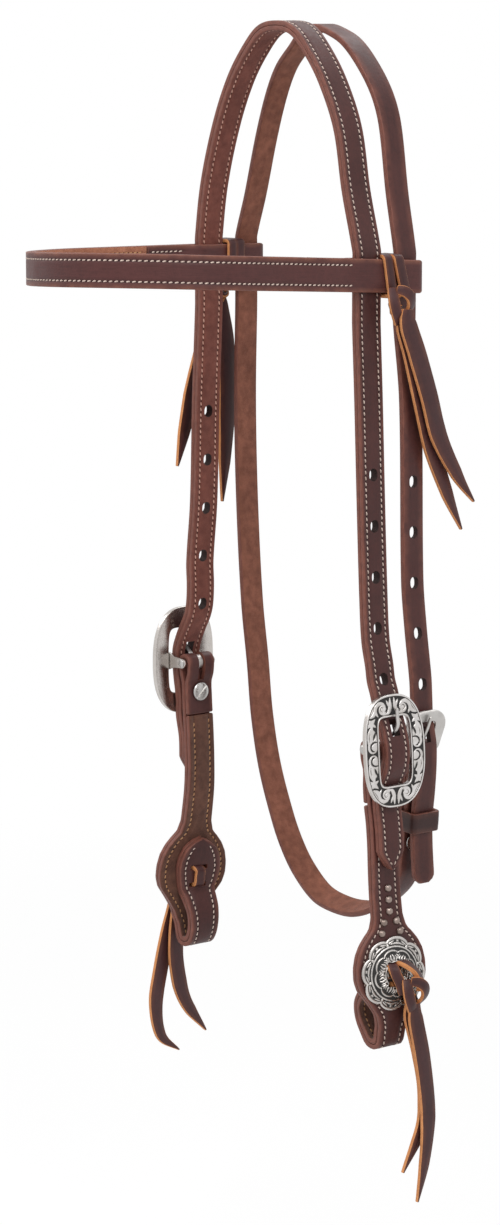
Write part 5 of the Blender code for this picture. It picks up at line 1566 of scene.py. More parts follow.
@dataclass
class CrownStrap:
    """Two sewn layers over the poll, buckled at both ends."""

    inset: float = 2.5 * MM
    sewn_tip: float = 3.6 * MM
    depth: float = 46.0 * MM
    arch: Table = ((0.0, 0.051), (0.20, 0.005), (0.375, -0.185), (0.575, -0.51),
                   (0.762, -0.99))

    def leg(self, side: Side) -> list[Vector]:
        """Points of one leg, from its tip up to the browband.

        Args:
            side: Side of the head.

        Returns:
            The points.
        """
        half = FRAME_HEIGHT / 2
        points = [(side.middle(-share * BILLET_DROP) + 0.88 * STRAP_REST, -share * BILLET_DROP)
                  for share in (1.0, 0.837, 0.663)]
        points += [(STRAP_REST, -half), (STRAP_REST, -0.70 * half)]
        points += [(out * STRAP_RISE, up * half) for out, up in reversed(side.strap)]
        run = [side.point(out, 0.0, up) for out, up in points]
        run += [Vector((side.sign * spread * BUCKLE_SPREAD, 0.0, drop * side.drop))
                for spread, drop in reversed(side.lower)]
        return run + braced(side.sign, 0.0)

    def line(self) -> list[Vector]:
        """Middle line from the near tip over the poll to the far tip."""
        over = [(x * LEG_SPREAD, z * self.depth) for x, z in self.arch]
        near = [Vector((x, 0.0, z)) for x, z in reversed(over)]
        far = [Vector((-x, 0.0, z)) for x, z in over[1:]]
        near.insert(0, Vector((LEG_SPREAD * NEAR.leg[0], 0.0, NEAR.drop * NEAR.leg[1])))
        far.append(Vector((-LEG_SPREAD * FAR.leg[0], 0.0, FAR.drop * FAR.leg[1])))
        points = self.leg(NEAR) + near + far + list(reversed(self.leg(FAR)))
        return spaced(smooth(points, 2.0 * MM), 1.3 * MM)

    def cutters(self, run: Sequence[Vector]) -> list[Shell]:
        """Buckle holes of both legs, the two in use among them.

        Args:
            run: Middle line of the strap.

        Returns:
            The cutters.
        """
        top = max(range(len(run)), key=lambda i: run[i].z)
        tools = hole_row(run, slice(0, top), NEAR.hole - NEAR.drop)
        tools += hole_row(run, slice(top, len(run)), FAR.hole - FAR.drop)
        line = cheek_tongue_line()
        for side in (NEAR, FAR):
            start, stop = (side.point(out, 0.0, up) for out, up in (line[0], line[3]))
            halves = ((stop - start).length / 2 + GAP, HOLE_WIDTH / 2, TONGUE_THICK * 1.75)
            tools.append(tongue_cutter(start, stop, -TONGUE_THICK * 0.2, halves))
        return tools

    def build(self) -> None:
        """Sweep, punch and sew both layers."""
        run = self.line()
        halves = tip_halves(run, CROWN_WIDTH, True)
        grain = Ribbon(run, Y_AXIS, halves, (SEAM, CROWN_HALF), dips=(self.inset,))
        lining = Ribbon(run, Y_AXIS, halves, (-CROWN_HALF, -SEAM), back_dips=(self.inset,))
        self.layer("crown_strap", grain, Slot.GRAIN, look(STRAP, BURNISHED, FLESH, HOLE_WALL_SHADE),
                   CREAM, True)
        self.layer("crown_lining", lining, Slot.FLESH, look(FLESH, BURNISHED, FLESH, HOLE_WALL_SHADE),
                   BLUSH, False)

    def layer(self, name: str, ribbon: Ribbon, slot: Slot, finishes: Finishes, thread: Thread,
              outer: bool) -> None:
        """Make one layer and its stitches.

        Args:
            name: CAD node that the layer stands for.
            ribbon: Its sweep.
            slot: Slot of the leather.
            finishes: Face, edge and inner finish.
            thread: Finish of the thread.
            outer: Whether the stitches show on the outer face.
        """
        mesh = cut(ribbon.shell().mesh(name, finishes), self.cutters(self.line()), Face.HOLE)
        Placing("crown", slot, (name,)).put(f"{name}_leather", mesh)
        sewing = Stitching(ribbon, self.inset, outer, self.sewn_tip, self.sewn_tip)
        Placing("crown", slot).put(f"{name}_stitches", sewing.shell().mesh(
            f"{name}_stitches", look(thread, NEEDLE_HOLE_SHADE)))


@dataclass
class Browband:
    """Folded grain layer with a front lining, sewn along both edges."""

    reach: float = 75.0 * MM
    tab: float = 38.0 * MM
    pinch: float = 20.0 * MM
    seam: float = 0.6 * MM
    inset: float = 3.15 * MM
    waist: float = 1.5 * MM
    waist_reach: float = 3.0 * MM
    tab_clear: float = 3.0 * MM
    tab_margin: float = 2.0 * MM
    lining_margin: float = 4.0 * MM
    sewn_from: float = 12.0 * MM

    def spread(self) -> float:
        """Distance of the grain layer's middle from the middle of the head."""
        return LEG_SPREAD + CROWN_HALF + GAP + BROW_LAYER / 2

    def arc(self, radius: float, steps: int = 24) -> list[Pair]:
        """Front of the band from the near leg round to the far leg."""
        return [(x, -self.reach - y) for x, y in half_circle(radius, steps)]

    def leg(self) -> list[Pair]:
        """One folded end of the grain layer, from its tab's end to the front."""
        outer = self.spread()
        inner = 2 * LEG_SPREAD - outer
        flat = outer - BROW_LAYER - GAP
        radius = (outer - inner) / 2
        turn = THROAT_BACK + THROAT_WIDTH / 2 - radius * 0.45
        start = -CROWN_WIDTH / 2 - GAP
        points = [(flat, -self.tab), (flat, -self.pinch),
                  (flat - (flat - inner) * 0.30, start * 0.5 - self.pinch * 0.5),
                  (inner, start), (inner, turn * 0.35), (inner, turn)]
        points += [(LEG_SPREAD + x, turn + y) for x, y in half_circle(radius)[-2:0:-1]]
        return points + [(outer, turn), (outer, turn * 0.35), (outer, start),
                         (outer, -self.pinch), (outer, -self.tab)]

    def raised(self, flat: Sequence[Pair], step: float) -> list[Vector]:
        """Smooth a plan line and set it at the band's height."""
        run = spaced(smooth([Vector((x, y, 0.0)) for x, y in flat], step), step * 0.3)
        return [Vector((p.x, p.y, brow_height(p.x, p.y))) for p in run]

    def build(self) -> None:
        """Sweep and sew both layers."""
        near = self.leg()
        far = [(-x, y) for x, y in reversed(near)]
        run = self.raised(near + self.arc(self.spread()) + far, 2.2 * MM)
        levels = (-BROW_LAYER / 2, BROW_LAYER / 2)
        rear = max(p.y for p in run)
        halves = [BROW_WIDTH / 2 - self.waist
                  * clamp((p.y - rear + self.waist_reach) / self.waist_reach) ** 2 for p in run]
        places = travelled(run)
        start, last, tab_end = self.sewn_part(run)
        sewn = ((places[start], places[last]), (0.0, places[tab_end]),
                (places[-1 - tab_end], places[-1]))
        grain = Ribbon(run, Z_AXIS, halves, levels, bevel=0.55 * MM, dips=(self.inset,),
                       upright=True, sewn=sewn)
        mesh = grain.shell().mesh("browband", look(BAND, BURNISHED, FLESH))
        Placing("browband", Slot.GRAIN, ("browband",)).put("browband_leather", mesh)
        inner = self.spread() - BROW_LAYER - GAP
        end = -self.tab - self.seam
        lining = [(inner, end), (inner, (end - self.reach) / 2)] + self.arc(inner)
        lining += [(-inner, (end - self.reach) / 2), (-inner, end)]
        inside = self.raised(lining, 2.4 * MM)
        band = Ribbon(inside, Z_AXIS, [BROW_WIDTH / 2] * len(inside), levels,
                      bevel=0.5 * MM, back_dips=(self.inset,), upright=True)
        mesh = band.shell().mesh("browband_lining", look(TAN, BURNISHED, TAN))
        Placing("browband", Slot.FLESH, ("browband_lining",)).put("browband_lining_leather",
                                                                  mesh)
        self.sew(run, levels, band)

    def sewn_part(self, run: Sequence[Vector]) -> tuple[int, int, int]:
        """Numbers of the first and last front point with stitches and of a tab's last one."""
        bend = max(range(len(run) // 2), key=lambda i: run[i].y)
        start = next(i for i in range(bend, len(run)) if run[i].y < -self.sewn_from)
        tab_end = next(i for i in range(bend) if run[i].y > -self.pinch + self.tab_clear)
        return start, len(run) - 1 - start, tab_end

    def sew(self, run: Sequence[Vector], levels: Pair, band: Ribbon) -> None:
        """Stitch the outer face, the folded tabs and the lining.

        Args:
            run: Middle line of the grain layer.
            levels: Its two faces.
            band: The lining's sweep.
        """
        start, last, tab_end = self.sewn_part(run)
        shells = []
        for part, ends in ((run[start:last + 1], 0.0), (run[:tab_end + 1], self.tab_margin),
                           (run[len(run) - 1 - tab_end:], self.tab_margin)):
            strip = Ribbon(part, Z_AXIS, [BROW_WIDTH / 2] * len(part), levels, upright=True)
            shells.append(Stitching(strip, self.inset, True, ends, ends).shell())
        Placing("browband", Slot.GRAIN).put("browband_stitches", merged(shells).mesh(
            "browband_stitches", look(CREAM, NEEDLE_HOLE_SHADE)))
        margin = self.lining_margin
        sewing = Stitching(band, self.inset, False, margin, margin).shell()
        Placing("browband", Slot.FLESH).put("browband_lining_stitches", sewing.mesh(
            "browband_lining_stitches", look(AMBER, NEEDLE_HOLE_SHADE)))


@dataclass
class Throatlatch:
    """Single thick strap over the poll and under the throat, with its buckle end."""

    drift: float = 2.5 * MM
    spread: float = 68.3 * MM
    drop: float = 346.0 * MM
    loop: float = 433.0 * MM
    tail: float = 52.0 * MM
    bar: float = 3.2 * MM
    reach: float = 22.5 * MM
    frame_width: float = 27.5 * MM
    frame_thick: float = 2.2 * MM
    border: float = 6.0 * MM
    side_border: float = 6.9 * MM
    tilt: float = math.radians(23.0)
    screw_drop: float = 45.0 * MM
    keeper_drop: float = 34.0 * MM
    keeper_half: float = 5.0 * MM
    blunt: float = 0.55
    tip: float = 3.6 * MM
    turn: float = math.radians(22.0)
    turn_from: float = 0.60
    turn_over: float = 0.38
    arch: Table = ((0.796, -0.222), (0.718, -0.130), (0.637, -0.089), (0.489, -0.050),
                   (0.297, -0.016), (0.088, 0.001), (-0.031, 0.0045), (-0.156, -0.003),
                   (-0.273, -0.024), (-0.420, -0.052), (-0.530, -0.090), (-0.645, -0.150),
                   (-0.775, -0.235))
    near: Table = ((0.990, -0.826), (0.962, -0.757), (0.940, -0.506))
    far: Table = ((-0.896, -0.427), (-0.872, -0.545), (-0.814, -0.663), (-0.746, -0.734),
                  (-0.695, -0.797), (-0.602, -0.857), (-0.452, -0.915), (-0.345, -0.945),
                  (-0.215, -0.970), (-0.020, -0.993), (0.165, -1.0), (0.385, -1.0),
                  (0.625, -0.989), (0.822, -0.965))
    billet: Table = ((0.270, -2.89), (0.225, -2.45), (0.195, -2.05), (0.187, -1.51),
                     (0.258, -0.90), (0.300, -0.40), (0.307, 0.0), (0.289, 0.22),
                     (0.222, 0.49), (0.165, 0.71), (0.160, 0.93), (0.142, 1.24),
                     (0.115, 1.60))
    chape: Table = ((-0.134, -1.19), (-0.121, -1.06), (-0.096, -0.88), (-0.062, -0.65),
                    (-0.024, -0.38), (-0.010, -0.22))

    def place(self, u: float, v: float, w: float) -> Vector:
        """World point from distances outwards, up and back from the throat bar."""
        return Vector((self.spread + u, THROAT_BACK + self.drift + w, v - self.drop))

    def chape_middle(self, height: float) -> float:
        """How far the folded end's middle stands out at a height below the bar."""
        rows = [(down * self.tail, out * self.tail) for out, down in self.chape]
        return read_shares(rows, height)

    def fold(self) -> list[Vector]:
        """The strap up over the bar and down to its sewn end."""
        radius = self.bar / 2 + GAP * 2 + THROAT_LAYER / 2
        rest = THROAT_HALF - THROAT_LAYER / 2
        points = [(out * self.tail + rest, height * self.tail) for out, height in self.chape]
        points += [(radius * 0.92, -radius * 1.25), *half_circle(radius),
                   (-radius * 0.94, -radius * 1.25)]
        points += [(out * self.tail - rest, height * self.tail)
                   for out, height in reversed(self.chape[2:])]
        points.append((self.chape[1][0] * self.tail - rest, -self.tail))
        return [self.place(out, height, 0.0) for out, height in points]

    def line(self) -> list[Vector]:
        """Middle line from the tip over the poll, round the throat and up to the bar."""
        points = [self.place(out * self.reach, up * self.reach, 0.0) for out, up in self.billet]
        for index, (spread, drop) in enumerate(self.near):
            back = THROAT_BACK + self.drift * (1 - (index + 0.6) / 3.6)
            points.append(Vector((spread * self.spread, back, drop * self.drop)))
        points += braced(1, THROAT_BACK)
        points += [Vector((x * self.spread, THROAT_BACK, z * self.drop)) for x, z in self.arch]
        points += reversed(braced(-1, THROAT_BACK))
        for spread, drop in self.far:
            x = spread * self.spread
            share = clamp((x + self.spread * 0.6) / (self.spread * 1.6))
            points.append(Vector((x, THROAT_BACK + self.drift * share, drop * self.loop)))
        return spaced(smooth(points + self.fold(), 1.9 * MM), 0.5 * MM)

    def across(self, run: Sequence[Vector]) -> list[Vector]:
        """Width direction at each point; the loop under the throat lies turned.

        Args:
            run: Middle line of the strap.

        Returns:
            One direction for each point.
        """
        found = []
        for index, point in enumerate(run):
            on_loop = point.x < self.spread * 0.90 and index > len(run) // 3
            low = (-point.z / self.loop - self.turn_from) / self.turn_over
            share = clamp(low) if on_loop else 0.0
            fade = clamp((self.spread * 0.90 - point.x) / (self.spread * 0.5))
            angle = self.turn * share * fade
            found.append(Vector((0.0, math.cos(angle), math.sin(angle))))
        return found

    def tongue_line(self) -> list[Pair]:
        """Middle of the tongue from the bar to its tip."""
        lean = Vector((math.sin(self.tilt), math.cos(self.tilt)))
        face = Vector((math.cos(self.tilt), -math.sin(self.tilt)))
        rest = face * (self.frame_thick / 2 + GAP + TONGUE_THICK / 2)
        lip = lean * (self.reach - self.border) + rest
        tip = lean * (self.reach - self.border * 0.25) + rest
        return [(lip.x * 0.38, lip.y * 0.27), (lip.x * 0.68, lip.y * 0.60), (lip.x, lip.y),
                (tip.x, tip.y)]

    def screw_place(self) -> tuple[Vector, Vector]:
        """Middle and outward direction of the screw."""
        down, step = self.screw_drop, 4.75 * MM
        slope = (self.chape_middle(step - down) - self.chape_middle(-down - step)) / (2 * step)
        middle = self.place(self.chape_middle(-down), -down, 0.0)
        return middle, Vector((1.0, 0.0, -slope)).normalized()

    def cutters(self, run: Sequence[Vector]) -> tuple[list[Shell], ...]:
        """Free buckle holes, the hole in use and the slot in the fold.

        Args:
            run: Middle line of the strap.

        Returns:
            The cutters, in groups that don't meet.
        """
        top = max(range(len(run)), key=lambda i: run[i].z)
        line = self.tongue_line()
        holes = hole_row(run, slice(0, top), line[1][1] - self.drop)
        start, stop = (self.place(out, up, 0.0) for out, up in (line[0], line[2]))
        halves = ((stop - start).length / 2, HOLE_WIDTH / 2, TONGUE_THICK * 1.2)
        in_use = tongue_cutter(start, stop, TONGUE_THICK * 0.45, halves)
        radius = self.bar / 2 + GAP * 2 + THROAT_LAYER / 2
        wide, front = radius + THROAT_LAYER, radius + THROAT_LAYER / 2 + GAP * 0.3
        low = math.hypot(self.bar, self.frame_thick) / 2 + TONGUE_WALL + GAP * 3
        outline = [(-wide, -wide * 1.5), (-GAP, -wide * 1.5), (-GAP, -low), (front, -low),
                   (front, wide), (-wide, wide)]
        half = TONGUE_WIDTH / 2 + GAP
        return holes, [in_use], [prism(outline, self.place, (-half, half))]

    def build(self) -> None:
        """Sweep and punch the strap, and dress what hangs on it."""
        run = self.line()
        halves = tip_halves(run, THROAT_WIDTH, False, self.blunt, self.tip)
        ribbon = Ribbon(run, self.across(run), halves,
                        (-THROAT_LAYER / 2, THROAT_LAYER / 2), bevel=0.7 * MM)
        finishes = look(STRAP, BURNISHED, THROAT_FLESH, HOLE_WALL_SHADE)
        mesh = ribbon.shell().mesh("throatlatch", finishes)
        for tools in self.cutters(run):
            mesh = cut(mesh, tools, Face.HOLE)
        Placing("crown", Slot.GRAIN, ("throatlatch",)).put("throatlatch_leather", mesh)
        middle, out = self.screw_place()
        ChicagoScrew("throat", "crown").build(middle, out, THROAT_HALF)
        self.build_buckle()
        self.build_keeper()

    def build_buckle(self) -> None:
        """Brushed frame, leaning over the strap, and its tongue."""
        half = self.frame_width / 2
        window = half - self.side_border
        outer = rounded_frame(half, -self.bar / 2, self.reach, half * 0.80, self.bar)
        inner = rounded_frame(window, self.bar / 2, self.reach - self.border, window * 0.45,
                              self.bar / 4)
        sine, cosine = math.sin(self.tilt), math.cos(self.tilt)
        base = self.place(0.0, 0.0, 0.0)

        def leaning(u: np.ndarray, v: np.ndarray, w: np.ndarray) -> np.ndarray:
            """Lean the flat frame out over the strap."""
            return np.stack([base.x + v * sine + w * cosine, base.y + u,
                             base.z + v * cosine - w * sine], 1)

        plate = RingPlate(outer, inner, self.frame_thick, leaning, 10, bevel=0.75 * MM)
        mesh = plate.shell().mesh("throat_buckle_frame", look(BRUSHED, BRUSHED), BENT_CREASE)
        Placing("crown", Slot.BRUSHED, ("throat_buckle_frame",)).put("throat_buckle_plate", mesh)
        radius = math.hypot(self.bar, self.frame_thick) / 2
        Tongue("throat_buckle_tongue", "throat_tongue").build(self.tongue_line(), radius,
                                                              self.place)

    def build_keeper(self) -> None:
        """Loose leather loop round the billet and the folded end."""
        lean, play, wall = math.radians(5.0), 0.75 * MM, 1.8 * MM
        billet = [(up * self.reach, out * self.reach) for out, up in self.billet]
        outer = read_shares(billet, -self.keeper_drop) + THROAT_LAYER / 2
        inner = self.chape_middle(-self.keeper_drop) - THROAT_HALF
        middle = self.place((outer + inner) / 2, -self.keeper_drop, 0.0)
        out = Vector((math.cos(lean), 0.0, -math.sin(lean)))
        along = Vector((math.sin(lean), 0.0, math.cos(lean)))
        depth = (outer - inner) / 2 + play + wall / 2
        wide = THROAT_WIDTH / 2 + play + wall / 2
        flat = rounded_frame(wide, -depth, depth, wall * 0.9, wall * 0.9, 8)
        run = [middle + Y_AXIS * u + out * v for u, v in resampled(flat, 96)]
        loop = Ribbon(run, along, [self.keeper_half] * len(run), (-wall / 2, wall / 2),
                      bevel=0.55 * MM, crown=0.1 * MM, closed=True)
        # the keeper takes the darker copy of the strap grain, painted shade
        mesh = loop.shell().mesh("throat_keeper", look(SHADED_TAB_GRAIN, BURNISHED, FLESH))
        Placing("keeper", Slot.GRAIN, ("throat_keeper",)).put("throat_keeper_loop", mesh)


def rounded_frame(half: float, low: float, high: float, top: float, bottom: float,
                  steps: int = 10) -> np.ndarray:
    """Outline with its own radius for the upper and the lower corners.

    Args:
        half: Half width.
        low: Lower edge.
        high: Upper edge.
        top: Radius of the upper corners.
        bottom: Radius of the lower corners.
        steps: Points of each corner.

    Returns:
        The outline's points.
    """
    corners = ((half - top, high - top, 0, top), (top - half, high - top, 1, top),
               (bottom - half, low + bottom, 2, bottom), (half - bottom, low + bottom, 3, bottom))
    points = []
    for u, v, quarter, radius in corners:
        for step in range(steps + 1):
            angle = (quarter + step / steps) * math.pi / 2
            points.append((u + radius * math.cos(angle), v + radius * math.sin(angle)))
    return np.array(points)


def resampled(outline: np.ndarray, count: int) -> np.ndarray:
    """Space the points of a closed outline evenly.

    Args:
        outline: Points of the outline.
        count: Number of points wanted.

    Returns:
        The new outline.
    """
    closed = np.concatenate([outline, outline[:1]])
    along = np.concatenate([[0.0], np.cumsum(np.linalg.norm(np.diff(closed, axis=0), axis=1))])
    at = np.linspace(0.0, along[-1], count, endpoint=False)
    return np.stack([np.interp(at, along, closed[:, k]) for k in range(2)], 1)


@dataclass
class Tongue:
    """Buckle tongue: an eye round the bar and an arm that narrows to its tip."""

    name: str
    body: str

    def build(self, line: Sequence[Pair], bar: float,
              place: Callable[[float, float, float], Vector]) -> None:
        """Bend the tongue round the bar.

        Args:
            line: Middle of the arm as (out, up) pairs.
            bar: Radius of the bar that it turns on.
            place: Turns (out, up, along the bar) into a point.
        """
        radius = bar + GAP + TONGUE_WALL / 2
        leave = math.atan2(line[0][1], line[0][0]) - math.acos(radius / math.hypot(*line[0]))
        eye = [(radius * math.cos(leave - a), radius * math.sin(leave - a))
               for a in np.linspace(math.tau - 1.0, 0.0, 26)]
        arm = smooth([Vector((a, b, 0.0)) for a, b in line], 1.0 * MM)
        path = [Vector((a, b, 0.0)) for a, b in eye] + arm
        run = spaced([place(p.x, p.y, 0.0) for p in smooth(path, 0.9 * MM)], 0.4 * MM)
        count = len(run)
        halves = [TONGUE_WIDTH / 2 * (1.0 - 0.42 * clamp((k / count - 0.35) / 0.2)
                                      - 0.22 * clamp((k / count - 0.75) / 0.25) ** 2)
                  for k in range(count)]
        thin = TONGUE_WALL / 2
        ribbon = Ribbon(run, Y_AXIS, halves, (-thin, thin * 1.15), bevel=0.6 * MM)
        mesh = ribbon.shell().mesh(self.name, look(BRUSHED, BRUSHED, BRUSHED), BENT_CREASE)
        Placing(self.body, Slot.BRUSHED, (self.name,)).put(f"{self.name}_bent", mesh)


@dataclass
class ChicagoScrew:
    """Headed post from outside and a slotted screw from inside."""

    label: str
    body: str
    head: float = 4.75 * MM
    rise: float = 1.7 * MM
    post: float = 2.5 * MM
    shank: float = 1.4 * MM
    slot_width: float = 1.0 * MM

    def build(self, middle: Vector, out: Vector, half: float) -> None:
        """Turn both parts and cut the slot.

        Args:
            middle: Middle of the leather at the screw.
            out: Outward direction.
            half: Half thickness of the leather.
        """
        rest, head, edge = half + GAP, self.head, 0.18 * MM
        cap = [(0, rest + POST_HEAD), (head - edge * 2, rest + POST_HEAD),
               (head - edge * 0.5, rest + POST_HEAD - edge * 0.4),
               (head, rest + POST_HEAD - edge * 1.6), (head, rest + edge),
               (head - edge, rest), (self.post, rest), (self.post, -half),
               (self.shank + GAP, -half), (self.shank + GAP, half), (0, half)]
        Placing(self.body, Slot.STEEL, (f"{self.label}_post",)).put(
            f"{self.label}_post_turned",
            Turning(cap, middle, out).shell().mesh(f"{self.label}_post", look(STEEL)))
        rim = POST_HEAD * 0.7
        dome = [(0, half - GAP), (self.shank, half - GAP), (self.shank, -rest),
                (head - edge, -rest), (head, -rest - edge), (head, -rest - rim)]
        dome += [(head * share, -rest - rim - (self.rise - rim) * math.sqrt(1 - share ** 2))
                 for share in (0.98, 0.93, 0.84, 0.70, 0.50, 0.25)]
        dome.append((0, -rest - self.rise))
        mesh = Turning(dome, middle, out).shell().mesh(f"{self.label}_screw", look(STEEL))
        side = out.cross(Y_AXIS).normalized()
        tool = block(middle - out * (rest + self.rise),
                     (out, (Y_AXIS + side).normalized(), (Y_AXIS - side).normalized()),
                     (self.rise * 0.5, self.slot_width / 2, head * 1.2))
        Placing(self.body, Slot.STEEL, (f"{self.label}_screw",)).put(
            f"{self.label}_screw_slotted", cut(mesh, [tool], Face.GRAIN))


@dataclass
class CheekPiece:
    """Two sewn layers: folded over the bar in front, round the bit and up inside."""

    side: Side
    width: float = 16.0 * MM
    flare_width: float = 39.2 * MM
    tab_width: float = 24.0 * MM
    fold_tail: float = 26.5 * MM
    lining_start: float = 26.9 * MM
    seat: float = 5.2 * MM
    inset: float = 3.2 * MM
    pressed_from: float = 6.0 * MM
    pressed_short: float = 2.0 * MM
    first_stitch: float = 7.0 * MM
    last_stitch: float = 3.0 * MM
    screw_drop: float = 15.0 * MM
    screw_hole: float = 2.8 * MM
    screw_reach: float = 8.0 * MM
    bit_seat: Pair = (0.017, -0.983)
    tab_blunt: float = 0.10
    tab_power: float = 0.72
    tops: tuple[float, ...] = (-0.800, -0.760, -0.715, -0.665, -0.617)
    flare: Table = ((-0.560, 0.0), (-0.599, 0.14), (-0.619, 0.39), (-0.646, 0.67),
                    (-0.680, 0.89), (-0.721, 1.0), (-0.762, 1.0), (-0.796, 0.86),
                    (-0.823, 0.60), (-0.850, 0.36), (-0.878, 0.14), (-0.925, 0.0))
    tab: Table = ((-0.617, -0.98), (-0.630, -0.42), (-0.655, 0.22), (-0.690, 0.80),
                  (-0.725, 1.0), (-0.765, 0.80), (-0.820, 0.30), (-0.885, 0.06), (-0.93, 0.0))

    def sewn(self) -> list[Vector]:
        """Middle line of the sewn part, from the inner tab's point round and up."""
        side = self.side
        inner = [(side.middle(s * CHEEK_LENGTH) - TAB_DROP, s * CHEEK_LENGTH)
                 for s in reversed(self.tops)]
        inner += [(out * CHEEK_LENGTH, up * CHEEK_LENGTH) for out, up in reversed(side.loop)]
        middle, bottom = (share * CHEEK_LENGTH for share in self.bit_seat)
        seat = [(middle - self.seat / 2, bottom), (middle + self.seat / 2, bottom)]
        up = [(out * CHEEK_LENGTH, down * CHEEK_LENGTH) for out, down in reversed(side.cheek)]
        return smooth([Vector((out, side.shift * side.sway(height), height))
                       for out, height in inner + seat + up], 2.0 * MM)

    def fold(self, start: Vector) -> list[Vector]:
        """The grain layer over the bar and down inside, from the end of the sewn part."""
        side, radius = self.side, BAR_RADIUS + GAP / 2
        top = side.cheek[0][1] * CHEEK_LENGTH
        points = [(radius * 0.80, top * 0.48), *half_circle(radius),
                  (-radius * 0.80, top * 0.48)]
        for share in (0.0, 0.5, 1.0):
            height = top - (self.fold_tail + top) * share
            points.append((side.middle(height), height))
        run = smooth([start] + [Vector((out, 0.0, up)) for out, up in points], 1.4 * MM)
        return spaced(run, 0.28 * MM)[1:]

    def half(self, place: Vector, front: bool) -> float:
        """Half width at a place: a flare in front, a pointed tab inside."""
        height, base = place.z / CHEEK_LENGTH, self.width / 2
        if front:
            wide = read_shares([(h, s) for h, s in self.flare], height)
            return base + wide * (self.flare_width - self.width) / 2
        spare = (self.tab_width - self.width) / 2
        if height < self.tab[2][0]:
            return base + read_shares([(h, s) for h, s in self.tab], height) * spare
        top, low = self.tab[0][0], self.tab[2][0]
        left = clamp((top - height) / (top - low))
        point = self.tab_blunt + (1 - self.tab_blunt) * left ** self.tab_power
        return (base + self.tab[2][1] * spare) * point

    def build(self) -> None:
        """Sweep, cut and sew both layers."""
        side, run = self.side, self.sewn()
        lowest = min(range(len(run)), key=lambda i: (run[i].z, i))
        fold = self.fold(run[-1])
        halves = [self.half(p, i > lowest) for i, p in enumerate(run)]
        halves += [self.width / 2] * len(fold)
        world = [Vector((BUCKLE_SPREAD + p.x, p.y, p.z - side.drop)) for p in run + fold]
        across = [Y_AXIS * math.cos(side.turn(p.z)) + X_AXIS * math.sin(side.turn(p.z))
                  for p in run] + [Y_AXIS] * len(fold)
        length = travelled(run)[-1]
        grain = Ribbon(world, across, halves, (GAP / 2, CHEEK_HALF), side.sign,
                       dips=(self.inset,), bevel=0.55 * MM,
                       sewn=((self.pressed_from, length - self.pressed_short),))
        stop = next(i for i, p in enumerate(run) if i > lowest and p.z > -self.lining_start)
        lining = Ribbon(world[:stop], across[:stop], halves[:stop], (-CHEEK_HALF, -SEAM),
                        side.sign, back_dips=(self.inset,), bevel=0.55 * MM)
        name, slots = f"{side.name}_cheek", self.slots()
        middle, out, _, _ = side.frame_at(-self.screw_drop, 0.0)
        hole = drill(self.screw_hole, self.screw_reach, middle, out)
        mesh = grain.shell().mesh(name, look(STRAP, BURNISHED, FLESH))
        mesh = cut(cut(mesh, slots + [hole]), [self.slit()])
        Placing(name, Slot.GRAIN, (name,)).put(f"{name}_leather", mesh)
        mesh = lining.shell().mesh(f"{name}_lining", look(SUEDE, BURNISHED, SUEDE))
        mesh = cut(mesh, slots, crossing=True)
        Placing(name, Slot.SUEDE, (f"{name}_lining",)).put(f"{name}_suede", mesh)
        self.sew(world[:len(run)], across[:len(run)], halves[:len(run)], lining)
        ChicagoScrew(name, name).build(middle, out, CHEEK_HALF)

    def sew(self, line: Sequence[Vector], across: Sequence[Vector], halves: Sequence[float],
            lining: Ribbon) -> None:
        """Stitch both faces along their edges.

        Args:
            line: Line of the sewn part.
            across: Its width directions.
            halves: Its half widths.
            lining: The lining's sweep.
        """
        side = self.side
        face = Ribbon(line, across, halves, (SEAM, CHEEK_HALF), side.sign)
        for layer, ribbon, thread, slot in (("cheek", face, CREAM, Slot.GRAIN),
                                            ("suede", lining, AMBER, Slot.SUEDE)):
            name = f"{side.name}_{layer}_stitches"
            sewing = Stitching(ribbon, self.inset, layer == "cheek", self.first_stitch,
                               self.last_stitch)
            Placing(f"{side.name}_cheek", slot).put(
                name, sewing.shell().mesh(name, look(thread, NEEDLE_HOLE_SHADE)))

    def slots(self) -> list[Shell]:
        """Cutters for the two slots that the concho's thong runs through."""
        middle, out, wide, along = self.side.frame_at(-CONCHO_DROP, 0.0)
        halves = (TAB_DROP * 3, THONG_WIDTH / 2 + GAP, THONG_THICK / 2 + GAP)
        return [block(middle + along * (way * TIE_PITCH / 2), (out, wide, along), halves)
                for way in (-1, 1)]

    def slit(self) -> Shell:
        """Cutter for the slot in the fold that lets the tongue out."""
        wide = BAR_RADIUS + GAP + CHEEK_LAYER + GAP * 4
        back, front = BAR_RADIUS * 4.5, BAR_RADIUS + TONGUE_WALL + GAP * 3
        outline = [(-wide, -back), (-GAP, -back), (-GAP, -front), (wide, -front),
                   (wide, wide), (-wide, wide)]
        half = TONGUE_WIDTH / 2 + GAP
        return prism(outline, self.side.place, (-half, half))


@dataclass(frozen=True)
class Stroke:
    """One raised stroke of engraving: points of across, along and half width in millimetres."""

    route: tuple[tuple[float, float, float], ...]

    def cover(self, u: np.ndarray, v: np.ndarray) -> np.ndarray:
        """How deep each place lies inside the stroke, below zero outside it.

        Args:
            u: Places across, in millimetres.
            v: Places along, in millimetres.

        Returns:
            The depths in millimetres.
        """
        line = smooth([Vector(p) for p in self.route], 0.4)
        best = np.full(u.shape, -9.0)
        for first, second in zip(line, line[1:]):
            span = second - first
            size = max(span.x ** 2 + span.y ** 2, 1e-6)
            t = np.clip(((u - first.x) * span.x + (v - first.y) * span.y) / size, 0.0, 1.0)
            away = np.hypot(u - first.x - t * span.x, v - first.y - t * span.y)
            best = np.maximum(best, first.z + t * span.z - away)
        return best


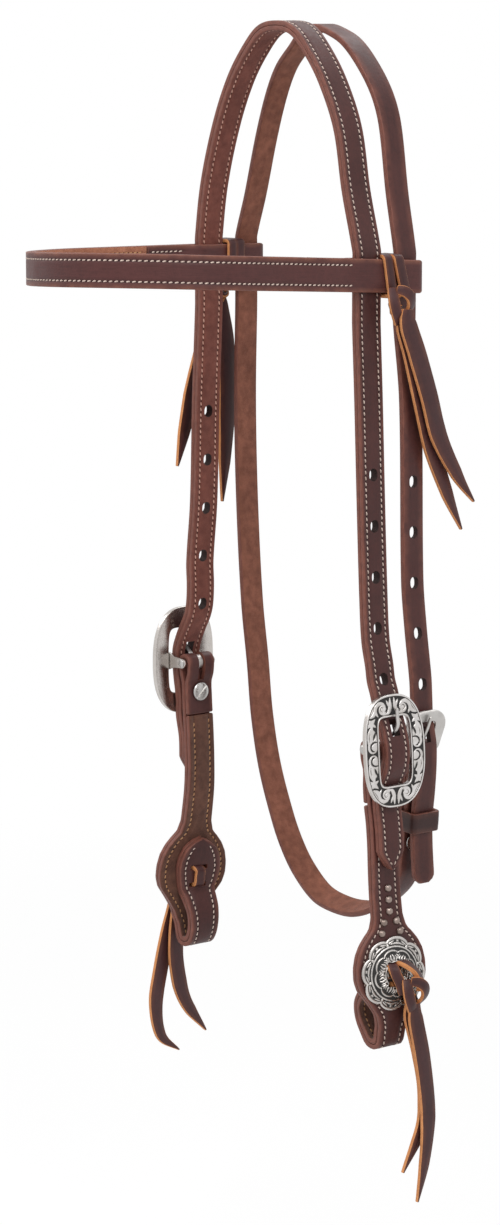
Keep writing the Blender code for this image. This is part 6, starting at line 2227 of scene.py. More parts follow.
@dataclass(frozen=True)
class Scrollwork:
    """Leaves and volutes of one quarter of the buckle's frame, mirrored to the others.

    Widths and places are in millimetres. leaves stand up in silver, and cuts are the dark
    lines between and across them.
    """

    rise: float = 0.30 * MM
    bead: float = 0.85
    rim: float = 1.0
    clear: float = 0.35
    leaves: tuple[Stroke, ...] = (
        Stroke(((3.6, 18.3, 0.6), (2.4, 19.6, 1.0), (1.6, 21.6, 1.1), (1.4, 23.6, 0.85),
                (1.25, 25.8, 0.25))),
        Stroke(((2.4, 22.4, 0.6), (3.2, 24.0, 0.55), (3.6, 25.0, 0.12))),
        Stroke(((6.4, 20.6, 2.4), (6.45, 20.6, 2.4))),
        Stroke(((6.4, 18.7, 0.6), (4.8, 18.4, 0.6), (3.4, 18.6, 0.7))),
        Stroke(((15.6, 17.6, 0.12), (14.2, 18.2, 0.8), (12.4, 19.3, 1.5), (11.5, 21.2, 1.9),
                (9.8, 22.9, 1.5), (7.7, 23.8, 0.9), (5.9, 23.4, 0.7), (5.0, 22.4, 0.7))),
        Stroke(((11.8, 21.2, 1.2), (13.2, 21.7, 0.7), (14.4, 21.6, 0.12))),
        Stroke(((10.8, 19.8, 1.1), (10.1, 18.6, 0.6), (9.5, 17.6, 0.15))),
        Stroke(((14.0, 15.0, 1.3), (15.6, 13.9, 0.8), (17.2, 12.8, 0.12))),
        Stroke(((14.0, 15.0, 1.3), (15.3, 15.9, 0.8), (16.4, 16.8, 0.12))),
        Stroke(((14.0, 15.0, 1.3), (12.6, 16.0, 0.7), (11.6, 16.9, 0.12))),
        Stroke(((13.7, 14.4, 1.0), (12.3, 13.6, 0.6), (11.4, 13.0, 0.1))),
        Stroke(((14.0, 15.0, 0.9), (14.2, 12.6, 0.9), (14.7, 10.8, 1.7), (14.4, 8.8, 2.9),
                (14.2, 6.4, 3.1))),
        Stroke(((14.1, 3.5, 3.15), (14.1, 3.55, 3.15))))
    cuts: tuple[Stroke, ...] = (
        Stroke(((0, 18.7, 0.9), (0, 19.8, 0.42), (0, 22.0, 0.34), (0, 26.0, 0.34))),
        Stroke(((7.8, 17.9, 0.1), (9.1, 19.0, 0.45), (9.5, 20.4, 0.52), (8.9, 21.9, 0.42),
                (7.3, 23.0, 0.08))),
        Stroke(((5.0, 19.6, 0.08), (3.9, 20.5, 0.36), (3.6, 21.8, 0.44), (4.2, 23.0, 0.40),
                (5.4, 24.4, 0.30))),
        Stroke(((6.4, 19.6, 0.05), (7.6, 20.6, 0.13), (6.9, 21.9, 0.13), (5.8, 21.5, 0.05))),
        Stroke(((13.5, 7.0, 0.2), (13.0, 8.3, 0.58), (12.2, 9.8, 0.5), (11.2, 11.0, 0.25))),
        Stroke(((12.9, 1.3, 0.1), (14.4, 1.7, 0.42), (15.3, 3.0, 0.34), (15.1, 4.5, 0.46),
                (13.9, 5.5, 0.42), (12.4, 5.8, 0.34), (11.0, 5.6, 0.2))),
        Stroke(((15.9, 6.2, 0.05), (16.1, 8.0, 0.12), (15.5, 10.0, 0.05))),
        Stroke(((14.6, 18.0, 0.04), (12.6, 20.2, 0.12), (11.4, 22.4, 0.05))))

    def relief(self, u: np.ndarray, v: np.ndarray, from_outer: np.ndarray,
               from_inner: np.ndarray) -> tuple[np.ndarray, np.ndarray]:
        """Rise and silver share of the frame's front.

        Args:
            u: Places across.
            v: Places along.
            from_outer: Distances from the outer edge.
            from_inner: Distances from the window.

        Returns:
            The rise and the share of silver.
        """
        across, along = np.abs(u) / MM, np.abs(v) / MM
        outer, inner = from_outer / MM, from_inner / MM
        leaf = np.minimum(widest(self.leaves, across, along), -widest(self.cuts, across, along))
        leaf = np.minimum(leaf, np.minimum(outer - self.bead, inner - self.rim) - self.clear)
        deep = np.maximum(leaf, np.maximum(self.bead - outer, self.rim - inner))
        return self.rise * ramp(deep, -0.10, 0.50), ramp(deep, -0.08, 0.05)


def widest(strokes: Sequence[Stroke], across: np.ndarray, along: np.ndarray) -> np.ndarray:
    """Deepest cover of several strokes at each place.

    Args:
        strokes: The strokes.
        across: Places across, in millimetres.
        along: Places along, in millimetres.

    Returns:
        The depths in millimetres, below zero outside them all.
    """
    deep = np.full(across.shape, -9.0)
    for stroke in strokes:
        deep = np.maximum(deep, stroke.cover(across, along))
    return deep


def oval(half_u: float, half_v: float, power: float, count: int) -> np.ndarray:
    """Outline of a full oval, evenly spaced.

    Args:
        half_u: Half width.
        half_v: Half height.
        power: How square it is.
        count: Number of points.

    Returns:
        The outline.
    """
    angles = np.linspace(0.0, math.tau, 4000, endpoint=False)
    points = []
    for value, half in ((np.cos(angles), half_u), (np.sin(angles), half_v)):
        points.append(np.sign(value) * np.abs(value) ** (2 / power) * half)
    return resampled(np.stack(points, 1), count)


@dataclass
class CheekBuckle:
    """Engraved bowed frame on two lugs, with its bar and tongue."""

    side: Side
    lug_start: float = 8.4 * MM
    lug_thick: float = 1.5 * MM
    lug_reach: float = 2.5 * MM
    lug_root: float = 4.6 * MM
    bar_head: float = 0.7 * MM
    outer_power: float = 2.6
    inner_power: float = 7.0
    columns: int = 720
    rows: int = 44

    def bowed(self, u: np.ndarray, v: np.ndarray, w: np.ndarray) -> np.ndarray:
        """Bend the flat frame towards the leather at both ends."""
        tilt, slant = self.side.lean
        out = FRAME_STAND + w - FRAME_BOW * (v / (FRAME_HEIGHT / 2)) ** 2 - tilt * v
        return np.stack([self.side.sign * (BUCKLE_SPREAD + out), u - slant * v,
                         v - self.side.drop], 1)

    def build(self) -> None:
        """Make the frame, its lugs, the bar and the tongue."""
        name = f"{self.side.name}_buckle"
        outer = oval(FRAME_WIDTH / 2, FRAME_HEIGHT / 2, self.outer_power, self.columns)
        inner = oval(WINDOW_WIDTH / 2, WINDOW_HEIGHT / 2, self.inner_power, self.columns)
        plate = RingPlate(outer, inner, FRAME_THICK, self.bowed, self.rows,
                          relief=Scrollwork().relief)
        mesh = plate.shell().mesh(f"{name}_frame", look(ENGRAVED, POLISHED), CAST_CREASE)
        Placing("crown", Slot.ENGRAVED, (f"{name}_frame",)).put(f"{name}_plate", mesh)
        Placing("crown", Slot.ENGRAVED).put(f"{name}_lugs", self.lugs(f"{name}_lugs"))
        self.build_bar(name)
        Tongue(f"{name}_tongue", f"{self.side.name}_tongue").build(
            cheek_tongue_line(), BAR_RADIUS, self.side.place)

    def lugs(self, name: str) -> bpy.types.Mesh:
        """Two ears behind the frame that hold the bar."""
        foot = [(math.cos(a) * self.lug_reach, math.sin(a) * self.lug_reach)
                for a in np.linspace(math.pi * 0.5, math.pi * 1.5, 17)]
        outline = foot + [(FRAME_STAND * 0.55, -self.lug_root * 0.62),
                          (FRAME_STAND, -self.lug_root), (FRAME_STAND, self.lug_root),
                          (FRAME_STAND * 0.55, self.lug_root * 0.62)]
        start = self.lug_start
        shells = [prism(outline, self.side.place,
                        (way * start, way * (start + self.lug_thick))) for way in (-1, 1)]
        bore = drill(BAR_RADIUS * 0.8, 20 * MM, self.side.point(0.0, 0.0, 0.0), Y_AXIS)
        mesh = cut(merged(shells).mesh(name, look(POLISHED, POLISHED)), [bore])
        return soften(mesh, 0.25 * MM)

    def build_bar(self, name: str) -> None:
        """Turned bar with peened ends."""
        end, inner = self.lug_start + self.lug_thick + GAP * 0.4, self.lug_start - GAP * 0.5
        half = [(0.0, end + self.bar_head), (BAR_RADIUS * 0.5, end + self.bar_head),
                (BAR_RADIUS * 0.85, end + self.bar_head * 0.7),
                (BAR_RADIUS * 1.02, end + self.bar_head * 0.3), (BAR_RADIUS, end),
                (BAR_RADIUS * 0.74, end), (BAR_RADIUS * 0.74, inner), (BAR_RADIUS, inner)]
        profile = [(r, -h) for r, h in half] + [(r, h) for r, h in reversed(half)]
        mesh = Turning(profile, self.side.point(0.0, 0.0, 0.0), Y_AXIS).shell().mesh(
            f"{name}_bar", look(STEEL))
        Placing("crown", Slot.STEEL, (f"{name}_bar",)).put(f"{name}_bar_peened", mesh)


def soften(mesh: bpy.types.Mesh, width: float) -> bpy.types.Mesh:
    """Round the sharp edges of a mesh.

    Args:
        mesh: Mesh to change.
        width: Width of the rounding.

    Returns:
        The same mesh.
    """
    work = bmesh.new()
    work.from_mesh(mesh)
    sharp = [e for e in work.edges
             if len(e.link_faces) == 2 and e.calc_face_angle(0.0) > math.radians(35)]
    bmesh.ops.bevel(work, geom=sharp, offset=width, segments=2, profile=0.6, affect="EDGES",
                    clamp_overlap=True)
    work.to_mesh(mesh)
    work.free()
    mesh.shade_smooth()
    mesh.set_sharp_from_angle(angle=math.radians(45.0))
    return mesh


@dataclass
class Concho:
    """Scalloped silver concho with petals, a flower, a raised ring and a dished middle.

    dome gives shares of the rise at shares of the radius. Places and widths of the chased
    lines are in millimetres: bead and lip as middle and half width, groove as its two edges
    in from the rim, ring as its two radii, hub as half height and half width, and flower as
    its radius between the petals, the height of a petal, the line's width and the field inside.
    """

    side: Side
    radius: float = 18.2 * MM
    edge: float = 1.0 * MM
    petals: int = 8
    first: float = math.radians(80.0)
    columns: int = 560
    rings: int = 84
    commas: tuple[Stroke, ...] = (
        Stroke(((0.65, 16.0, 0.2), (1.5, 15.8, 0.55), (2.6, 15.0, 0.2))),)
    fronds: tuple[Stroke, ...] = (
        Stroke(((0.3, 6.9, 0.3), (0.9, 8.2, 0.5), (0.5, 9.7, 0.2))),
        Stroke(((1.6, 6.9, 0.25), (2.3, 8.0, 0.45), (2.0, 9.3, 0.15))),
        Stroke(((2.9, 7.6, 0.2), (3.3, 8.8, 0.4), (2.9, 9.8, 0.12))))
    dome: Table = ((0.0, 0.60), (0.24, 0.60), (0.30, 0.74), (0.345, 0.99), (0.39, 0.95),
                   (0.48, 0.86), (0.60, 0.68), (0.69, 0.50), (0.74, 0.42), (0.80, 0.37),
                   (1.0, 0.26))
    bead: Pair = (14.3, 0.72)
    bead_clear: float = 0.35
    groove: Pair = (1.35, 1.75)
    line: Pair = (2.75, 0.14)
    ring: Pair = (12.9, 13.6)
    lip: Pair = (5.9, 0.75)
    hub: Pair = (2.3, 4.6)
    flower: tuple[float, float, float, float] = (10.6, 1.4, 0.7, 1.2)
    scallop: Pair = (0.115, 0.6)
    rise: float = 0.28 * MM
    roll: Pair = (0.65, 0.30 * MM)

    def petal(self, angle: np.ndarray) -> np.ndarray:
        """Angle from the middle of the nearest petal."""
        span = math.tau / self.petals
        return (angle - self.first + span / 2) % span - span / 2

    def outline(self, angle: np.ndarray) -> np.ndarray:
        """Radius of the scalloped edge at each angle."""
        depth, power = self.scallop
        lobe = np.abs(np.cos(self.petal(angle) * self.petals / 2)) ** power
        return self.radius * (1 - depth + depth * lobe)

    def pattern(self, radius: np.ndarray, angle: np.ndarray) -> tuple[np.ndarray, np.ndarray]:
        """Height and silver share of the front.

        Args:
            radius: Radius of each place.
            angle: Angle of each place.

        Returns:
            The heights and the silver shares.
        """
        share, local = radius / self.radius, self.petal(angle)
        inside = (self.outline(angle) - radius) / MM
        across, along = np.abs(local) * radius / MM, radius / MM
        height = read_rows(share, self.dome) * CONCHO_RISE
        notch = np.hypot((math.pi / self.petals - np.abs(local)) * radius / MM,
                         along - self.bead[0])
        field = np.minimum(inside - self.groove[1], along - self.bead[0])
        field = np.minimum(field, -widest(self.commas, across, along))
        field = np.minimum(field, np.abs(inside - self.line[0]) - self.line[1])
        field = np.minimum(field, notch - self.bead[1] - self.bead_clear)
        deep = np.maximum(self.groove[0] - inside, field)
        deep = np.maximum(deep, self.bead[1] - notch)
        deep = np.maximum(deep, np.minimum(along - self.ring[0], self.ring[1] - along))
        between = self.petal(angle + math.pi / self.petals)
        base, petal, wide, clear = self.flower
        flower = base + petal * np.abs(np.cos(between * self.petals / 2)) ** self.scallop[1]
        deep = np.maximum(deep, np.minimum(flower - along, along - flower + wide))
        frond = widest(self.fronds, np.abs(between) * along, along)
        deep = np.maximum(deep, np.minimum(frond, flower - clear - along))
        deep = np.maximum(deep, self.lip[1] - np.abs(along - self.lip[0]))
        hub = np.minimum(self.hub[0] - np.abs(radius * np.sin(angle)) / MM,
                         self.hub[1] - np.abs(radius * np.cos(angle)) / MM)
        deep = np.maximum(deep, hub)
        rise = self.rise * ramp(deep, -0.10, 0.45)
        half, top = self.roll
        rise = np.where(inside < 2 * half, top * (1 - (inside / half - 1) ** 2), rise)
        return height + rise, ramp(deep, -0.10, 0.05)

    def build(self) -> None:
        """Shape the concho and cut its two slots."""
        middle, out, wide, along = self.side.frame_at(-CONCHO_DROP, 0.0)
        seat = middle + out * (CHEEK_HALF + GAP)
        angle = np.linspace(0.0, math.tau, self.columns, endpoint=False)[None, :]
        rim = self.outline(angle)
        shares = np.concatenate([[0.0005, 0.97, 1.0, 1.0, 0.995],
                                 1 - np.linspace(0.012, 0.9995, self.rings)])[:, None]
        radius = rim * shares
        height, silver = self.pattern(radius, np.broadcast_to(angle, radius.shape))
        height[:4] = np.array([[0.0], [0.0], [0.12 * MM], [self.edge * 0.8]])
        axes = [np.array(tuple(v)) for v in (seat, wide, along, out)]
        u, v = radius * np.cos(angle), radius * np.sin(angle)
        points = (axes[0] + u[..., None] * axes[1] + v[..., None] * axes[2]
                  + height[..., None] * axes[3]).reshape(-1, 3)
        faces = grid_faces(len(shares), self.columns, True, False)
        last = (len(shares) - 1) * self.columns
        faces += [tuple(range(self.columns)), tuple(range(last, last + self.columns))]
        slots = [1] * self.columns + [0] * (len(faces) - self.columns - 2) + [1, 0]
        flat = np.stack([u.reshape(-1), v.reshape(-1)], 1)
        marks = {"silver": silver.reshape(-1)}
        name = f"{self.side.name}_concho"
        shell = Shell(points, faces, slots, flat, marks)
        mesh = shell.mesh(name, look(ANTIQUE, POLISHED), CAST_CREASE)
        mesh = cut(mesh, CheekPiece(self.side).slots())
        Placing(f"{self.side.name}_cheek", Slot.ENGRAVED, (name,)).put(f"{name}_cast", mesh)


def read_rows(place: np.ndarray, table: Sequence[Pair]) -> np.ndarray:
    """Read smooth values between the rows of a table, for an array of places.

    Args:
        place: Where to read.
        table: Rows of place and value, rising.

    Returns:
        The values.
    """
    found = np.full(place.shape, table[0][1])
    for (low, first), (high, second) in zip(table, table[1:]):
        found = np.where(place >= low, first + (second - first) * ramp(place, low, high), found)
    return found


@dataclass
class Spots:
    """Seven domed spots in a Y above the concho."""

    side: Side
    radius: float = 1.9 * MM
    rise: float = 1.45 * MM
    clear: float = 10.0 * MM
    pitch: float = 5.8 * MM
    spread: float = 3.6 * MM
    flare: float = 5.2 * MM

    def build(self) -> None:
        """Turn and place the spots."""
        places = [(0.0, step * self.pitch) for step in range(3)]
        places += [(way * self.spread, 2.9 * self.pitch) for way in (-1, 1)]
        places += [(way * self.flare, 3.8 * self.pitch) for way in (-1, 1)]
        dome = [(0, -GAP * 0.8), (self.radius * 0.97, -GAP * 0.8), (self.radius, 0.0),
                (self.radius * 0.98, 0.15 * MM)]
        dome += [(self.radius * 0.92 * math.cos(a), 0.2 * MM
                  + (self.rise - 0.2 * MM) * math.sin(a)) for a in np.linspace(0.1, 1.45, 9)]
        dome.append((0, self.rise))
        for index, (across, down) in enumerate(places):
            middle, out, _, _ = self.side.frame_at(-BILLET_DROP - self.clear - down, across)
            name = f"{self.side.name}_spot_{index + 1}"
            mesh = Turning(dome, middle + out * (CHEEK_HALF + GAP), out, 28).shell().mesh(
                name, look(NICKEL), 50.0)
            Placing(f"{self.side.name}_cheek", Slot.NICKEL, (name,)).put(f"{name}_dome", mesh)


@dataclass
class Tail:
    """Flat thong end that swings at its knot.

    route gives shares of the length back and up, taper shares of the width along the tail.
    """

    name: str
    route: Table
    length: float
    width: float
    twist: float = math.radians(7.0)
    lift: float = 5.5 * MM
    taper: Table = ((0.0, 0.60), (0.08, 0.92), (0.25, 1.0), (0.60, 1.0), (0.82, 0.66),
                    (1.0, 0.09))

    def build(self, root: Vector) -> None:
        """Sweep the tail from its root."""
        points = [root + Vector((0.0, a * self.length, b * self.length)) for a, b in self.route]
        points.insert(0, root + Z_AXIS * self.lift)
        run = smooth(points, 2.0 * MM)
        halves, across = [], []
        for index in range(len(run)):
            share = index / (len(run) - 1)
            flat = passing(run, index).normalized().cross(X_AXIS).normalized()
            turn = self.twist * math.sin(share * math.pi * 0.8)
            across.append(flat * math.cos(turn) + X_AXIS * math.sin(turn))
            halves.append(self.width / 2 * read_shares(self.taper, share))
        thin = THONG_THICK / 2
        strip = Ribbon(run, across, halves, (-thin, thin), bevel=0.35 * MM, crown=0.15 * MM)
        mesh = strip.shell().mesh(self.name, look(*THONG_SIDES))
        Placing(self.name, Slot.THONG, (self.name,)).put(f"{self.name}_strip", mesh)


@dataclass
class Knot:
    """Knot of a flat thong: bands that cross over the strand they tie.

    Each row gives the place across, up and outwards and the half width, in millimetres.
    """

    body: str
    bands: tuple[tuple[tuple[float, float, float, float], ...], ...] = (
        ((-4.4, 8.0, 0.2, 2.2), (-5.2, 4.0, 2.2, 2.6), (-5.0, 0.0, 3.1, 2.8),
         (-3.4, -4.5, 2.7, 2.7), (-0.6, -9.0, 0.6, 2.2)),
        ((-3.0, 7.4, 2.2, 2.1), (0.6, 6.4, 3.8, 2.6), (4.0, 3.4, 4.2, 2.8),
         (5.6, -1.0, 2.4, 2.9), (4.6, -4.6, -0.6, 2.8), (1.6, -3.8, -3.2, 2.8),
         (-2.4, -0.2, -3.4, 2.4)),
        ((3.2, -1.4, -2.0, 2.4), (2.2, -4.0, -0.8, 3.0), (1.2, -8.0, 0.0, 3.4)))

    def build(self, name: str, centre: Vector, out: Vector) -> None:
        """Lay every band of the knot.

        Args:
            name: Name of the piece.
            centre: Middle of the knot.
            out: Outward direction.
        """
        shells = []
        for band in self.bands:
            rows = smooth([Vector(row) * MM for row in band], 1.1 * MM)
            run = [centre + Y_AXIS * row[0] + Z_AXIS * row[1] + out * row[2] for row in rows]
            across = []
            for index, row in enumerate(rows):
                face = Y_AXIS * (row[0] * 0.3) + out * (row[2] + 3.0 * MM)
                across.append(passing(run, index).cross(face).normalized())
            shells.append(Ribbon(run, across, [row[3] for row in rows],
                                 (-THONG_THICK / 2, THONG_THICK / 2), bevel=0.4 * MM,
                                 crown=0.15 * MM).shell())
        mesh = merged(shells).mesh(name, look(*THONG_SIDES))
        Placing(self.body, Slot.THONG).put(name, mesh)


@dataclass
class BrowTie:
    """Thong round the browband between the straps, knotted outside below it.

    Each strand gives its places back on the inside and at the top and bottom of the outside,
    how far it stands off there, and its half width, in millimetres.
    """

    side: Side
    length: float = 104.0 * MM
    tail_width: float = 11.0 * MM
    knot_drop: float = 13.2 * MM
    middle: float = (CROWN_WIDTH / 2 + THROAT_BACK - THROAT_WIDTH / 2) / 2
    strands: tuple[tuple[float, float, float, float, float], ...] = (
        (-2.4, -4.4, -1.4, 0.0, 2.6), (2.4, 1.4, 6.0, 0.9, 2.8))
    knot_shift: float = 2.4 * MM

    def build(self) -> None:
        """Wrap the band, tie the knot and hang both tails."""
        sign = self.side.sign
        low = LEG_SPREAD - CROWN_HALF - GAP - BROW_LAYER - GAP
        high = LEG_SPREAD + CROWN_HALF + GAP + BROW_LAYER + GAP
        tall, half, thin = BROW_WIDTH / 2 + GAP * 2, (high - low) / 2, THONG_THICK / 2
        height = brow_height(sign * LEG_SPREAD, self.middle)
        flat = resampled(rounded_frame(half + thin, -tall - thin, tall + thin,
                                       THONG_THICK * 0.9, THONG_THICK * 0.9, 8), 110)
        wraps = []
        for inside, top, bottom, proud, wide in self.strands:
            run = []
            for u, v in flat:
                front, down = clamp(u / half), clamp((tall - v) / (2 * tall))
                shift = inside + front * (top + (bottom - top) * down - inside)
                reach = (high + low) / 2 + u + front * proud * MM
                run.append(Vector((sign * reach, self.middle + shift * MM, height + v)))
            wraps.append(Ribbon(run, Y_AXIS * sign, [wide * MM] * len(run), (-thin, thin),
                                bevel=0.4 * MM, crown=0.15 * MM, closed=True).shell())
        name = f"{self.side.name}_brow_tie"
        mesh = merged(wraps).mesh(name, look(*THONG_SIDES))
        Placing("browband", Slot.THONG, (name,)).put(f"{name}_wrap", mesh)
        outside = high + THONG_THICK * 0.2
        centre = Vector((sign * (outside + KNOT_DEPTH / 2), self.middle + THONG_THICK,
                         height - self.knot_drop))
        Knot("browband").build(f"{name}_knot", centre - Y_AXIS * self.knot_shift, X_AXIS * sign)
        root = height - self.knot_drop - KNOT_HEIGHT / 2 - GAP * 2
        layers = ((outside + KNOT_DEPTH - THONG_THICK * 0.2, "front"),
                  (outside + KNOT_DEPTH - THONG_THICK * 1.9, "rear"))
        for route, (reach, label) in zip(self.side.brow_tails, layers):
            Tail(f"{self.side.name}_brow_tail_{label}", route, self.length,
                 self.tail_width).build(Vector((sign * reach, centre.y, root)))


@dataclass
class ConchoTie:
    """Thong through cheek, concho and inner tab, knotted over the concho."""

    side: Side
    length: float = 96.0 * MM
    tail_width: float = 9.6 * MM
    knot_drop: float = 13.0 * MM
    knot_lift: float = 2.5 * MM
    strand: float = 2.6 * MM
    thick: float = 2.4 * MM
    roll: float = math.radians(42.0)

    def build(self) -> None:
        """Lead the thong through the slots, tie the knot and hang both tails."""
        side = self.side
        middle, out, wide, along = side.frame_at(-CONCHO_DROP, 0.0)
        front = CHEEK_HALF + GAP + CONCHO_RISE + GAP
        back = -TAB_DROP - CHEEK_HALF - GAP
        half, knot = TIE_PITCH / 2, side.knot

        def place(up: float, level: float, across: float) -> Vector:
            """Point over the concho."""
            return middle + along * up + out * level + wide * across

        left = [(-9.5 * MM, front + 2.4 * MM, knot - 5.2 * MM),
                (-5.0 * MM, front + 2.2 * MM, knot - 6.6 * MM),
                (0.0, front + 1.6 * MM, -1.6 * MM), (3.2 * MM, front + 0.6 * MM, -2.5 * MM),
                (half, front - 2.0 * MM, -2.4 * MM), (half, 0.0, -2.2 * MM),
                (half, back + 1.5 * MM, -1.0 * MM), (half - 1.2 * MM, back - 0.9 * MM, 0.0),
                (0.0, back - 0.9 * MM, 0.0), (1.2 * MM - half, back - 0.9 * MM, 0.0),
                (-half, back + 1.5 * MM, 0.0), (-half, 0.0, 0.0), (-half, front - 3.0 * MM, 0.0),
                (-half - 1.2 * MM, front - 2.6 * MM, 0.8 * MM),
                (-half - 3.6 * MM, front - 2.0 * MM, knot * 0.3)]
        right = [(-9.0 * MM, front + 3.0 * MM, knot + 3.4 * MM),
                 (-4.0 * MM, front + 3.6 * MM, knot + 3.6 * MM),
                 (0.2 * MM, front + 3.4 * MM, knot + 1.6 * MM),
                 (3.6 * MM, front + 2.6 * MM, knot * 0.75),
                 (half + 0.6 * MM, front + 0.4 * MM, 3.2 * MM),
                 (half, front - 2.0 * MM, 2.6 * MM), (half, 0.5 * MM, 2.4 * MM)]
        name = f"{side.name}_concho_tie"
        shell = self.strip(left, place, -self.roll).joined(self.strip(right, place, self.roll))
        mesh = shell.mesh(name, look(*THONG_SIDES))
        Placing(f"{side.name}_cheek", Slot.THONG, (name,)).put(f"{name}_strands", mesh)
        centre = middle + out * (front + KNOT_DEPTH * 0.52)
        centre += Y_AXIS * knot - Z_AXIS * self.knot_drop
        Knot(f"{side.name}_cheek").build(f"{name}_knot", centre + Z_AXIS * self.knot_lift,
                                         X_AXIS * side.sign)
        root = centre - Z_AXIS * (KNOT_HEIGHT / 2 + GAP)
        for route, (shift, label) in zip(side.concho_tails, ((0.9, "front"), (-0.9, "rear"))):
            Tail(f"{side.name}_concho_tail_{label}", route, self.length,
                 self.tail_width).build(root + X_AXIS * (side.sign * shift * THONG_THICK))

    def strip(self, points: Sequence[tuple[float, float, float]],
              place: Callable[[float, float, float], Vector], roll: float) -> Shell:
        """Sweep one strand, rolled on its side where it stands over the concho.

        Args:
            points: Its line as up, level and across.
            place: Turns those into a point.
            roll: Angle of the roll over the concho.

        Returns:
            The strand's shell.
        """
        run = spaced(smooth([place(*p) for p in points], 1.2 * MM), 0.4 * MM)
        middle, out, wide, _ = self.side.frame_at(-CONCHO_DROP, 0.0)
        across = []
        for point in run:
            proud = clamp(((point - middle).dot(out) - CHEEK_HALF - CONCHO_RISE) / CONCHO_RISE)
            angle = roll * proud
            across.append((wide * math.cos(angle) - out * math.sin(angle)) * self.side.sign)
        thin = self.thick / 2
        return Ribbon(run, across, [self.strand] * len(run), (-thin, thin),
                      bevel=0.35 * MM).shell()


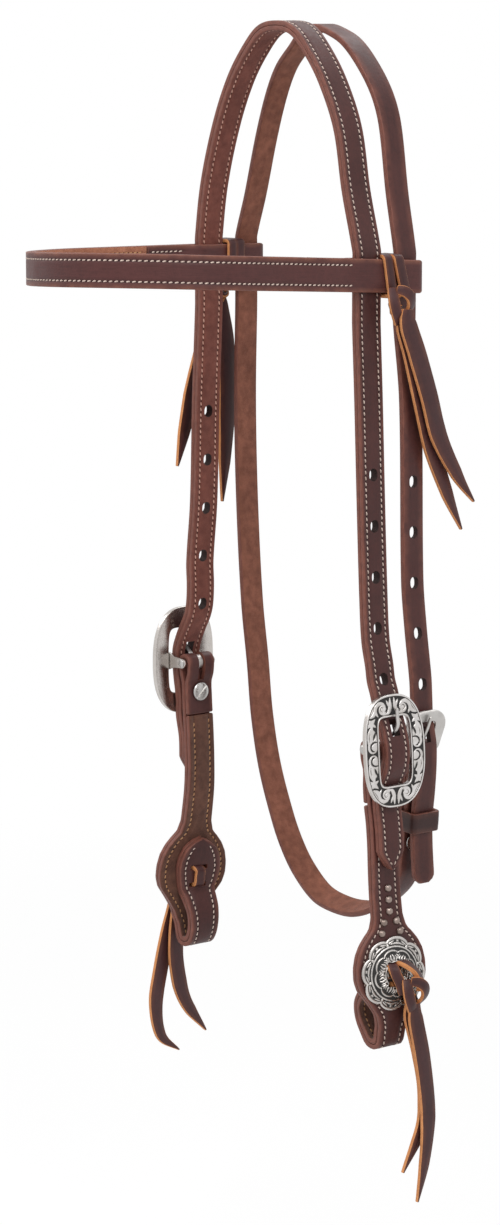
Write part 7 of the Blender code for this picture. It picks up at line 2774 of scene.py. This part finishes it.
@dataclass
class Studio:
    """Camera, floor, backdrop light and lamps.

    Each lamp gives its turn and rise in degrees, its distance and its power.
    """

    target: Vector = field(default_factory=lambda: Vector((-0.0109, -0.0135, -0.284)))
    azimuth: float = math.radians(51.0)
    elevation: float = math.radians(9.2)
    distance: float = 1.8
    lens: float = 107.1
    sensor: float = 36.0
    floor: float = -0.64
    floor_reach: float = 4.0
    lamp_size: float = 0.9
    ambient: float = 0.55
    lamps: tuple[tuple[float, float, float, float], ...] = (
        (10.0, 55.0, 1.4, 9.0), (75.0, 40.0, 1.5, 7.0), (-60.0, 35.0, 1.7, 6.0),
        (200.0, 60.0, 1.6, 6.0))

    def build(self) -> None:
        """Set up the view and the light."""
        scene = bpy.context.scene
        scene.view_settings.view_transform = "Standard"
        self.place_camera(scene)
        self.lay_floor()
        self.light_world(scene)
        for turn, rise, away, power in self.lamps:
            self.hang_lamp(math.radians(turn), math.radians(rise), away, power)

    def aim(self, turn: float, rise: float) -> Vector:
        """Direction from the target at a turn round it and a rise."""
        return Vector((math.sin(turn) * math.cos(rise), -math.cos(turn) * math.cos(rise),
                       math.sin(rise)))

    def place_camera(self, scene: bpy.types.Scene) -> None:
        """Put the camera at the photo's angle."""
        lens = bpy.data.cameras.new("camera")
        lens.lens = self.lens
        lens.sensor_width = self.sensor
        camera = bpy.data.objects.new("camera", lens)
        away = self.aim(self.azimuth, self.elevation)
        camera.location = self.target + away * self.distance
        camera.rotation_euler = away.to_track_quat("Z", "Y").to_euler()
        scene.collection.objects.link(camera)
        scene.camera = camera

    def lay_floor(self) -> None:
        """Pale floor that keeps the shadow but looks nearly white."""
        mesh, reach = bpy.data.meshes.new("floor"), self.floor_reach
        mesh.from_pydata([(x * reach, y * reach, self.floor) for x, y in
                          ((-1, -1), (1, -1), (1, 1), (-1, 1))], [], [(0, 1, 2, 3)])
        made = bpy.data.materials.new("pale floor")
        made.use_nodes = True
        w = Wiring(made.node_tree)
        shader = made.node_tree.nodes["Principled BSDF"]
        where = w.add("ShaderNodeTexCoord").outputs["Object"]
        tone = w.spread(w.noise(where, 3.0), 0.3, 0.7, 0.86, 0.89)
        w.fill(shader, {"Base Color": tone, "Roughness": 0.9})
        glow = w.add("ShaderNodeEmission", {"Color": WHITE, "Strength": 1.0})
        mix = w.add("ShaderNodeMixShader")
        away = w.add("ShaderNodeVectorMath", {0: where}, operation="LENGTH").outputs["Value"]
        w.fill(mix, {0: w.math("MULTIPLY", self.seen(w), w.spread(away, 0.7, 1.3, 0.8)),
                     1: shader.outputs[0], 2: glow.outputs[0]})
        w.feed(made.node_tree.nodes["Material Output"].inputs["Surface"], mix.outputs[0])
        mesh.materials.append(made)
        floor = bpy.data.objects.new("floor", mesh)
        bpy.context.scene.collection.objects.link(floor)

    def seen(self, w: Wiring) -> bpy.types.NodeSocket:
        """Whether a ray shows the background: seen straight, mirrored or through glass."""
        path = w.add("ShaderNodeLightPath")
        either = w.math("MAXIMUM", path.outputs["Is Camera Ray"], path.outputs["Is Glossy Ray"])
        return w.math("MAXIMUM", either, path.outputs["Is Transmission Ray"])

    def light_world(self, scene: bpy.types.Scene) -> None:
        """White where it is seen, softer grey where it lights the object."""
        world = bpy.data.worlds.new("studio")
        world.use_nodes = True
        w = Wiring(world.node_tree)
        ground = world.node_tree.nodes["Background"]
        white = w.add("ShaderNodeBackground", {"Color": WHITE, "Strength": 1.0})
        w.fill(ground, {"Color": WHITE, "Strength": self.ambient})
        mix = w.add("ShaderNodeMixShader")
        w.fill(mix, {0: self.seen(w), 1: ground.outputs[0], 2: white.outputs[0]})
        w.feed(world.node_tree.nodes["World Output"].inputs["Surface"], mix.outputs[0])
        scene.world = world

    def hang_lamp(self, turn: float, rise: float, away: float, power: float) -> None:
        """Hang one soft lamp that faces the object.

        Args:
            turn: Turn round the object, from straight in front.
            rise: Angle above it.
            away: Distance.
            power: Power in watts.
        """
        lamp = bpy.data.lights.new("lamp", "AREA")
        lamp.shape = "DISK"
        lamp.size = self.lamp_size
        lamp.energy = power
        holder = bpy.data.objects.new("lamp", lamp)
        way = self.aim(turn, rise)
        holder.location = self.target + way * away
        holder.rotation_euler = way.to_track_quat("Z", "Y").to_euler()
        bpy.context.scene.collection.objects.link(holder)


def main() -> None:
    """Build every assembly and light it."""
    logging.basicConfig(level=logging.INFO, format="%(message)s")
    CrownStrap().build()
    Browband().build()
    Throatlatch().build()
    for side in (NEAR, FAR):
        LOG.info("%s side", side.name)
        for assembly in (CheekPiece, CheekBuckle, Concho, Spots, BrowTie, ConchoTie):
            assembly(side).build()
    Studio().build()


if __name__ == "__main__":
    main()
